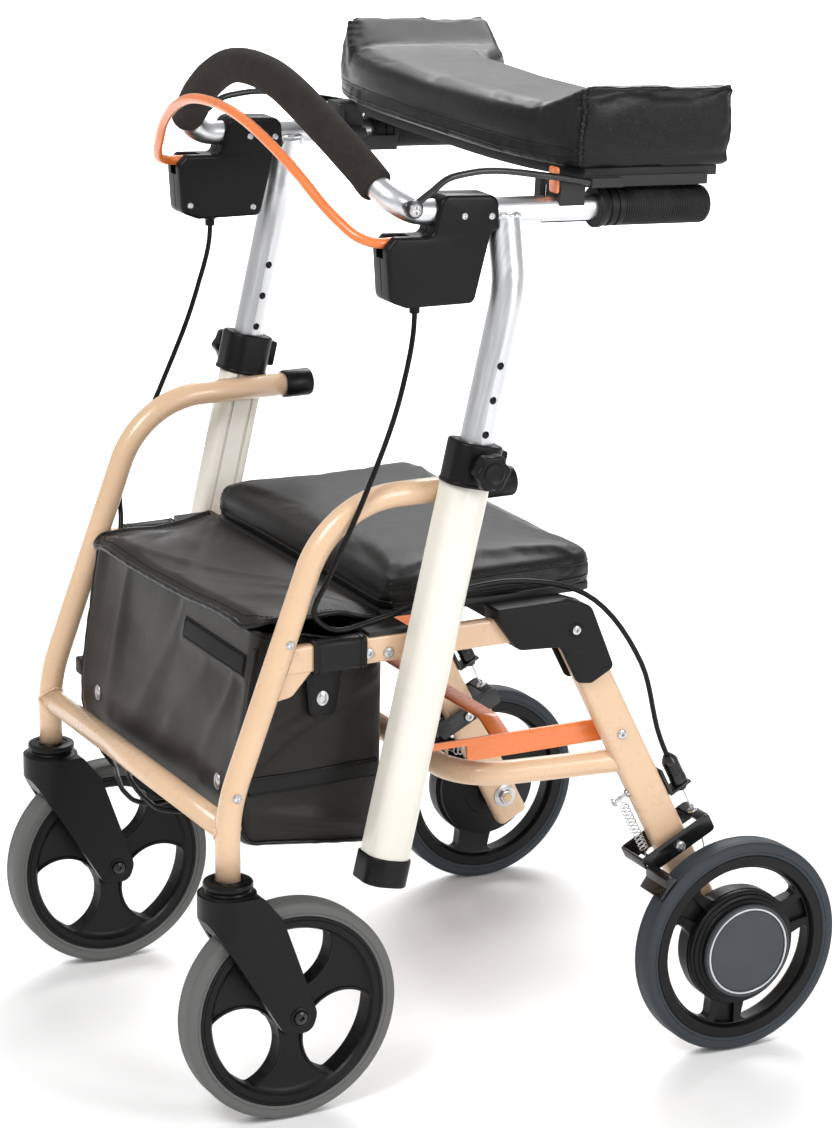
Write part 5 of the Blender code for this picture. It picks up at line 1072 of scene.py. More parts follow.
def makeBracket():
    inner, outer, wall = bracket["inner"], bracket["outer"], bracket["wall"]
    outline = roundedOutline(bracket["outline"], bracket["radii"], 6)
    body = makeSlab("bracket", [outline], inner - wall, outer + wall, sidePlane, 0.0022, 3, 50)
    slot = makeBlock("slot", (inner, rail["rear"] + 0.004, 0.33), (outer, 0.12, 0.44 - bracket["web"]))
    pocket = makeBlock("pocket", (rail["x"] - 0.0063, -0.05, 0.4047), (rail["x"] + 0.0063, 0.0303, 0.4293))
    carved(body, slot, pocket)
    at = bracket["pin"]
    pin = makeRod("pin", (inner - 0.001, *at), (outer + 0.001, *at), 0.004, 32)
    rim = [(0, -0.001), (0.0066, -0.001), (0.0066, 0.0003), (0.0061, 0.0008), (0.005, 0.0008), (0.0047, 0.0002)]
    seat = makeLathe("seat", rim + [(0, 0.0002)], facing((outer + wall, *at), (1, 0, 0)), 40)
    bothSides(smooth(joined("bracket", body, pin, seat), 34), "corner_bracket")


makeBracket()
bracketBolts = [((0.2185, *bracket["pin"]), (1, 0, 0), 0.0044), ((0.1915, *bracket["pin"]), (-1, 0, 0), 0.005)]
sidedStuds("bracketBolts", bolt, "base", "zinc", bracketBolts)
print("rails and brackets made")


# cream columns, their feet, collars and star knobs


column = {
    "lean": math.radians(12.9),
    "top": (0.2318, -0.0575, 0.569),
    "length": 0.362,
    "half": (0.017, 0.0195),
    "corners": [0.006, 0.015, 0.015, 0.006],
    "bore": 0.0151,
    "postRadius": 0.0143,
    "latchPin": (-0.104, 0.3065),
}


def columnFrame():
    return Matrix.Translation(column["top"]) @ Matrix.Rotation(-column["lean"], 4, "X")


def columnOutline(grow=0.0):
    halfX, halfY = column["half"][0] + grow, column["half"][1] + grow
    corners = [(-halfX, -halfY), (halfX, -halfY), (halfX, halfY), (-halfX, halfY)]
    return roundedOutline(corners, column["corners"], 7)


def makeColumn():
    frame, length = columnFrame(), column["length"]
    body = makeSlab("column", [columnOutline(), circle(column["bore"], 48)], -length, 0, frame, 0.0006, 2, 60)
    for y in (0.0095, -0.0095):
        low, high = (-0.04, y - 0.0015, -length - 0.01), (-column["half"][0] + 0.0018, y + 0.0015, 0.01)
        carved(body, turnedBy(makeBlock("groove", low, high), frame))
    at = column["latchPin"]
    shoulder = makeRod("shoulder", (0.2158, *at), (0.1918, *at), 0.0055, 24, 0.0005)
    pin = makeRod("pin", (0.192, *at), (0.187, *at), 0.003, 24, 0.0005)
    bothSides(smooth(joined("column", body, shoulder, pin), 34), "column")
    cup = makeSlab("foot", [columnOutline(0.0015)], -length - 0.003, -length + 0.022, frame, 0.0016, 3, 50)
    carved(cup, makeSlab("room", [columnOutline(0.0003)], -length - 0.0003, 0, frame))
    bothSides(cup, "column_foot")


collar = {"low": -0.008, "high": 0.03, "radius": 0.0155, "bossZ": 0.011, "boss": 0.029, "split": 0.0012}


def makeCollar():
    frame, bossZ, reach = columnFrame(), collar["bossZ"], collar["boss"]
    outline = boxOutline(column["half"][0] + 0.0035, column["half"][1] + 0.003, collar["radius"], step=6)
    ring = makeSlab("collar", [outline], collar["low"], collar["high"], frame, 0.0026, 4, 50)
    lip = makeSlab("lip", [boxOutline(0.0213, 0.0233, 0.0163, step=6)], -0.008, -0.0045, frame, 0.001, 2, 50)
    boss = turnedBy(makeRod("boss", (0.014, 0, bossZ), (reach, 0, bossZ), 0.0105, 48, 0.001, 3), frame)
    ears = turnedBy(makeBlock("ears", (-0.008, 0.019, 0.002), (0.008, 0.03, 0.026), 0.0026, 3), frame)
    welded(ring, lip, boss, ears)
    split = makeBlock("split", (-collar["split"], 0.005, -0.012), (collar["split"], 0.039, 0.04))
    post = makeRod("post", (0, 0, -0.02), (0, 0, 0.05), column["postRadius"] + 0.0003, 48)
    room = makeSlab("room", [columnOutline(0.0003)], -0.02, 0.0003, frame)
    carved(ring, turnedBy(split, frame), turnedBy(post, frame), room)
    bothSides(smooth(ring, 34), "column_collar")
    out = frame.to_3x3() @ Vector((1, 0, 0))
    ends = [(tuple(frame @ Vector((0.008, 0.0245, 0.014))), tuple(out), 0.0044)]
    sidedStuds("collarBolt", bolt, "base", "black_steel", ends)


knob = {"radius": 0.0165, "dip": 0.0024, "lobes": 6, "thick": 0.013}


def makeKnob():
    centre = columnFrame() @ Vector((collar["boss"], 0, collar["bossZ"]))
    outline = []
    for step in range(96):
        turn = math.tau * step / 96
        radius = knob["radius"] - knob["dip"] * (0.5 - 0.5 * math.cos(knob["lobes"] * turn)) ** 0.8
        outline.append((centre.y + radius * math.cos(turn), centre.z + radius * math.sin(turn)))
    face = centre.x + 0.0003
    body = makeSlab("knob", [outline], face, face + knob["thick"], sidePlane, 0.0022, 4, 50)
    top = face + knob["thick"]
    crown = [(0, -0.001), (0.0098, -0.001), (0.0096, 0.0006), (0.0084, 0.0014), (0.0074, 0.001), (0, 0.0008)]
    disc = makeLathe("crown", crown, facing((top, centre.y, centre.z), (1, 0, 0)), 48)
    screw = makeRod("screw", (centre.x - 0.0085, centre.y, centre.z), (face + 0.002, centre.y, centre.z), 0.0028)
    bothSides(smooth(joined("knob", body, disc, screw), 34), "star_knob")


makeColumn()
makeCollar()
makeKnob()
print("columns made")


# the handle: arch, posts, foam, grips, brake boxes and squeeze bar


handle = {
    "x": 0.2145,
    "height": 0.792,
    "fall": math.radians(2.9),
    "postY": -0.0185,
    "radius": 0.011,
    "gripEnd": 0.176,
    "archKnots": [
        (0.2135, -0.104, 0.79801), (0.209, -0.12, 0.8075), (0.196, -0.1275, 0.8165), (0.178, -0.131, 0.8275),
        (0.145, -0.138, 0.8465), (0.1, -0.1447, 0.868), (0.05, -0.149, 0.885),
    ],
    "archTop": (0.0, -0.1505, 0.89),
    "restPivot": (-0.1105, 0.802),
    "studReach": 0.0178,
    "postBend": (0.728, 0.11),
    "holes": (0.0385, 0.03, 3, 0.0033),
    "foamRadius": 0.0155,
    "foamEnd": 0.1965,
}


def handleZ(y):
    return handle["height"] - (y - handle["postY"]) * math.tan(handle["fall"])


def handleFrameAt(y):
    return Matrix.Translation((0, y, handleZ(y))) @ Matrix.Rotation(-handle["fall"], 4, "X")


def withMirror(half, middle):
    # knots from the left to the middle, then back out on the right
    return half + [middle] + [(-x, y, z) for x, y, z in reversed(half)]


def archPath(perSpan=6):
    start = (handle["x"], -0.078, handleZ(-0.078))
    return smoothPath(withMirror([start] + handle["archKnots"], handle["archTop"]), perSpan)


def makeHandle():
    x, end = handle["x"], handle["gripEnd"]
    path = [(x, end, handleZ(end))] + archPath() + [(-x, end, handleZ(end))]
    bar = makeTube("bar", path, handle["radius"], 14)
    frame = columnFrame()
    bendZ, bend = handle["postBend"]
    low = frame @ Vector((0, 0, -0.19))
    corner = frame @ Vector((0, 0, (bendZ - column["top"][2]) / math.cos(column["lean"])))
    tubeZ, postTop = handleZ(handle["postY"]), 0.003  # the post ends just under the tube's middle
    top = (x, handle["postY"], tubeZ - postTop)
    posts, tools, welds, holeShades = [], [], [], []
    postRadius, middleY = column["postRadius"], handle["postY"]
    first, pitch, count, hole = handle["holes"]
    for side in (1, -1):
        path = [Vector((side * p[0], p[1], p[2])) for p in bentPath([low, corner, top], [bend], 2.5)]
        posts.append(makeTube("post", path, postRadius, 14))
        for index in range(count):
            at = frame @ Vector((0, 0, first + index * pitch))
            ends = [(side * (at.x + step), at.y, at.z) for step in (-0.03, 0.03, -0.0122, 0.0122)]
            tools.append(makeRod("hole", *ends[:2], hole, 24))
            holeShades.append(makeRod("holeShadeRod", *ends[2:], hole - 0.0001, 24, 0.0003))  # painted shade: a black rod in each hole stands for the dark hollow inside the post

        def point(turn):
            across, along = postRadius * math.cos(turn), postRadius * math.sin(turn)
            drop = max(postTop, math.sqrt(max(0.0, 0.0112**2 - across**2)))
            return side * x + across * 0.97, middleY + along * 1.01, tubeZ - drop

        welds.append(weldBead(90, point, 0.0021, 17))
    welded(bar, *posts)
    carved(bar, *tools)
    fitted(eased(bar, 0.0004, 1, 60), "handle_frame")
    added(joined("weld", *welds), "postWeld", "handle", "satin_aluminium")
    # painted shade: the black rods darken the post's holes as if shaded inside
    added(joined("holeShadeRod", *holeShades), "postHoleShade", "handle", "black_plastic")
    at, studEnd = handle["restPivot"], x + handle["studReach"]
    sidedStuds("armStud", crossScrew, "handle", "zinc", [((studEnd, *at), (1, 0, 0), 0.006)])
    bothAdded(makeRod("shank", (x + 0.007, *at), (studEnd, *at), 0.003, 20), "armShank", "handle", "zinc")


def makeFoamSleeve():
    points = [point for point in archPath(12) if abs(point[0]) < handle["foamEnd"]]

    def swell(t):
        edge = min(t, 1 - t) * 60
        return 1.0 - 0.1 * max(0.0, 1 - edge) ** 2 + 0.008 * math.sin(t * 47) * math.sin(t * 19)

    sleeve = makeTube("foam", points, handle["foamRadius"], 14, False, swell)
    fitted(eased(sleeve, 0.0016, 3, 50), "foam_grip")


grip = {"radius": 0.0165, "start": 0.068, "deep": 0.0009, "fine": 0.0024, "ribbed": 0.22, "bands": 2, "turns": 64}


def makeGrip():
    radius, deep, fine = grip["radius"], grip["deep"], grip["fine"]
    length = handle["gripEnd"] - grip["start"] + 0.003
    profile = [(0, length), (radius - 0.0065, length)]
    profile += [(radius - 0.003, length - 0.0006), (radius - 0.0006, length - 0.003)]
    at = length - 0.005
    while at > length * grip["ribbed"]:
        profile += [(radius, at), (radius + 0.0001, at - fine * 0.3), (radius, at - fine * 0.55)]
        profile += [(radius - deep * 0.55, at - fine * 0.68), (radius - deep * 0.55, at - fine * 0.92)]
        at -= fine
    wide = (at - 0.009) / grip["bands"]
    for _ in range(grip["bands"]):
        profile += [(radius + 0.0002, at), (radius + 0.0004, at - wide * 0.5), (radius + 0.0002, at - wide + 0.0024)]
        profile += [(radius - deep, at - wide + 0.0018), (radius - deep, at - wide + 0.0006)]
        at -= wide
    lip = radius + 0.0014
    profile += [(radius, at), (lip - 0.0004, 0.0058), (lip, 0.0046), (lip, 0.001), (lip - 0.0008, 0), (0.0113, 0)]
    profile += [(0.0113, 0.01), (0, 0.01)]
    rear = Matrix.Rotation(-math.pi / 2, 4, "X")
    place = Matrix.Translation((handle["x"], 0, 0)) @ handleFrameAt(grip["start"]) @ rear
    bothSides(makeLathe("grip", profile, place, grip["turns"]), "rear_grip")


brakeBox = {
    "outline": [
        (-0.03, 0.808), (-0.0283, 0.779), (-0.0365, 0.776), (-0.052, 0.717), (-0.115, 0.718), (-0.132, 0.725),
        (-0.135, 0.77), (-0.126, 0.779), (-0.092, 0.777), (-0.0835, 0.8115),
    ],
    "radii": [0.01, 0.004, 0.004, 0.007, 0.006, 0.008, 0.008, 0.004, 0.006, 0.01],
    "half": 0.015,
    "gland": (0.2105, -0.0995),
    "pivot": (-0.1185, 0.7725),
}


def makeBrakeBox():
    x, half = handle["x"], brakeBox["half"]
    outline = roundedOutline(brakeBox["outline"], brakeBox["radii"], 7)
    box = makeSlab("box", [outline], x - half, x + half, sidePlane, 0.0034, 4, 50)
    pivotY, pivotZ = brakeBox["pivot"]
    carved(box, makeBlock("slot", (x - 0.0061, -0.15, pivotZ - 0.012), (x + 0.0061, pivotY + 0.009, 0.79)))
    seam = [grown(outline, 0.004), grown(outline, -0.0008)]
    carved(box, makeSlab("seam", seam, x - 0.0006, x + 0.0006, sidePlane))
    turned = [(0, 0.722), (0.0062, 0.722), (0.0062, 0.7168), (0.0054, 0.716), (0.0046, 0.7152), (0.0046, 0.7104)]
    turned += [(0.0041, 0.7097), (0, 0.7097)]
    gland = makeLathe("gland", turned, Matrix.Translation((*brakeBox["gland"], 0)), 32)
    bothSides(smooth(joined("box", box, gland), 34), "brake_box")
    face, inner = [(-0.0626, 0.7926), (-0.0369, 0.7906)], [(-0.06, 0.726), (-0.124, 0.732)]
    heads = [((x + half - 0.0002, y, z), (1, 0, 0), 0.003) for y, z in face]
    heads += [((x - half + 0.0002, y, z), (-1, 0, 0), 0.003) for y, z in face + inner]
    sidedStuds("boxScrews", crossScrew, "handle", "zinc", heads)


squeezeBar = {
    "knots": [
        (0.2145, -0.1185, 0.7725), (0.2145, -0.14, 0.7738), (0.206, -0.1515, 0.7785), (0.191, -0.16, 0.7885),
        (0.167, -0.168, 0.804), (0.145, -0.1742, 0.82), (0.12, -0.1795, 0.834), (0.09, -0.1842, 0.847),
        (0.05, -0.188, 0.8585),
    ],
    "top": (0.0, -0.189, 0.8625),
    "radius": 0.0045,
}


def makeSqueezeBar():
    path = smoothPath(withMirror(squeezeBar["knots"], squeezeBar["top"]), 6)
    bar = makeTube("squeeze", path, squeezeBar["radius"])
    x, at = handle["x"], brakeBox["pivot"]
    pins = [makeRod("pin", (side * x - 0.0092, *at), (side * x + 0.0092, *at), 0.0026, 20) for side in (1, -1)]
    fitted(smooth(joined("squeeze", bar, *pins), 40), "brake_bar")


makeHandle()
makeFoamSleeve()
makeGrip()
makeBrakeBox()
makeSqueezeBar()
print("handle made")


# rear legs, cross tube and the orange latch bar


leg = {
    "x": 0.205,
    "half": (0.009, 0.0165),
    "fold": bracket["pin"],
    "axle": (0.2155, 0.1),
    "pastAxle": 0.03,
    "edge": 0.0056,
    "latchScrew": (0.11, 0.3055),
    "crossTubeZ": 0.277,
    "above": {
        "lever": 0.105875, "springTop": 0.171775, "springEnd": 0.104375,
        "cableEnd": 0.170275, "wireStart": 0.158775, "clamp": 0.149775,
    },
}
legLean = math.atan2(leg["axle"][0] - leg["fold"][0], leg["fold"][1] - leg["axle"][1])
legLength = math.hypot(leg["axle"][0] - leg["fold"][0], leg["fold"][1] - leg["axle"][1])


def legPoint(along, across=0.0):
    y = leg["fold"][0] + along * math.sin(legLean) + across * math.cos(legLean)
    z = leg["fold"][1] - along * math.cos(legLean) + across * math.sin(legLean)
    return Vector((leg["x"], y, z))


def downLeg(what):
    # how far down the leg this stands; the settings measure it up from the axle
    return legLength - leg["above"][what]


def legFrame():
    # outlines are (down the leg, across it to the rear), depth along +X
    down = Vector((0, math.sin(legLean), -math.cos(legLean)))
    across = Vector((0, math.cos(legLean), math.sin(legLean)))
    turn = Matrix((down, across, down.cross(across))).transposed().to_4x4()
    return Matrix.Translation((0, *leg["fold"])) @ turn


def legBlock(low, high, front, rear, x0, x1, soft=0.0006):
    return turnedBy(makeBlock("block", (low, front, x0), (high, rear, x1), soft), legFrame())


def makeLeg():
    x, thick, half = leg["x"], leg["half"][0], leg["half"][1]
    end = legLength + leg["pastAxle"]
    outline = arcOf(half, 90, 270, 25) + [(end, -half), (end, half)]
    body = makeSlab("leg", [outline], x - thick, x + thick, legFrame(), leg["edge"], 4, 50)
    axleY, axleZ = leg["axle"]
    axle = makeRod("axle", (x - thick - 0.0085, axleY, axleZ), (0.2615, axleY, axleZ), 0.005, 32, 0.0006)
    spacer = makeRod("spacer", (x + thick - 0.001, axleY, axleZ), (x + thick + 0.003, axleY, axleZ), 0.01, 48, 0.0005)
    bothSides(smooth(joined("leg", body, axle, spacer), 34), "rear_leg")
    inwards = facing((x - thick, axleY, axleZ), (-1, 0, 0))
    washer = [(0, 0), (0.0115, 0), (0.0118, 0.0003), (0.0118, 0.0013), (0.0113, 0.0016), (0, 0.0016)]
    ring = makeLathe("washer", washer, inwards, 48)
    nut = makeSlab("nut", [circle(0.0078, 6)], 0.0016, 0.0068, inwards, 0.0008, 2, 40)
    bothAdded(joined("nut", ring, nut), "axleNut", "rear_frame", "zinc")
    pivot = legPoint(downLeg("lever"))
    screwY, screwZ = leg["latchScrew"]
    heads = [
        ((x + thick - 0.0001, screwY, screwZ + 0.001), (1, 0, 0), 0.0046),
        ((0.1885, screwY, screwZ), (-1, 0, 0), 0.0062), ((x + 0.0196, pivot.y, pivot.z), (1, 0, 0), 0.005),
        ((x - 0.0196, pivot.y, pivot.z), (-1, 0, 0), 0.005),
    ]
    sidedStuds("legBolts", bolt, "rear_frame", "zinc", heads)
    down = legPoint(downLeg("springTop"), -half + 0.001)
    out = legPoint(downLeg("springTop"), -0.032)
    top = (out - down).normalized()
    post = makeRod("post", down, out, 0.0016, 20)
    nut = makeSlab("postNut", [circle(0.004, 6)], -0.001, 0.0022, facing(down + top * 0.0015, top), 0.0004, 1, 40)
    head = turnedBy(copyOf(bolt), facing(out, top) @ Matrix.Scale(0.004, 4))
    bothAdded(joined("post", post, nut, head), "springPost", "rear_frame", "zinc")


crossTube = {"x": (0.201, 0.181), "y": -0.035, "radius": 0.011, "bend": 0.05}


def makeCrossTube():
    z, radius = leg["crossTubeZ"], crossTube["radius"]
    down = (leg["fold"][1] - z) / math.cos(legLean)
    rootX, x = crossTube["x"]
    legY = legPoint(down).y
    corners = [(rootX, legY, z), (x, crossTube["y"], z), (-x, crossTube["y"], z), (-rootX, legY, z)]
    tube = makeTube("crossTube", bentPath(corners, [crossTube["bend"]] * 2, 3), radius, 14)
    for side in (1, -1):
        behind = legBlock(down - 0.05, down + 0.05, -0.004, 0.06, 0.15, 0.25, 0)
        if side < 0:
            turnedBy(behind, Matrix.Diagonal((-1, 1, 1, 1)))
        carved(tube, behind)
    spots = [(side * 0.148, crossTube["y"] + 0.003) for side in (1, -1)]
    low, high = z + radius - 0.003, z + radius + 0.006
    posts = [makeRod("post", (*at, low), (*at, high), 0.0016, 20, 0.0004) for at in spots]
    fitted(smooth(joined("crossTube", tube, *posts), 40), "rear_cross_tube")
    frontY, reach = legPoint(down, -leg["half"][1] + 0.0006).y, radius + 0.0003

    def point(turn):
        rise = math.sin(turn) * reach
        return 0.2004 + math.cos(turn) * reach, frontY - rise * math.tan(legLean), z + rise

    bothAdded(weldBead(100, point, 0.0016, 22), "crossWeld", "rear_frame", "tan_paint")


latchBar = {
    "x": 0.19,
    "half": 0.0015,
    "pivot": (0.11, 0.3055),
    "height": 0.0105,
    "front": -0.034,
    "strip": (0.158, 0.004, 0.3235, 0.009),
}


def makeLatchBar():
    x, thin, half = latchBar["x"], latchBar["half"], latchBar["height"]
    pivotY, z = latchBar["pivot"]
    pinY, pinZ = column["latchPin"]
    lipRear = pinY - 0.0042
    outline = roundedOutline(
        [
            (pivotY + half, z - half), (pivotY + half, z + half), (lipRear - 0.008, z + half),
            (lipRear - 0.008, pinZ - 0.003), (lipRear, pinZ - 0.003), (lipRear, pinZ + 0.0033),
            (latchBar["front"], pinZ + 0.0033), (latchBar["front"], z - half),
        ],
        [half * 0.96, half * 0.96, 0.004, 0.003, 0.0005, 0.0005, 0.002, 0.006],
        7,
    )
    hole = circle(0.0035, 24, (pivotY, z))
    bars = [makeSlab("bar", [outline, hole], side * x - thin, side * x + thin, sidePlane, 0.0005) for side in (1, -1)]
    flat, stripY, top, reach = latchBar["strip"]
    upper = [(-x - thin, z), (-x - thin, z + 0.004), (-flat, top), (flat, top), (x + thin, z + 0.004), (x + thin, z)]
    lower = [(x - thin, z), (flat, top - 2 * thin), (-flat, top - 2 * thin), (-x + thin, z)]
    outline = roundedOutline(upper + lower, [0, 0.006, 0.02, 0.02, 0.006, 0, 0, 0.017, 0.017, 0], 6)
    strip = makeSlab("strip", [outline], -stripY - reach, -stripY + reach, crossPlane, 0.0006)
    ends = [[(side * (x - thin - step), 0.0, 0.299) for step in (0, 0.006)] for side in (1, -1)]
    posts = [makeRod("post", *pair, 0.0016, 20, 0.0004) for pair in ends]
    fitted(smooth(joined("latch", *bars, strip, *posts), 34), "fold_latch")


makeLeg()
makeCrossTube()
makeLatchBar()
print("rear frame made")


# springs, brake levers, clamps and cables


def bent(piece, name, ends, finish=None):
    # a piece set in place on no body; it stands for the node of its name, if there is one
    piece.name = name + "_look"
    if name in nodes:
        finish = slotOf[name]
        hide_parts(name)
        done.add(name)
    worn(piece, finish)
    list(ends)
    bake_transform(piece)


def bothBent(piece, name, between, ends, finish=None):
    for side, sign, twin in (("right", -1, mirrored(piece, name)), ("left", 1, piece)):
        pair = [sided(body, side) for body in between]
        bent(twin, name + "_" + side, [(sign * x, y, z) for x, y, z in ends], finish)


def makeSpring(node, between, start, startPost, end, endPost, radius, wire, turns):
    start, end = Vector(start), Vector(end)
    axis = (end - start).normalized()
    side = axis.orthogonal().normalized()
    other = axis.cross(side)
    lead = 0.005

    def hook(centre, post, towards):
        post = Vector(post).normalized()
        ahead = (towards - post * towards.dot(post)).normalized()
        aside = post.cross(ahead)
        reach = 0.0016 + wire + 0.0002
        turned = [math.radians(-80 - 190 * step / 12) for step in range(13)]
        return [centre + (ahead * math.cos(a) + aside * math.sin(a)) * reach for a in turned]

    length = (end - start).length - 2 * lead
    count = turns * 16
    coils = []
    for step in range(count + 1):
        turn = math.tau * step / 16
        swell = min(1.0, step / 10, (count - step) / 10)
        arm = (side * math.cos(turn) + other * math.sin(turn)) * radius * swell
        coils.append(start + axis * (lead + length * step / count) + arm)
    points = hook(start, startPost, axis) + coils + hook(end, endPost, -axis)[::-1]
    bothBent(makeTube("spring", points, wire, 2), node, between, (start, end))


across = legPoint(0, 1) - legPoint(0)
springTop = legPoint(downLeg("springTop"), -0.0255)
springEnd = legPoint(downLeg("springEnd"), -0.0255)
makeSpring("return_spring", ("rear_frame", "lever"), springTop, across, springEnd, (1, 0, 0), 0.004, 0.00052, 14)
latchHook, tubeHook = (0.1837, 0.0, 0.299), (0.148, -0.032, 0.2918)
makeSpring("latch_spring", ("latch", "rear_frame"), latchHook, (1, 0, 0), tubeHook, (0, 0, 1), 0.0036, 0.00055, 10)


lever = {
    "up": 0.011,
    "down": 0.0075,
    "front": 0.0395,
    "rear": 0.038,
    "half": 0.0195,
    "wall": 0.0022,
    "cable": 0.0325,
    "wire": 0.0008,
}


def makeShoe(pivotAlong):
    axleY, axleZ = leg["axle"]
    near = wheels["radius"] + 0.002
    root = legPoint(pivotAlong, -lever["front"])
    middle = math.degrees(math.atan2(root.z - axleZ, root.y - axleY))
    rim = [(middle + turn, 0.0) for turn in (-5, -3.5, -2, -0.5, 1, 2.5, 4, 5.5, 7, 8)]
    back = [(8, 0.003), (6, 0.0031), (4, 0.0032), (2, 0.0034), (-1, 0.009), (-3.5, 0.009), (-5, 0.004)]
    outline = []
    for turn, thick in rim + [(middle + turn, thick) for turn, thick in back]:
        reach, angle = near + thick, math.radians(turn)
        outline.append((axleY + reach * math.cos(angle), axleZ + reach * math.sin(angle)))
    low = leg["x"] + lever["half"] - lever["wall"] - 0.003
    return makeSlab("shoe", [outline], low, wheels["rear"][0] + wheels["rearWidth"] / 2 - 0.003, sidePlane, 0.001, 2)


def makeLever():
    middle, x = downLeg("lever"), leg["x"]
    low, high = middle - lever["up"], middle + lever["down"]
    front, rear = lever["front"], lever["rear"]
    corners = [(low, -front), (high, -front + 0.007), (high, rear), (low, rear)]
    side = roundedOutline(corners, [0.003, 0.003, 0.004, 0.004])
    inside = lever["half"] - lever["wall"]
    hole = circle(0.0033, 24, (middle, 0))
    pieces = []
    for face in (x + inside, x - lever["half"]):
        pieces.append(makeSlab("side", [side, hole], face, face + lever["wall"], legFrame(), 0.0005))
    reach = inside + lever["wall"] * 0.7
    pieces.append(legBlock(low + 0.0004, high - 0.007, -front + 0.0004, -front + 0.003, x - reach, x + reach))
    pieces.append(legBlock(low + 0.0004, low + 0.0038, rear - 0.011, rear - 0.0004, x - reach, x + reach))
    pin = legPoint(middle + 0.0015, -0.0255)
    pieces.append(makeRod("pin", (x - reach, pin.y, pin.z), (x + reach, pin.y, pin.z), 0.0016, 16))
    pieces.append(makeShoe(middle))
    bothSides(smooth(joined("lever", *pieces), 34), "brake_lever")
    off = lever["cable"]
    wirePath = [legPoint(downLeg("wireStart"), off), legPoint(high, off), legPoint(high + 0.034, off - 0.008)]
    bothBent(makeTube("wire", wirePath, lever["wire"], 4), "brakeWire", ("rear_frame", "lever"), wirePath[:2], "zinc")
    out = (legPoint(0) - legPoint(1)).normalized()
    nipple = turnedBy(copyOf(bolt), facing(legPoint(low + 0.0004, off), out) @ Matrix.Scale(0.0042, 4))
    seat = makeRod("seat", legPoint(low - 0.001, off), legPoint(low + 0.002, off), 0.005, 6, 0.0004)
    bothAdded(joined("nipple", nipple, seat), "wireNut", "lever", "zinc")


def makeClamp():
    x, off, at = leg["x"], lever["cable"], downLeg("clamp")
    back = leg["half"][1] + 0.0003
    foot = legBlock(at - 0.0255, at + 0.003, back, back + 0.003, x - 0.008, x + 0.008, 0.0008)
    shelf = legBlock(at, at + 0.003, back + 0.001, off + 0.008, x - 0.008, x + 0.008, 0.0008)
    profile = [(0.0026, 0), (0.004, 0), (0.0046, 0.0008), (0.0066, 0.004), (0.0074, 0.006)]
    for ridge in range(6):
        z = 0.007 + ridge * 0.0025
        profile += [(0.0076, z), (0.0076, z + 0.0012), (0.007, z + 0.0016), (0.007, z + 0.0022)]
    profile += [(0.0078, 0.0235), (0.0078, 0.0295), (0.005, 0.03), (0.0045, 0.0306), (0.0045, 0.038)]
    profile += [(0.0012, 0.038), (0.0012, 0.02), (0.0026, 0.018), (0.0026, 0)]
    place = legFrame() @ Matrix.Translation((at - 0.031, off, x)) @ Matrix.Rotation(math.pi / 2, 4, "Y")
    barrel = makeLathe("barrel", profile, place, 40)
    bothSides(smooth(joined("clamp", barrel, foot, shelf), 34), "cable_clamp")
    heads = [(tuple(legPoint(at - 0.014, back + 0.003)), tuple(legPoint(0, 1) - legPoint(0)), 0.0036)]
    sidedStuds("clampScrew", crossScrew, "rear_frame", "zinc", heads)


cable = {
    "radius": 0.0024,
    "perSpan": 7,
    "slides": ((0, 0, 0.71), (0, 0, 0.47)),
    "turns": {
        "left": ((0.2038, -0.03, 0.455), (0.2065, 0.128, 0.372)),
        "right": ((0.187, -0.02, 0.38), (0.197, 0.1275, 0.346)),
    },
    "top": [
        (0.2105, -0.0995, 0.7165), (0.2105, -0.0995, 0.712), (0.2105, -0.0995, 0.706), (0.2145, -0.112, 0.648),
        (0.2176, -0.15, 0.555), (0.2168, -0.183, 0.488),
    ],
    "overRail": [
        (0.211, -0.193, 0.458), (0.2045, -0.175, 0.44), (0.2035, -0.125, 0.443), (0.2038, -0.06, 0.457),
        (0.205, 0.006, 0.46), (0.207, 0.072, 0.441), (0.2065, 0.133, 0.368),
    ],
    "downTube": [
        (0.212, -0.1935, 0.462), (0.2, -0.198, 0.44), (0.188, -0.205, 0.419), (0.1865, -0.22, 0.38),
        (0.1865, -0.233, 0.325), (0.1865, -0.2365, 0.29), (0.1855, -0.235, 0.245), (0.182, -0.228, 0.22),
    ],
    "slack": [
        (0.165, -0.2245, 0.211), (0.1261, -0.2357, 0.21), (0.0844, -0.2452, 0.21), (0.058, -0.244, 0.21),
        (0.047, -0.233, 0.21), (0.048, -0.214, 0.2105), (0.038, -0.196, 0.2115), (0.015, -0.196, 0.213),
        (0.002, -0.21, 0.215), (0.0026, -0.2295, 0.2165), (0.0137, -0.2403, 0.2165), (0.0415, -0.2423, 0.2165),
        (0.076, -0.2385, 0.2165), (0.1095, -0.2315, 0.2165), (0.15, -0.214, 0.2165),
    ],
    "upToLeg": [
        (0.1835, -0.183, 0.2175), (0.1862, -0.162, 0.235), (0.1862, -0.142, 0.28), (0.185, -0.132, 0.335),
        (0.1832, -0.105, 0.368), (0.183, -0.05, 0.379), (0.183, 0.02, 0.38), (0.184, 0.06, 0.379),
        (0.189, 0.095, 0.371), (0.197, 0.1275, 0.346), (0.2035, 0.1424, 0.3255),
    ],
}


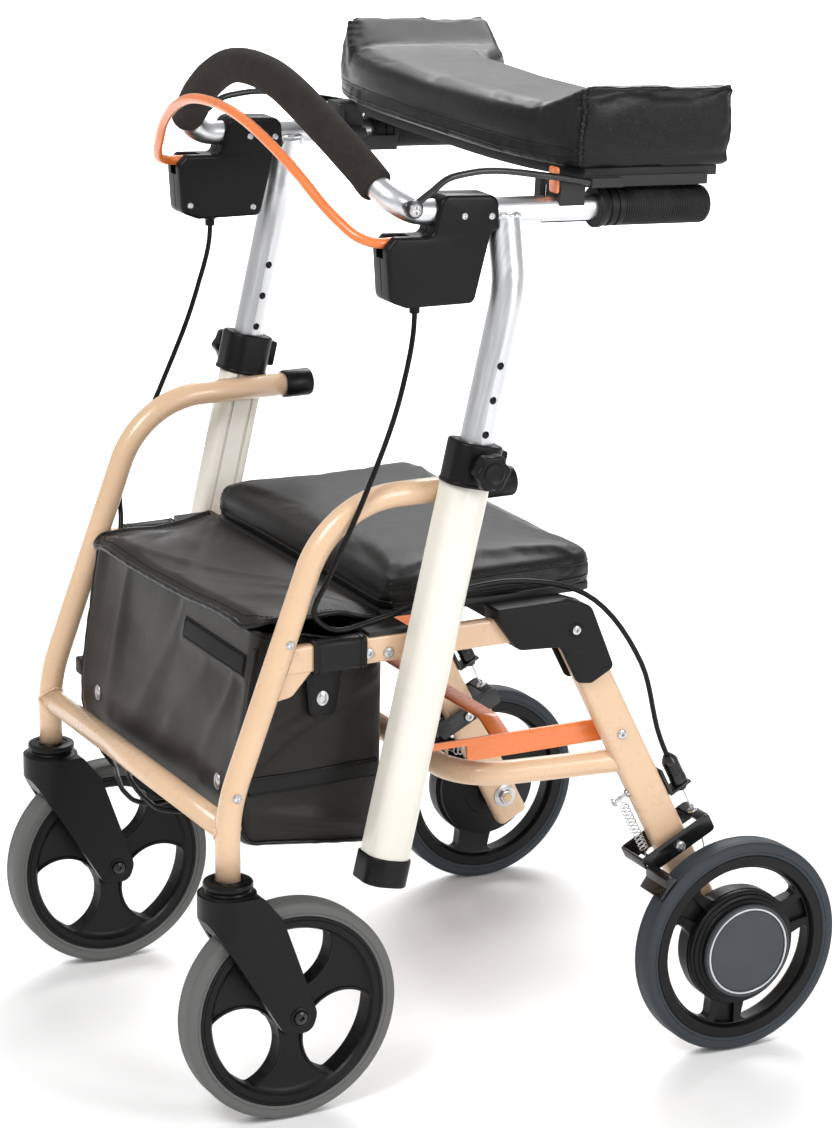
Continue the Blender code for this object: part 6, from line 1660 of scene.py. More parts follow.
def makeCables():
    last = downLeg("cableEnd")
    off = lever["cable"]
    end = [legPoint(last - 0.029, off + 0.001), legPoint(last - 0.011, off), legPoint(last, off)]
    overRail = cable["top"] + cable["overRail"] + end
    downTube = cable["top"] + cable["downTube"] + cable["slack"] + cable["upToLeg"] + end
    for side, sign, path, cut in (("left", 1, overRail, 9), ("right", -1, downTube, 13)):
        # the cable is made in two parts, an upper one by the sliding handle and a lower one by the turning legs
        points = [(sign * p[0], p[1], p[2]) for p in smoothPath(path, cable["perSpan"])]
        cut *= cable["perSpan"]
        upper = makeTube("cable", points[: cut + 2], cable["radius"], 5)
        bent(upper, "brake_cable_" + side, cable["slides"])
        lower = makeTube("cable", points[cut:], cable["radius"], 5, swell=lambda along: 0.97 if along < 0.001 else 1)
        turns = [(sign * x, y, z) for x, y, z in cable["turns"][side]]
        bent(lower, "lowerCable_" + side, turns, slotOf["brake_cable_" + side])


makeLever()
makeClamp()
makeCables()
print("brakes made")


# the forearm rest's rods


def makeArm():
    x, at = handle["x"] + 0.01445, handle["restPivot"]
    frame = handleFrameAt(0.01)
    knots = [(x, -0.107, 0.807), (x, -0.093, 0.816), (x, -0.079, 0.825), (x, -0.06, 0.8285)]
    knots += [frame @ Vector((x, 0.006, 0.03)), frame @ Vector((x, 0.0454, 0.0238))]
    rod = makeTube("arm", smoothPath(knots), 0.003, 7)
    low, high = x - 0.003, x + 0.003
    eye = makeRod("eye", (low, *at), (high, *at), 0.0078, 40, 0.0006)
    carved(eye, makeRod("hole", (low - 0.01, *at), (high + 0.01, *at), 0.0033, 24))
    bothSides(smooth(joined("arm", rod, eye), 40), "pad_arm")


makeArm()
refined("pad_base", 0.001, 3)
refined("pad_latch_left", 0.0007, 2)
refined("pad_latch_right", 0.0007, 2)
refined("seat_frame", 0.0008, 2)
print("rest hardware made")


# making soft pieces


def skin(name, spots, faces, merge=0.0, turnOut=True):
    sketch = bpy.data.meshes.new(name)
    sketch.from_pydata(spots, [], faces)
    return cleaned(linked(name, sketch), merge, turnOut=turnOut)


def gridFaces(columns, rows, closed=False):
    # faces between the rows of a grid; the rows of a closed grid are rings
    wide = columns if closed else columns + 1
    pairs = [(column, (column + 1) % wide) for column in range(columns)]
    starts = [(row * wide + here, row * wide + after) for row in range(rows) for here, after in pairs]
    return [[here, after, after + wide, here + wide] for here, after in starts]


def gridShell(name, columns, rows, levels, point):
    # a closed shell; point gives the place for (u, v, level), with level 0 the underside and 1 the top
    spots, faces, known = [], [], {}
    lastU, lastV, lastLevel = len(columns) - 1, len(rows) - 1, len(levels) - 1

    def spot(i, j, level):
        if (i, j, level) not in known:
            known[(i, j, level)] = len(spots)
            spots.append(point(columns[i], rows[j], levels[level]))
        return known[(i, j, level)]

    for i in range(lastU):
        for j in range(lastV):
            for level in (0, lastLevel):
                faces.append([spot(m, n, level) for m, n in ((i, j), (i + 1, j), (i + 1, j + 1), (i, j + 1))])
    border = [(i, 0) for i in range(lastU)] + [(lastU, j) for j in range(lastV)]
    border += [(i, lastV) for i in range(lastU, 0, -1)] + [(0, j) for j in range(lastV, 0, -1)]
    for level in range(lastLevel):
        for (i, j), (m, n) in zip(border, border[1:] + border[:1]):
            faces.append([spot(i, j, level), spot(m, n, level), spot(m, n, level + 1), spot(i, j, level + 1)])
    return skin(name, spots, faces, 0.0000002)


def spaced(edge, step):
    # shares from 0 to 1, close together at both ends
    middle = [edge[-1] + (1 - 2 * edge[-1]) * index / step for index in range(1, step)]
    return edge + middle + [1 - share for share in reversed(edge)]


cloth = {"pressure": 4.0, "frames": 20, "quality": 6}


def swelled(piece, voxel, cap, restsBelow):
    # a cloth skin blown up a little, held where it rests and where it would swell past the cap
    applied(piece, "REMESH", mode="VOXEL", voxel_size=voxel, use_smooth_shade=True)
    start = [vertex.co.copy() for vertex in piece.data.vertices]
    rest = piece.vertex_groups.new(name="rest")
    rest.add([vertex.index for vertex in piece.data.vertices if restsBelow(vertex.co)], 1.0, "ADD")
    only(piece)
    blower = piece.modifiers.new("cloth", "CLOTH")
    blower.settings.use_pressure = True
    blower.settings.uniform_pressure_force = cloth["pressure"]
    blower.settings.effector_weights.gravity = 0
    blower.settings.vertex_group_mass = "rest"
    blower.settings.quality = cloth["quality"]
    blower.point_cache.frame_start, blower.point_cache.frame_end = 1, cloth["frames"]
    for frameNumber in range(1, cloth["frames"] + 1):
        bpy.context.scene.frame_set(frameNumber)
    shaped = piece.evaluated_get(bpy.context.evaluated_depsgraph_get())
    blown = [vertex.co.copy() for vertex in shaped.data.vertices]
    piece.modifiers.remove(blower)
    piece.vertex_groups.clear()
    for vertex, before, after in zip(piece.data.vertices, start, blown):
        shift = after - before
        vertex.co = before + shift * (cap / max(cap, shift.length))
    bpy.context.scene.frame_set(1)
    applied(piece, "SUBSURF", levels=1, render_levels=1)
    return smooth(piece, 180)


def alongLine(points, pitch):
    # places every pitch along the points, each with its direction and its distance from the start
    points = [Vector(point) for point in points]
    places, walked, due = [], 0.0, 0.0
    for a, b in zip(points, points[1:]):
        gap = (b - a).length
        while gap and due <= walked + gap:
            places.append((a.lerp(b, (due - walked) / gap), (b - a).normalized(), due))
            due += pitch
        walked += gap
    return places


def pinched(piece, points, width, depth, pitch, ripple):
    # a seam drawn into the surface, with small gathers beside it
    places = alongLine(points, 0.001)
    tree = kdtree.KDTree(len(places))
    for index, found in enumerate(places):
        tree.insert(found[0], index)
    tree.balance()
    moves = []
    for vertex in piece.data.vertices:
        _, index, gap = tree.find(vertex.co)
        if gap < width:
            share = (1 - gap / width) ** 2
            wave = math.sin(math.tau * places[index][2] / pitch)
            moves.append((vertex.index, -vertex.normal * share * (depth + ripple * wave * (1 - share))))
    for index, move in moves:
        piece.data.vertices[index].co += move
    piece.data.update()


def nearest(piece, point):
    # the closest place on the skin, and the way out of it
    return piece.closest_point_on_mesh(Vector(point))[1:3]


def onSurface(piece, points, lift=0.0):
    return [place + out * lift for place, out in (nearest(piece, point) for point in points)]


def straight(start, end, count):
    return [Vector(start).lerp(Vector(end), index / count) for index in range(count + 1)]


def makeStitches(name, piece, points, pitch, length, radius, across=False):
    # thread laid in short runs on the surface, along the line or across it
    thread = bpy.data.curves.new(name, "CURVE")
    thread.dimensions = "3D"
    thread.bevel_depth = radius
    thread.bevel_resolution = 1
    thread.use_fill_caps = True
    for place, direction, _ in alongLine(points, pitch):
        spot, normal = nearest(piece, place)
        run = normal.cross(direction).normalized() if across else direction
        line = thread.splines.new("POLY")
        line.points.add(4)
        for index in range(5):
            share = index / 4 - 0.5
            near, out = nearest(piece, spot + run * length * share)
            line.points[index].co = (*(near + out * radius * (0.9 - 3.4 * share * share)), 1)
    return meshed(linked(name, thread), 0.0)


# the forearm pad


forearmPad = {
    "half": 0.2315,
    "bottom": 0.0345,
    "flat": 0.0455,
    "wing": 0.0285,
    "wingFoot": 0.177,
    "edge": 0.0042,
    "seams": (0.0075, 0.016),
    "voxel": 0.0045,
    "cap": 0.0035,
}


def padPlace():
    return handleFrameAt(0.01)


def padFrontRear(x):
    side = min(1.0, abs(x) / forearmPad["half"])
    return 0.0015 + 0.033 * side**4, 0.1365 + 0.049 / (1 + math.exp(-(abs(x) - 0.15) / 0.011))


def padTop(x):
    foot, half = forearmPad["wingFoot"], forearmPad["half"]
    past = (abs(x) - foot) / 0.004
    climb = 0.004 * math.log1p(math.exp(min(past, 30.0))) / (half - foot)  # a soft start to the wing
    dip = 0.003 * max(0.0, 1 - abs(x) / foot)
    return forearmPad["bottom"] + forearmPad["flat"] + forearmPad["wing"] * min(climb, 1.02) - dip


def padPoint(u, v, level):
    half, bottom, edge = forearmPad["half"], forearmPad["bottom"], forearmPad["edge"]
    u = 2 * u - 1
    x = u * half
    front, rear = padFrontRear(x)
    y = front + v * (rear - front)
    top = padTop(x)
    if level == 1:
        fromSide, fromEnd = min(v, 1 - v) * (rear - front), (1 - abs(u)) * half
        over = [max(0.0, edge - gap) for gap in (fromSide, fromEnd)]
        drop = edge - math.sqrt(max(0.0, edge**2 - over[0] ** 2 - over[1] ** 2))
        crown = 0.0028 * (1 - math.exp(-fromSide / 0.018)) * (1.0 if abs(x) < forearmPad["wingFoot"] else 0.35)
        return x, y, top - drop + crown - 0.0012
    if level == 0:
        return x * 0.99, front + 0.003 + v * (rear - front - 0.006), bottom
    height = bottom + 0.0015 + (top - edge - bottom - 0.0027) * level
    tuck = 0.0016 * math.exp(-(((height - bottom - 0.012) / 0.006) ** 2)) - 0.0012 * math.sin(math.pi * level)
    swell = 0.001 * math.sin(math.pi * level)
    shift = tuck if v == 0 else (-tuck if v == 1 else 0)
    reach = 1 - (0.0035 - swell) / half if abs(u) == 1 else 1
    return x * reach, y + shift, height


def makeFootClip():
    # a small orange release tab ahead of the near foot of the pad's base
    outline = roundedOutline([(0.2265, 0.804), (0.2265, 0.8262), (0.213, 0.8262), (0.213, 0.804)], 0.0022, 15)
    clip = makeSlab("clip", [outline], -0.029, -0.0262, crossPlane, 0.0005, 2)
    added(clip, "footClip", "forearm_rest", "orange_paint")


def makeForearmPad():
    half, bottom, place = forearmPad["half"], forearmPad["bottom"], padPlace()
    columns, rows = spaced([0, 0.0016, 0.0045, 0.0095], 96), spaced([0, 0.005, 0.014, 0.03], 30)
    levels = [0, 0.03, 0.12, 0.22, 0.32, 0.45, 0.6, 0.75, 0.9, 0.999, 1]
    pad = turnedBy(gridShell("forearmPad", columns, rows, levels, padPoint), place)
    back = place.inverted()
    swelled(pad, forearmPad["voxel"], forearmPad["cap"], lambda spot: (back @ spot).z < bottom + 0.003)
    trims, threads = [], []

    def seam(spot, count, *pinch):
        # a line laid on the blown skin and drawn into it
        line = onSurface(pad, [place @ Vector(spot(index / count)) for index in range(count + 1)])
        pinched(pad, line, *pinch)
        return line

    def trim(name, line, lift, radius, rings, swell=None):
        trims.append(makeTube(name, onSurface(pad, line, lift), radius, rings, swell=swell))

    def ahead(height):
        # along the whole front at this height
        def spot(t):
            x = (2 * t - 1) * (half - 0.002)
            return x, padFrontRear(x)[0] - 0.002, bottom + height

        return spot

    for height in forearmPad["seams"]:
        trim("piping", seam(ahead(height), 120, 0.0055, 0.0007, 0.017, 0.0002), -0.0001, 0.00075, 3)
    seam(ahead(0.04), 120, 0.006, 0.0003, 0.009, 0.0003)

    def rolled(t):
        # a lumpy roll that grows towards its rear end
        return 0.9 + 0.07 * math.sin(47 * t) + 0.25 * max(0.0, t - 0.94) / 0.06

    for side in (1, -1):
        x, foot = side * (half - 0.0006), forearmPad["wingFoot"] * side
        front, rear = padFrontRear(x)
        top = padTop(x) - 0.004

        def upright(y):
            return lambda t: (x, y, bottom + 0.001 + (top - bottom) * t)

        corner = seam(upright(front + 0.0002), 60, 0.011, 0.0016, 0.0072, 0.0011)
        trim("cornerSeam", corner, 0.0004, 0.0018, 5, lumpy((0.22, 74), (0.08, 191)))
        threads.append(makeStitches("thread", pad, onSurface(pad, corner), 0.0046, 0.0075, 0.00085, True))
        corner = seam(upright(rear - 0.0008), 60, 0.009, 0.0006, 0.021, 0.0006)
        trim("rearSeam", corner, -0.0008, 0.0016, 5, lumpy((0.15, 31)))
        along = [x - side * 0.001, front + 0.003, rear - front - 0.006, top + 0.006]
        ridge = seam(lambda t: (along[0], along[1] + along[2] * t, along[3]), 90, 0.013, 0.0002, 0.0055, 0.00035)
        trim("ridgeRoll", ridge, -0.0012, 0.0023, 6, rolled)
        fold = [front + 0.006, rear - front - 0.012, bottom + 0.0095]
        seam(lambda t: (x, fold[0] + fold[1] * t, fold[2] + 0.0012 * math.sin(9 * t)), 60, 0.006, 0.0011, 0.031, 0.0004)
        seam(lambda t: (foot, 0.016 + 0.14 * t, padTop(foot)), 60, 0.007, 0.001, 0.013, 0.00025)
        tick = [padFrontRear(foot)[0], padTop(foot) - 0.006]
        tuck = [0.01, 0.0016, 0.004, 0.0008]
        seam(lambda t: (foot + side * 0.004 * t, tick[0] + 0.006 * t, tick[1] + 0.004 * t), 20, *tuck)
    fitted(smooth(pad, 60), "forearm_pad", "black_vinyl")
    added(joined("padTrim", *trims), "padTrim", "forearm_rest", "pipingVinyl", "black_vinyl")
    added(joined("padThread", *threads), "padThread", "forearm_rest", "blackThread", "black_vinyl")


makeForearmPad()
makeFootClip()
print("forearm pad made")


# the seat cushion


seatCushion = {
    "half": 0.183,
    "front": -0.112,
    "rear": 0.107,
    "top": 0.47,
    "bottom": 0.44,
    "corners": (0.012, 0.03),
    "seams": (0.461, 0.4465),
    "voxel": 0.0045,
    "cap": 0.004,
}


def seatOutline(inset=0.0, height=None):
    # the seat from above: tight front corners, round rear ones
    side, front, rear = seatCushion["half"] - inset, seatCushion["front"] + inset, seatCushion["rear"] - inset
    small, large = (max(0.004, corner - inset) for corner in seatCushion["corners"])
    corners = [(side, front), (side, rear), (-side, rear), (-side, front)]
    outline = evened(roundedOutline(corners, [small, large, large, small], 6), 220)
    return outline if height is None else [(x, y, height) for x, y in outline]


def evened(outline, count):
    # the closed outline as count points, evenly spaced from its first one
    outline = [Vector(spot) for spot in outline]
    closed = outline + [outline[0]]
    gaps = [(b - a).length for a, b in zip(closed, closed[1:])]
    pitch, places, index, walked = sum(gaps) / count, [], 0, 0.0
    for step in range(count):
        due = pitch * step
        while walked + gaps[index] < due:
            walked += gaps[index]
            index += 1
        places.append(tuple(closed[index].lerp(closed[index + 1], (due - walked) / gaps[index])))
    return places


def lofted(name, rings, lid=True):
    # a skin through rings of equally many points; a lid closes the two ends
    count = len(rings[0])
    spots = [spot for ring in rings for spot in ring]
    faces = gridFaces(count, len(rings) - 1, True)
    if lid:
        for level in (0, len(rings) - 1):
            spots.append(tuple(middleOf(rings[level])))
            start = level * count
            faces += [[start + index, start + (index + 1) % count, len(spots) - 1] for index in range(count)]
    return skin(name, spots, faces, 0.0000002)


def middleOf(ring):
    return sum((Vector(spot) for spot in ring), Vector()) / len(ring)


def makeSeatCushion():
    half, front, top, bottom = (seatCushion[key] for key in ("half", "front", "top", "bottom"))
    rings = [[(x * share, y * share, bottom) for x, y in seatOutline(0.006)] for share in (0.1, 0.35, 0.65, 0.88)]
    steps = [(0.006, 0.0), (0.003, 0.001), (0.0012, 0.0045), (0.0022, 0.0068), (0.0008, 0.0095), (0.0, 0.014)]
    steps += [(0.0006, 0.018), (0.0018, 0.0205), (0.0014, 0.0222), (0.0034, 0.0262), (0.0068, 0.0284)]
    rings += [[(x, y, bottom + height) for x, y in seatOutline(inset)] for inset, height in steps]
    for inset in (0.012, 0.022, 0.036, 0.052, 0.07, 0.088, 0.1):
        share = min(1.0, inset / 0.088)
        rings.append([(x, y, bottom + 0.0284 + 0.0042 * share * (2 - share)) for x, y in seatOutline(inset)])
    cushion = lofted("seatCushion", rings)
    swelled(cushion, seatCushion["voxel"], seatCushion["cap"], lambda spot: spot.z < bottom + 0.003)
    high, low = seatCushion["seams"]
    around = seatOutline(0.0, high)
    upper = onSurface(cushion, [spot for spot in [around[-1]] + around[:-1] if spot[1] > front + 0.0015])
    lower = onSurface(cushion, seatOutline(0.0, low) + seatOutline(0.0, low)[:1])
    pinched(cushion, upper, 0.005, 0.001, 0.011, 0.00035)
    pinched(cushion, lower, 0.005, 0.001, 0.017, 0.00035)
    for side in (1, -1):
        for reach in (0.004, 0.016):
            start, end = (side * (half - reach), front, top), (side * (half - reach * 0.6), front, bottom + 0.004)
            pinched(cushion, onSurface(cushion, straight(start, end, 20)), 0.009, 0.0012, 0.0062, 0.0013)
        long = straight((side * (half - 0.02), front + 0.012, top), (side * 0.06, front + 0.03, top), 30)
        pinched(cushion, onSurface(cushion, long), 0.012, 0.0006, 0.05, 0.0003)
    fitted(smooth(cushion, 70), "seat_cushion", "black_vinyl")
    bumps = lumpy((0.08, 210))
    pipings = [makeTube("piping", onSurface(cushion, line, 0.0001), 0.0011, 4, swell=bumps) for line in (upper, lower)]
    added(joined("seatPiping", *pipings), "seatPiping", "base", "pipingVinyl", "black_vinyl")
    above = onSurface(cushion, [spot for spot in seatOutline(0.0, high + 0.0032) if spot[1] > front + 0.0015])
    thread = makeStitches("seatThread", cushion, above, 0.0042, 0.003, 0.00042)
    added(thread, "seatThread", "base", "blackThread", "black_vinyl")


makeSeatCushion()
print("seat cushion made")


# the bag, its flap and straps


bag = {
    "half": 0.1796,
    "rim": 0.4275,
    "bottom": 0.24,
    "front": [
        (0.24, 0.241), (0.2485, 0.255), (0.2525, 0.275), (0.252, 0.3), (0.247, 0.34), (0.24, 0.385), (0.233, 0.43),
    ],
    "rear": (0.1105, 0.1085),
    "corner": 0.013,
    "round": 0.015,
    "wall": 0.0018,
    "ridges": [(-0.098, -0.118, 0.013), (0.026, -0.07, 0.017), (0.098, -0.004, 0.015), (0.15, 0.088, 0.012)],
    "sideRidges": [
        ((-0.236, 0.316), (-0.16, 0.366), 0.0055),
        ((-0.23, 0.334), (-0.11, 0.384), 0.006),
        ((-0.215, 0.268), (-0.12, 0.248), 0.007),
    ],
    "foldDepth": 0.0042,
    "label": ((0.036, 0.3945), (0.168, 0.415)),
    "bandZ": 0.298,
    "bandEdge": [
        (-0.0088, -0.0006), (-0.0084, 0.0013), (-0.004, 0.0016), (0.004, 0.0016), (0.0084, 0.0013), (0.0088, -0.0006),
    ],
    "tab": [(0.1772, 0.2975), (0.192, 0.2975), (0.192, 0.3135), (0.1772, 0.3135)],
}


def steady(t):
    t = max(0.0, min(1.0, t))
    return t * t * (3 - 2 * t)


def hump(gap, width):
    return math.exp(-((gap / width) ** 2))


def bagFront(z):
    # where the front panel stands at this height
    knots = bag["front"]
    for (a, low), (b, high) in zip(knots, knots[1:]):
        if low < z <= high:
            share = (z - low) / (high - low)
            return -(a + (b - a) * steady(share) * 0.35 + (b - a) * share * 0.65)
    return -knots[0][0] if z <= knots[0][1] else -knots[-1][0]


def bagBottom(y):
    return 0.2405 - 0.125 * (y + 0.235)


def bagSag(x, y, z):
    # folds of the front and side panels, drawn inwards from the flat shape
    front, rear = bagFront(z), -bag["rear"][1]
    fall = steady((bag["rim"] - z) / 0.19)
    move = Vector((0, 0, 0))
    if y < front + 0.012:
        middle = 1 - steady((abs(x) - 0.15) / 0.028)
        rise = 0.0
        for topX, lowX, width in bag["ridges"]:
            lineX = topX + (lowX - topX) * fall + 0.004 * math.sin(31 * z + 9 * topX)
            rise += hump(x - lineX, width * (0.55 + 0.9 * fall)) * (1 - 0.6 * steady((fall - 0.55) / 0.45))
        wide = 0.35 * math.cos(23 * x + 40 * z) + 0.2 * math.sin(61 * x - 33 * z)
        (lowX, lowZ), (highX, _) = bag["label"]
        flat = steady((x - lowX + 0.012) / 0.01) * steady((highX + 0.01 - x) / 0.008)
        flat *= steady((z - lowZ + 0.01) / 0.009)
        move.y = bag["foldDepth"] * ((1 - min(1.0, rise)) * (0.75 + wide) * middle * (1 - flat) + 0.12 * flat)
    if abs(x) > bag["half"] - 0.004:
        along = (y - front) / (rear - front)
        middle = steady(along / 0.12) * steady((1 - along) / 0.1)
        rise = 0.0
        for (y0, z0), (y1, z1), width in bag["sideRidges"]:
            rise += hump(z - (z0 + (z1 - z0) * (y - y0) / (y1 - y0)), width)
        hollow = 0.5 + 0.5 * math.cos((along - 0.45) * 7 + 18 * (z - 0.3))
        held = hump(z - bag["bandZ"], 0.011)
        depth = 0.0052 * (1 - min(1.0, rise)) * (0.45 + 0.55 * hollow) * (1 - held) + 0.0016 * held
        move.x = -math.copysign(depth * middle, x)
    return move


def bagRing(share, inset=0.0, drop=0.0):
    # one closed line round the bag: share 1 at the rim, 0 where the bottom's round edge starts
    half, low, rim = bag["half"] - inset, bag["bottom"] + bag["round"], bag["rim"]
    front = bagFront(low + (rim - low) * share) + inset
    rear = -(bag["rear"][0] + (bag["rear"][1] - bag["rear"][0]) * share) - inset
    radius = max(0.004, bag["corner"] - inset * 0.4)
    corners = [(0, front), (half, front), (half, rear), (-half, rear), (-half, front)]
    ring = []
    for x, y in evened(roundedOutline(corners, [0, radius, radius, radius, radius], 7), 360):
        foot = bagBottom(y) + bag["round"]
        sagged = 0.006 * steady(share) * (1 - ((y + 0.17) / 0.075) ** 2) if abs(x) > half - 0.002 else 0.0
        lift = 0.008 * steady((x / half + 0.2) / 1.1) * steady((share - 0.5) / 0.5) * steady((-0.15 - y) / 0.05)
        height = foot + (rim - max(0.0, sagged) - foot) * share - drop + lift
        shift = bagSag(x, y, height) * (1.0 if not inset else max(0.0, 1 - inset / 0.012))
        ring.append((x + shift.x, y + shift.y, height))
    return ring


def makeSideBand(shell, side):
    # the belt round one side, with a thread along each of its edges
    reach, z = [-0.24 + 0.124 * index / 48 for index in range(49)], bag["bandZ"]
    spots, edge = [], bag["bandEdge"]
    for y in reach:
        near = nearest(shell, (side * 0.185, y, z))[0]
        spots += [(near.x + side * lift, y, z + height + 0.0008 * math.sin(40 * y)) for height, lift in edge]
    ends = [list(range(len(edge))), list(range(len(spots) - len(edge), len(spots)))]
    band = eased(skin("sideBand", spots, gridFaces(len(edge), len(reach) - 1, True) + ends), 0.0004, 2, 50)
    lines = [[(side * 0.186, y, z + height) for y in reach] for height in (-0.0068, 0.0068)]
    return band, [makeStitches("thread", band, line, 0.0044, 0.003, 0.00035) for line in lines]


def makeBag():
    curve, half = bag["round"], bag["half"]
    rings = [bagRing(1 - index / 46) for index in range(46)]
    for turn in range(0, 91, 15):
        angle = math.radians(turn)
        rings.append(bagRing(0.0, curve * (1 - math.cos(angle)), curve * math.sin(angle)))
    base, middle = rings[-1], middleOf(rings[-1])
    for share in (0.86, 0.66, 0.42, 0.18, 0.02):
        rings.append([tuple(middle.lerp(Vector(spot), share) + Vector((0, 0, -0.0022 * (1 - share)))) for spot in base])
    shell = lofted("bag", rings, lid=False)
    applied(shell, "SOLIDIFY", thickness=bag["wall"], offset=-1.0)
    smooth(shell, 60)
    pipes, bands, threads, tabs = [], [], [], []
    for side in (1, -1):
        x = side * (half - 0.003)
        heights = [0.4215 - (0.4215 - 0.262) * index / 59 for index in range(0, 60, 6)]
        down = [(x, bagFront(z) + 0.0024, z) for z in heights]
        under = [(x, y, bagBottom(y) + 0.0055) for y in (-0.2365 + 0.12 * index / 40 for index in range(0, 41, 5))]
        line = onSurface(shell, smoothPath(down + under, 6), 0.0004)
        pipes.append(makeTube("piping", line, 0.0019, 5, swell=lumpy((0.1, 90))))
    low = [((2 * step / 60 - 1) * (half - 0.004), bagFront(0.256) - 0.002, 0.255) for step in range(61)]
    pipes.append(makeTube("piping", onSurface(shell, low, 0.0003), 0.0015, 4))
    rim = [Vector(spot) + Vector((0, 0, 0.0002)) for spot in rings[0]]
    pipes.append(makeTube("rimHem", rim[::2], 0.0024, 5, cyclic=True))
    for side in (1, -1):
        band, seams = makeSideBand(shell, side)
        bands.append(band)
        threads += seams
    fitted(shell, "bag", "bag_vinyl")
    added(joined("bagPiping", *pipes), "bagPiping", "base", "pipingVinyl", "bag_vinyl")
    added(joined("sideBand", *bands), "sideBand", "base", "hemVinyl", "bag_vinyl")
    threads.append(makePatch(shell))
    added(joined("bagThread", *threads), "bagThread", "base", "blackThread", "bag_vinyl")
    for side in (1, -1):
        outline = roundedOutline([(side * x, z) for x, z in bag["tab"]][::side], 0.0028, 15)
        tabs.append(makeSlab("tab", [outline], 0.2424, 0.2498, crossPlane, 0.0012, 3))
    added(joined("bagTabs", *tabs), "bagTabs", "base", "hemVinyl", "bag_vinyl")


def makePatch(shell):
    # a plain label: a thin plate laid on the front panel, with a stitched border
    (lowX, lowZ), (highX, highZ) = bag["label"]
    columns, rows, inset = 44, 8, 0.002
    top = []
    for j in range(rows + 1):
        for i in range(columns + 1):
            x, z = lowX + (highX - lowX) * i / columns, lowZ + (highZ - lowZ) * j / rows
            near, out = nearest(shell, (x, bagFront(z) - 0.004, z))
            inner = min(i, columns - i, 2 * j, 2 * (rows - j)) > 0
            top.append(tuple(near + out * (0.0012 if inner else 0.0002)))
    plate = skin("labelPatch", top, gridFaces(columns, rows), turnOut=False)
    if plate.data.polygons[columns * rows // 2].normal.y > 0:
        plate.data.flip_normals()
    applied(plate, "SOLIDIFY", thickness=0.001, offset=-1.0)
    added(smooth(plate, 40), "labelPatch", "base", "labelVinyl", "bag_vinyl")
    x0, x1, z0, z1 = lowX + inset, highX - inset, lowZ + inset, highZ - inset
    spots = [(x, bagFront(z) - 0.004, z) for x, z in ((x0, z0), (x1, z0), (x1, z1), (x0, z1), (x0, z0))]
    line = []
    for (xA, y, zA), (xB, _, zB) in zip(spots, spots[1:]):
        line += [Vector((xA + (xB - xA) * index / 40, y, zA + (zB - zA) * index / 40)) for index in range(40)]
    return makeStitches("thread", plate, onSurface(plate, line), 0.0036, 0.0025, 0.00032)


def makeRivet(place, direction, width, height):
    # a domed oval rivet head with a rolled rim
    profile = [(0.0, 0.0017), (0.35, 0.0016), (0.62, 0.0012), (0.7, 0.0008), (0.74, 0.0008), (0.86, 0.0013)]
    profile += [(0.97, 0.0009), (1.0, 0.0003), (0.98, -0.0008)]
    head = makeLathe("rivet", [(r * 0.5, h) for r, h in profile], Matrix.Identity(4), 40)
    head.data.transform(Matrix.Diagonal((width, height, 1, 1)))
    return turnedBy(head, facing(place, direction))


makeBag()
print("bag made")


flap = {
    "half": 0.1815,
    "hinge": -0.1155,
    "front": -0.2395,
    "height": 0.4402,
    "lift": 0.0095,
    "lip": 0.0085,
    "sag": 0.003,
    "corner": 0.024,
    "wall": 0.0016,
    "hem": 0.0027,
    "flat": (0.363, 0.132),
    "creases": [
        (0.165, -0.02, 0.01, 0.0024), (0.172, 0.085, 0.009, 0.0022), (0.15, -0.13, 0.013, 0.0018),
        (-0.165, -0.09, 0.01, 0.0018), (-0.16, 0.03, 0.014, 0.0012),
    ],
}


def flapHeight(x, y):
    # the lid sags between its edges, droops over the near and far sides and creases towards the hinge's ends
    t = (flap["hinge"] - y) / (flap["hinge"] - flap["front"])
    s = x / flap["half"]
    droop = 0.0075 * steady((-s - 0.72) / 0.28) * steady(t / 0.3) + 0.003 * steady((s - 0.86) / 0.14)
    droop -= flap["lift"] * steady((s + 0.25) / 1.1) * steady(t / 0.35)  # the near end stands a little higher
    lip = flap["lip"] * steady((t - 0.9) / 0.1)
    sag = flap["sag"] * (1 - s * s) * math.sin(math.pi * min(1.0, t * 1.05)) * (0.6 + 0.4 * math.cos(3.1 * s))
    creases = 0.0
    for startX, endX, width, rise in flap["creases"]:
        ridge = hump(x - (startX + (endX - startX) * t), width * (0.6 + 0.9 * t))
        creases += rise * ridge * steady((1 - t) / 0.25) * steady(t / 0.1)
    wave = 0.0006 * math.sin(47 * x + 15 * t) * steady(t / 0.2)
    return flap["height"] - droop - lip - sag + creases + wave


def flapOutline(inset=0.0):
    half, hinge, front, corner = flap["half"] - inset, flap["hinge"], flap["front"] + inset, flap["corner"]
    corners = [(half, hinge), (half, front), (-half, front), (-half, hinge)]
    return roundedOutline(corners, [0, corner, corner, 0], 6)


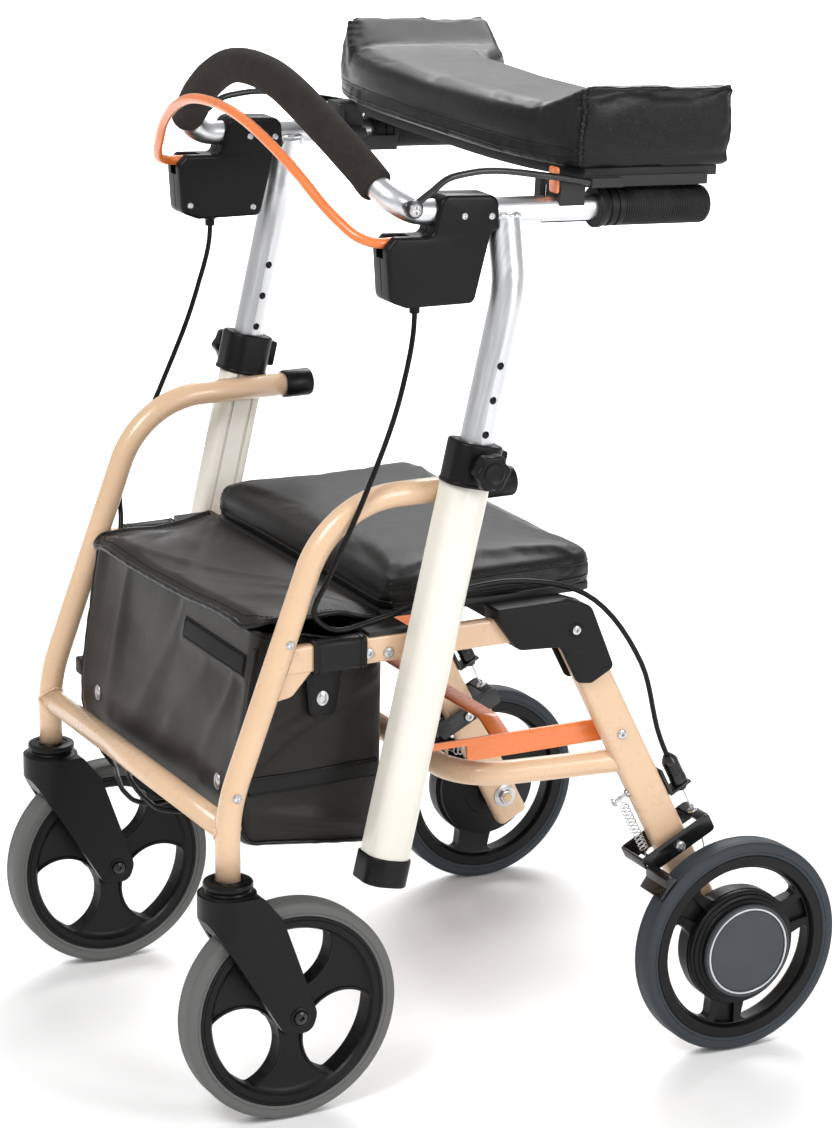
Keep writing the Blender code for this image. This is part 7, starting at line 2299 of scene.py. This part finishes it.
def makeFlap():
    columns, rows = 110, 44
    half, hinge, front, corner = flap["half"], flap["hinge"], flap["front"], flap["corner"]
    spots = []
    for j in range(rows + 1):
        y = hinge + (front - hinge) * (j / rows)
        past = max(0.0, front + corner - y)
        reach = half - corner + math.sqrt(max(0.0, corner**2 - past**2))
        for i in range(columns + 1):
            x = (2 * i / columns - 1) * reach
            spots.append((x, y, flapHeight(x, y)))
    sheet = skin("flap", spots, gridFaces(columns, rows), turnOut=False)
    if sheet.data.polygons[columns * rows // 2].normal.z < 0:
        sheet.data.flip_normals()
    applied(sheet, "SOLIDIFY", thickness=flap["wall"], offset=-1.0)
    line = smoothPath([(x, y, flapHeight(x, y) - 0.0006) for x, y in evenLine(flapOutline(), 0.012)], 4)
    hem = makeTube("flapHem", line, flap["hem"], 6, swell=lumpy((0.07, 83), (0.05, 211)))
    seam = [Vector((x, y, flapHeight(x, y))) for x, y in evenLine(flapOutline(0.0062), 0.006)]
    thread = makeStitches("flapThread", sheet, seam, 0.0046, 0.0032, 0.00036)
    fitted(smooth(sheet, 50), "bag_flap", "bag_vinyl")
    added(hem, "flapHem", "flap", "pipingVinyl", "bag_vinyl")
    added(thread, "flapThread", "flap", "blackThread", "bag_vinyl")


def evenLine(outline, pitch):
    # an open outline as points about pitch apart, its two ends kept
    points = [(*spot, 0) for spot in outline]
    return [(found[0].x, found[0].y) for found in alongLine(points, pitch)] + [outline[-1]]


strap = {
    "x": (0.1972, 0.2098),
    "y": (-0.193, -0.143),
    "z": (0.4047, 0.4293),
    "thick": 0.0021,
    "tailX": 0.18045,
    "tail": [(-0.187, 0.4045), (-0.183, 0.353), (-0.158, 0.354), (-0.15, 0.4045)],
    "tailHem": [(-0.1865, 0.403), (-0.1825, 0.3538), (-0.1585, 0.3548), (-0.1515, 0.403)],
    "hem": 0.0014,
    "rivet": (-0.1715, 0.3712),
    "bagRivets": (0.137, 0.293),
}


def strapOutline(grow):
    (inner, outer), (low, high) = strap["x"], strap["z"]
    middle = ((inner + outer) / 2, (low + high) / 2)
    return boxOutline((outer - inner) / 2 + grow, (high - low) / 2 + grow, 0.003 + grow, middle, 15)


def makeStraps():
    front, rear = strap["y"]
    thick, hem, side = strap["thick"], strap["hem"], strap["tailX"]
    inner, low = strap["x"][0], strap["z"][0]
    loop = makeSlab("loop", [strapOutline(thick), strapOutline(0.0001)], -rear, -front, crossPlane, 0.0005, 2)
    tailOutline = roundedOutline(strap["tail"], [0, 0.011, 0.011, 0], 10)
    tail = makeSlab("tail", [tailOutline], side, side + 0.002, sidePlane, 0.0005, 2)
    ends = (side, front + 0.006, low - thick), (inner + 0.002, rear - 0.006, low - 0.0003)
    bridge = makeBlock("bridge", *ends, 0.0007, 3)
    hems = []
    for y in (front + hem * 0.7, rear - hem * 0.7):
        hems.append(makeTube("hem", [(x, y, z) for x, z in strapOutline(thick * 0.62)], hem, 4, cyclic=True))
    edge = evenLine(roundedOutline(strap["tailHem"], [0, 0.01, 0.01, 0], 10), 0.004)
    hems.append(makeTube("hem", smoothPath([(side + 0.0012, y, z) for y, z in edge], 3), hem, 4))
    outer = strapOutline(thick + 0.002)[8:26]
    lines = [[(x, y, z) for x, z in outer] for y in (front + 0.0052, rear - 0.0052)]
    threads = [makeStitches("thread", loop, line, 0.0042, 0.0028, 0.00036) for line in lines]
    bothSides(joined("strapBand", loop, tail, bridge), "bag_strap", "hemVinyl")
    bothAdded(joined("strapHem", *hems), "strapHem", "base", "hemVinyl", "bag_vinyl")
    bothAdded(joined("strapThread", *threads), "strapThread", "base", "blackThread", "bag_vinyl")
    rivet = makeRivet((side + 0.002, *strap["rivet"]), (1, 0, 0), 0.0115, 0.014)
    bothAdded(rivet, "strapRivet", "base", "zinc")
    reach, z = strap["bagRivets"]
    studs = []
    for x in (-reach, reach):
        near = nearest(bpy.data.objects["bag_look"], (x, bagFront(z) - 0.006, z))[0]
        studs.append(makeRivet(near, (0, -1, 0.06), 0.0115, 0.015))
    added(joined("bagRivets", *studs), "bagRivets", "base", "zinc")


makeFlap()
makeStraps()
print("flap and straps made")


for node in nodes:
    if node not in done:
        refined(node)
print("other nodes refined")

for shape in (bolt, crossScrew):
    bpy.data.objects.remove(shape)
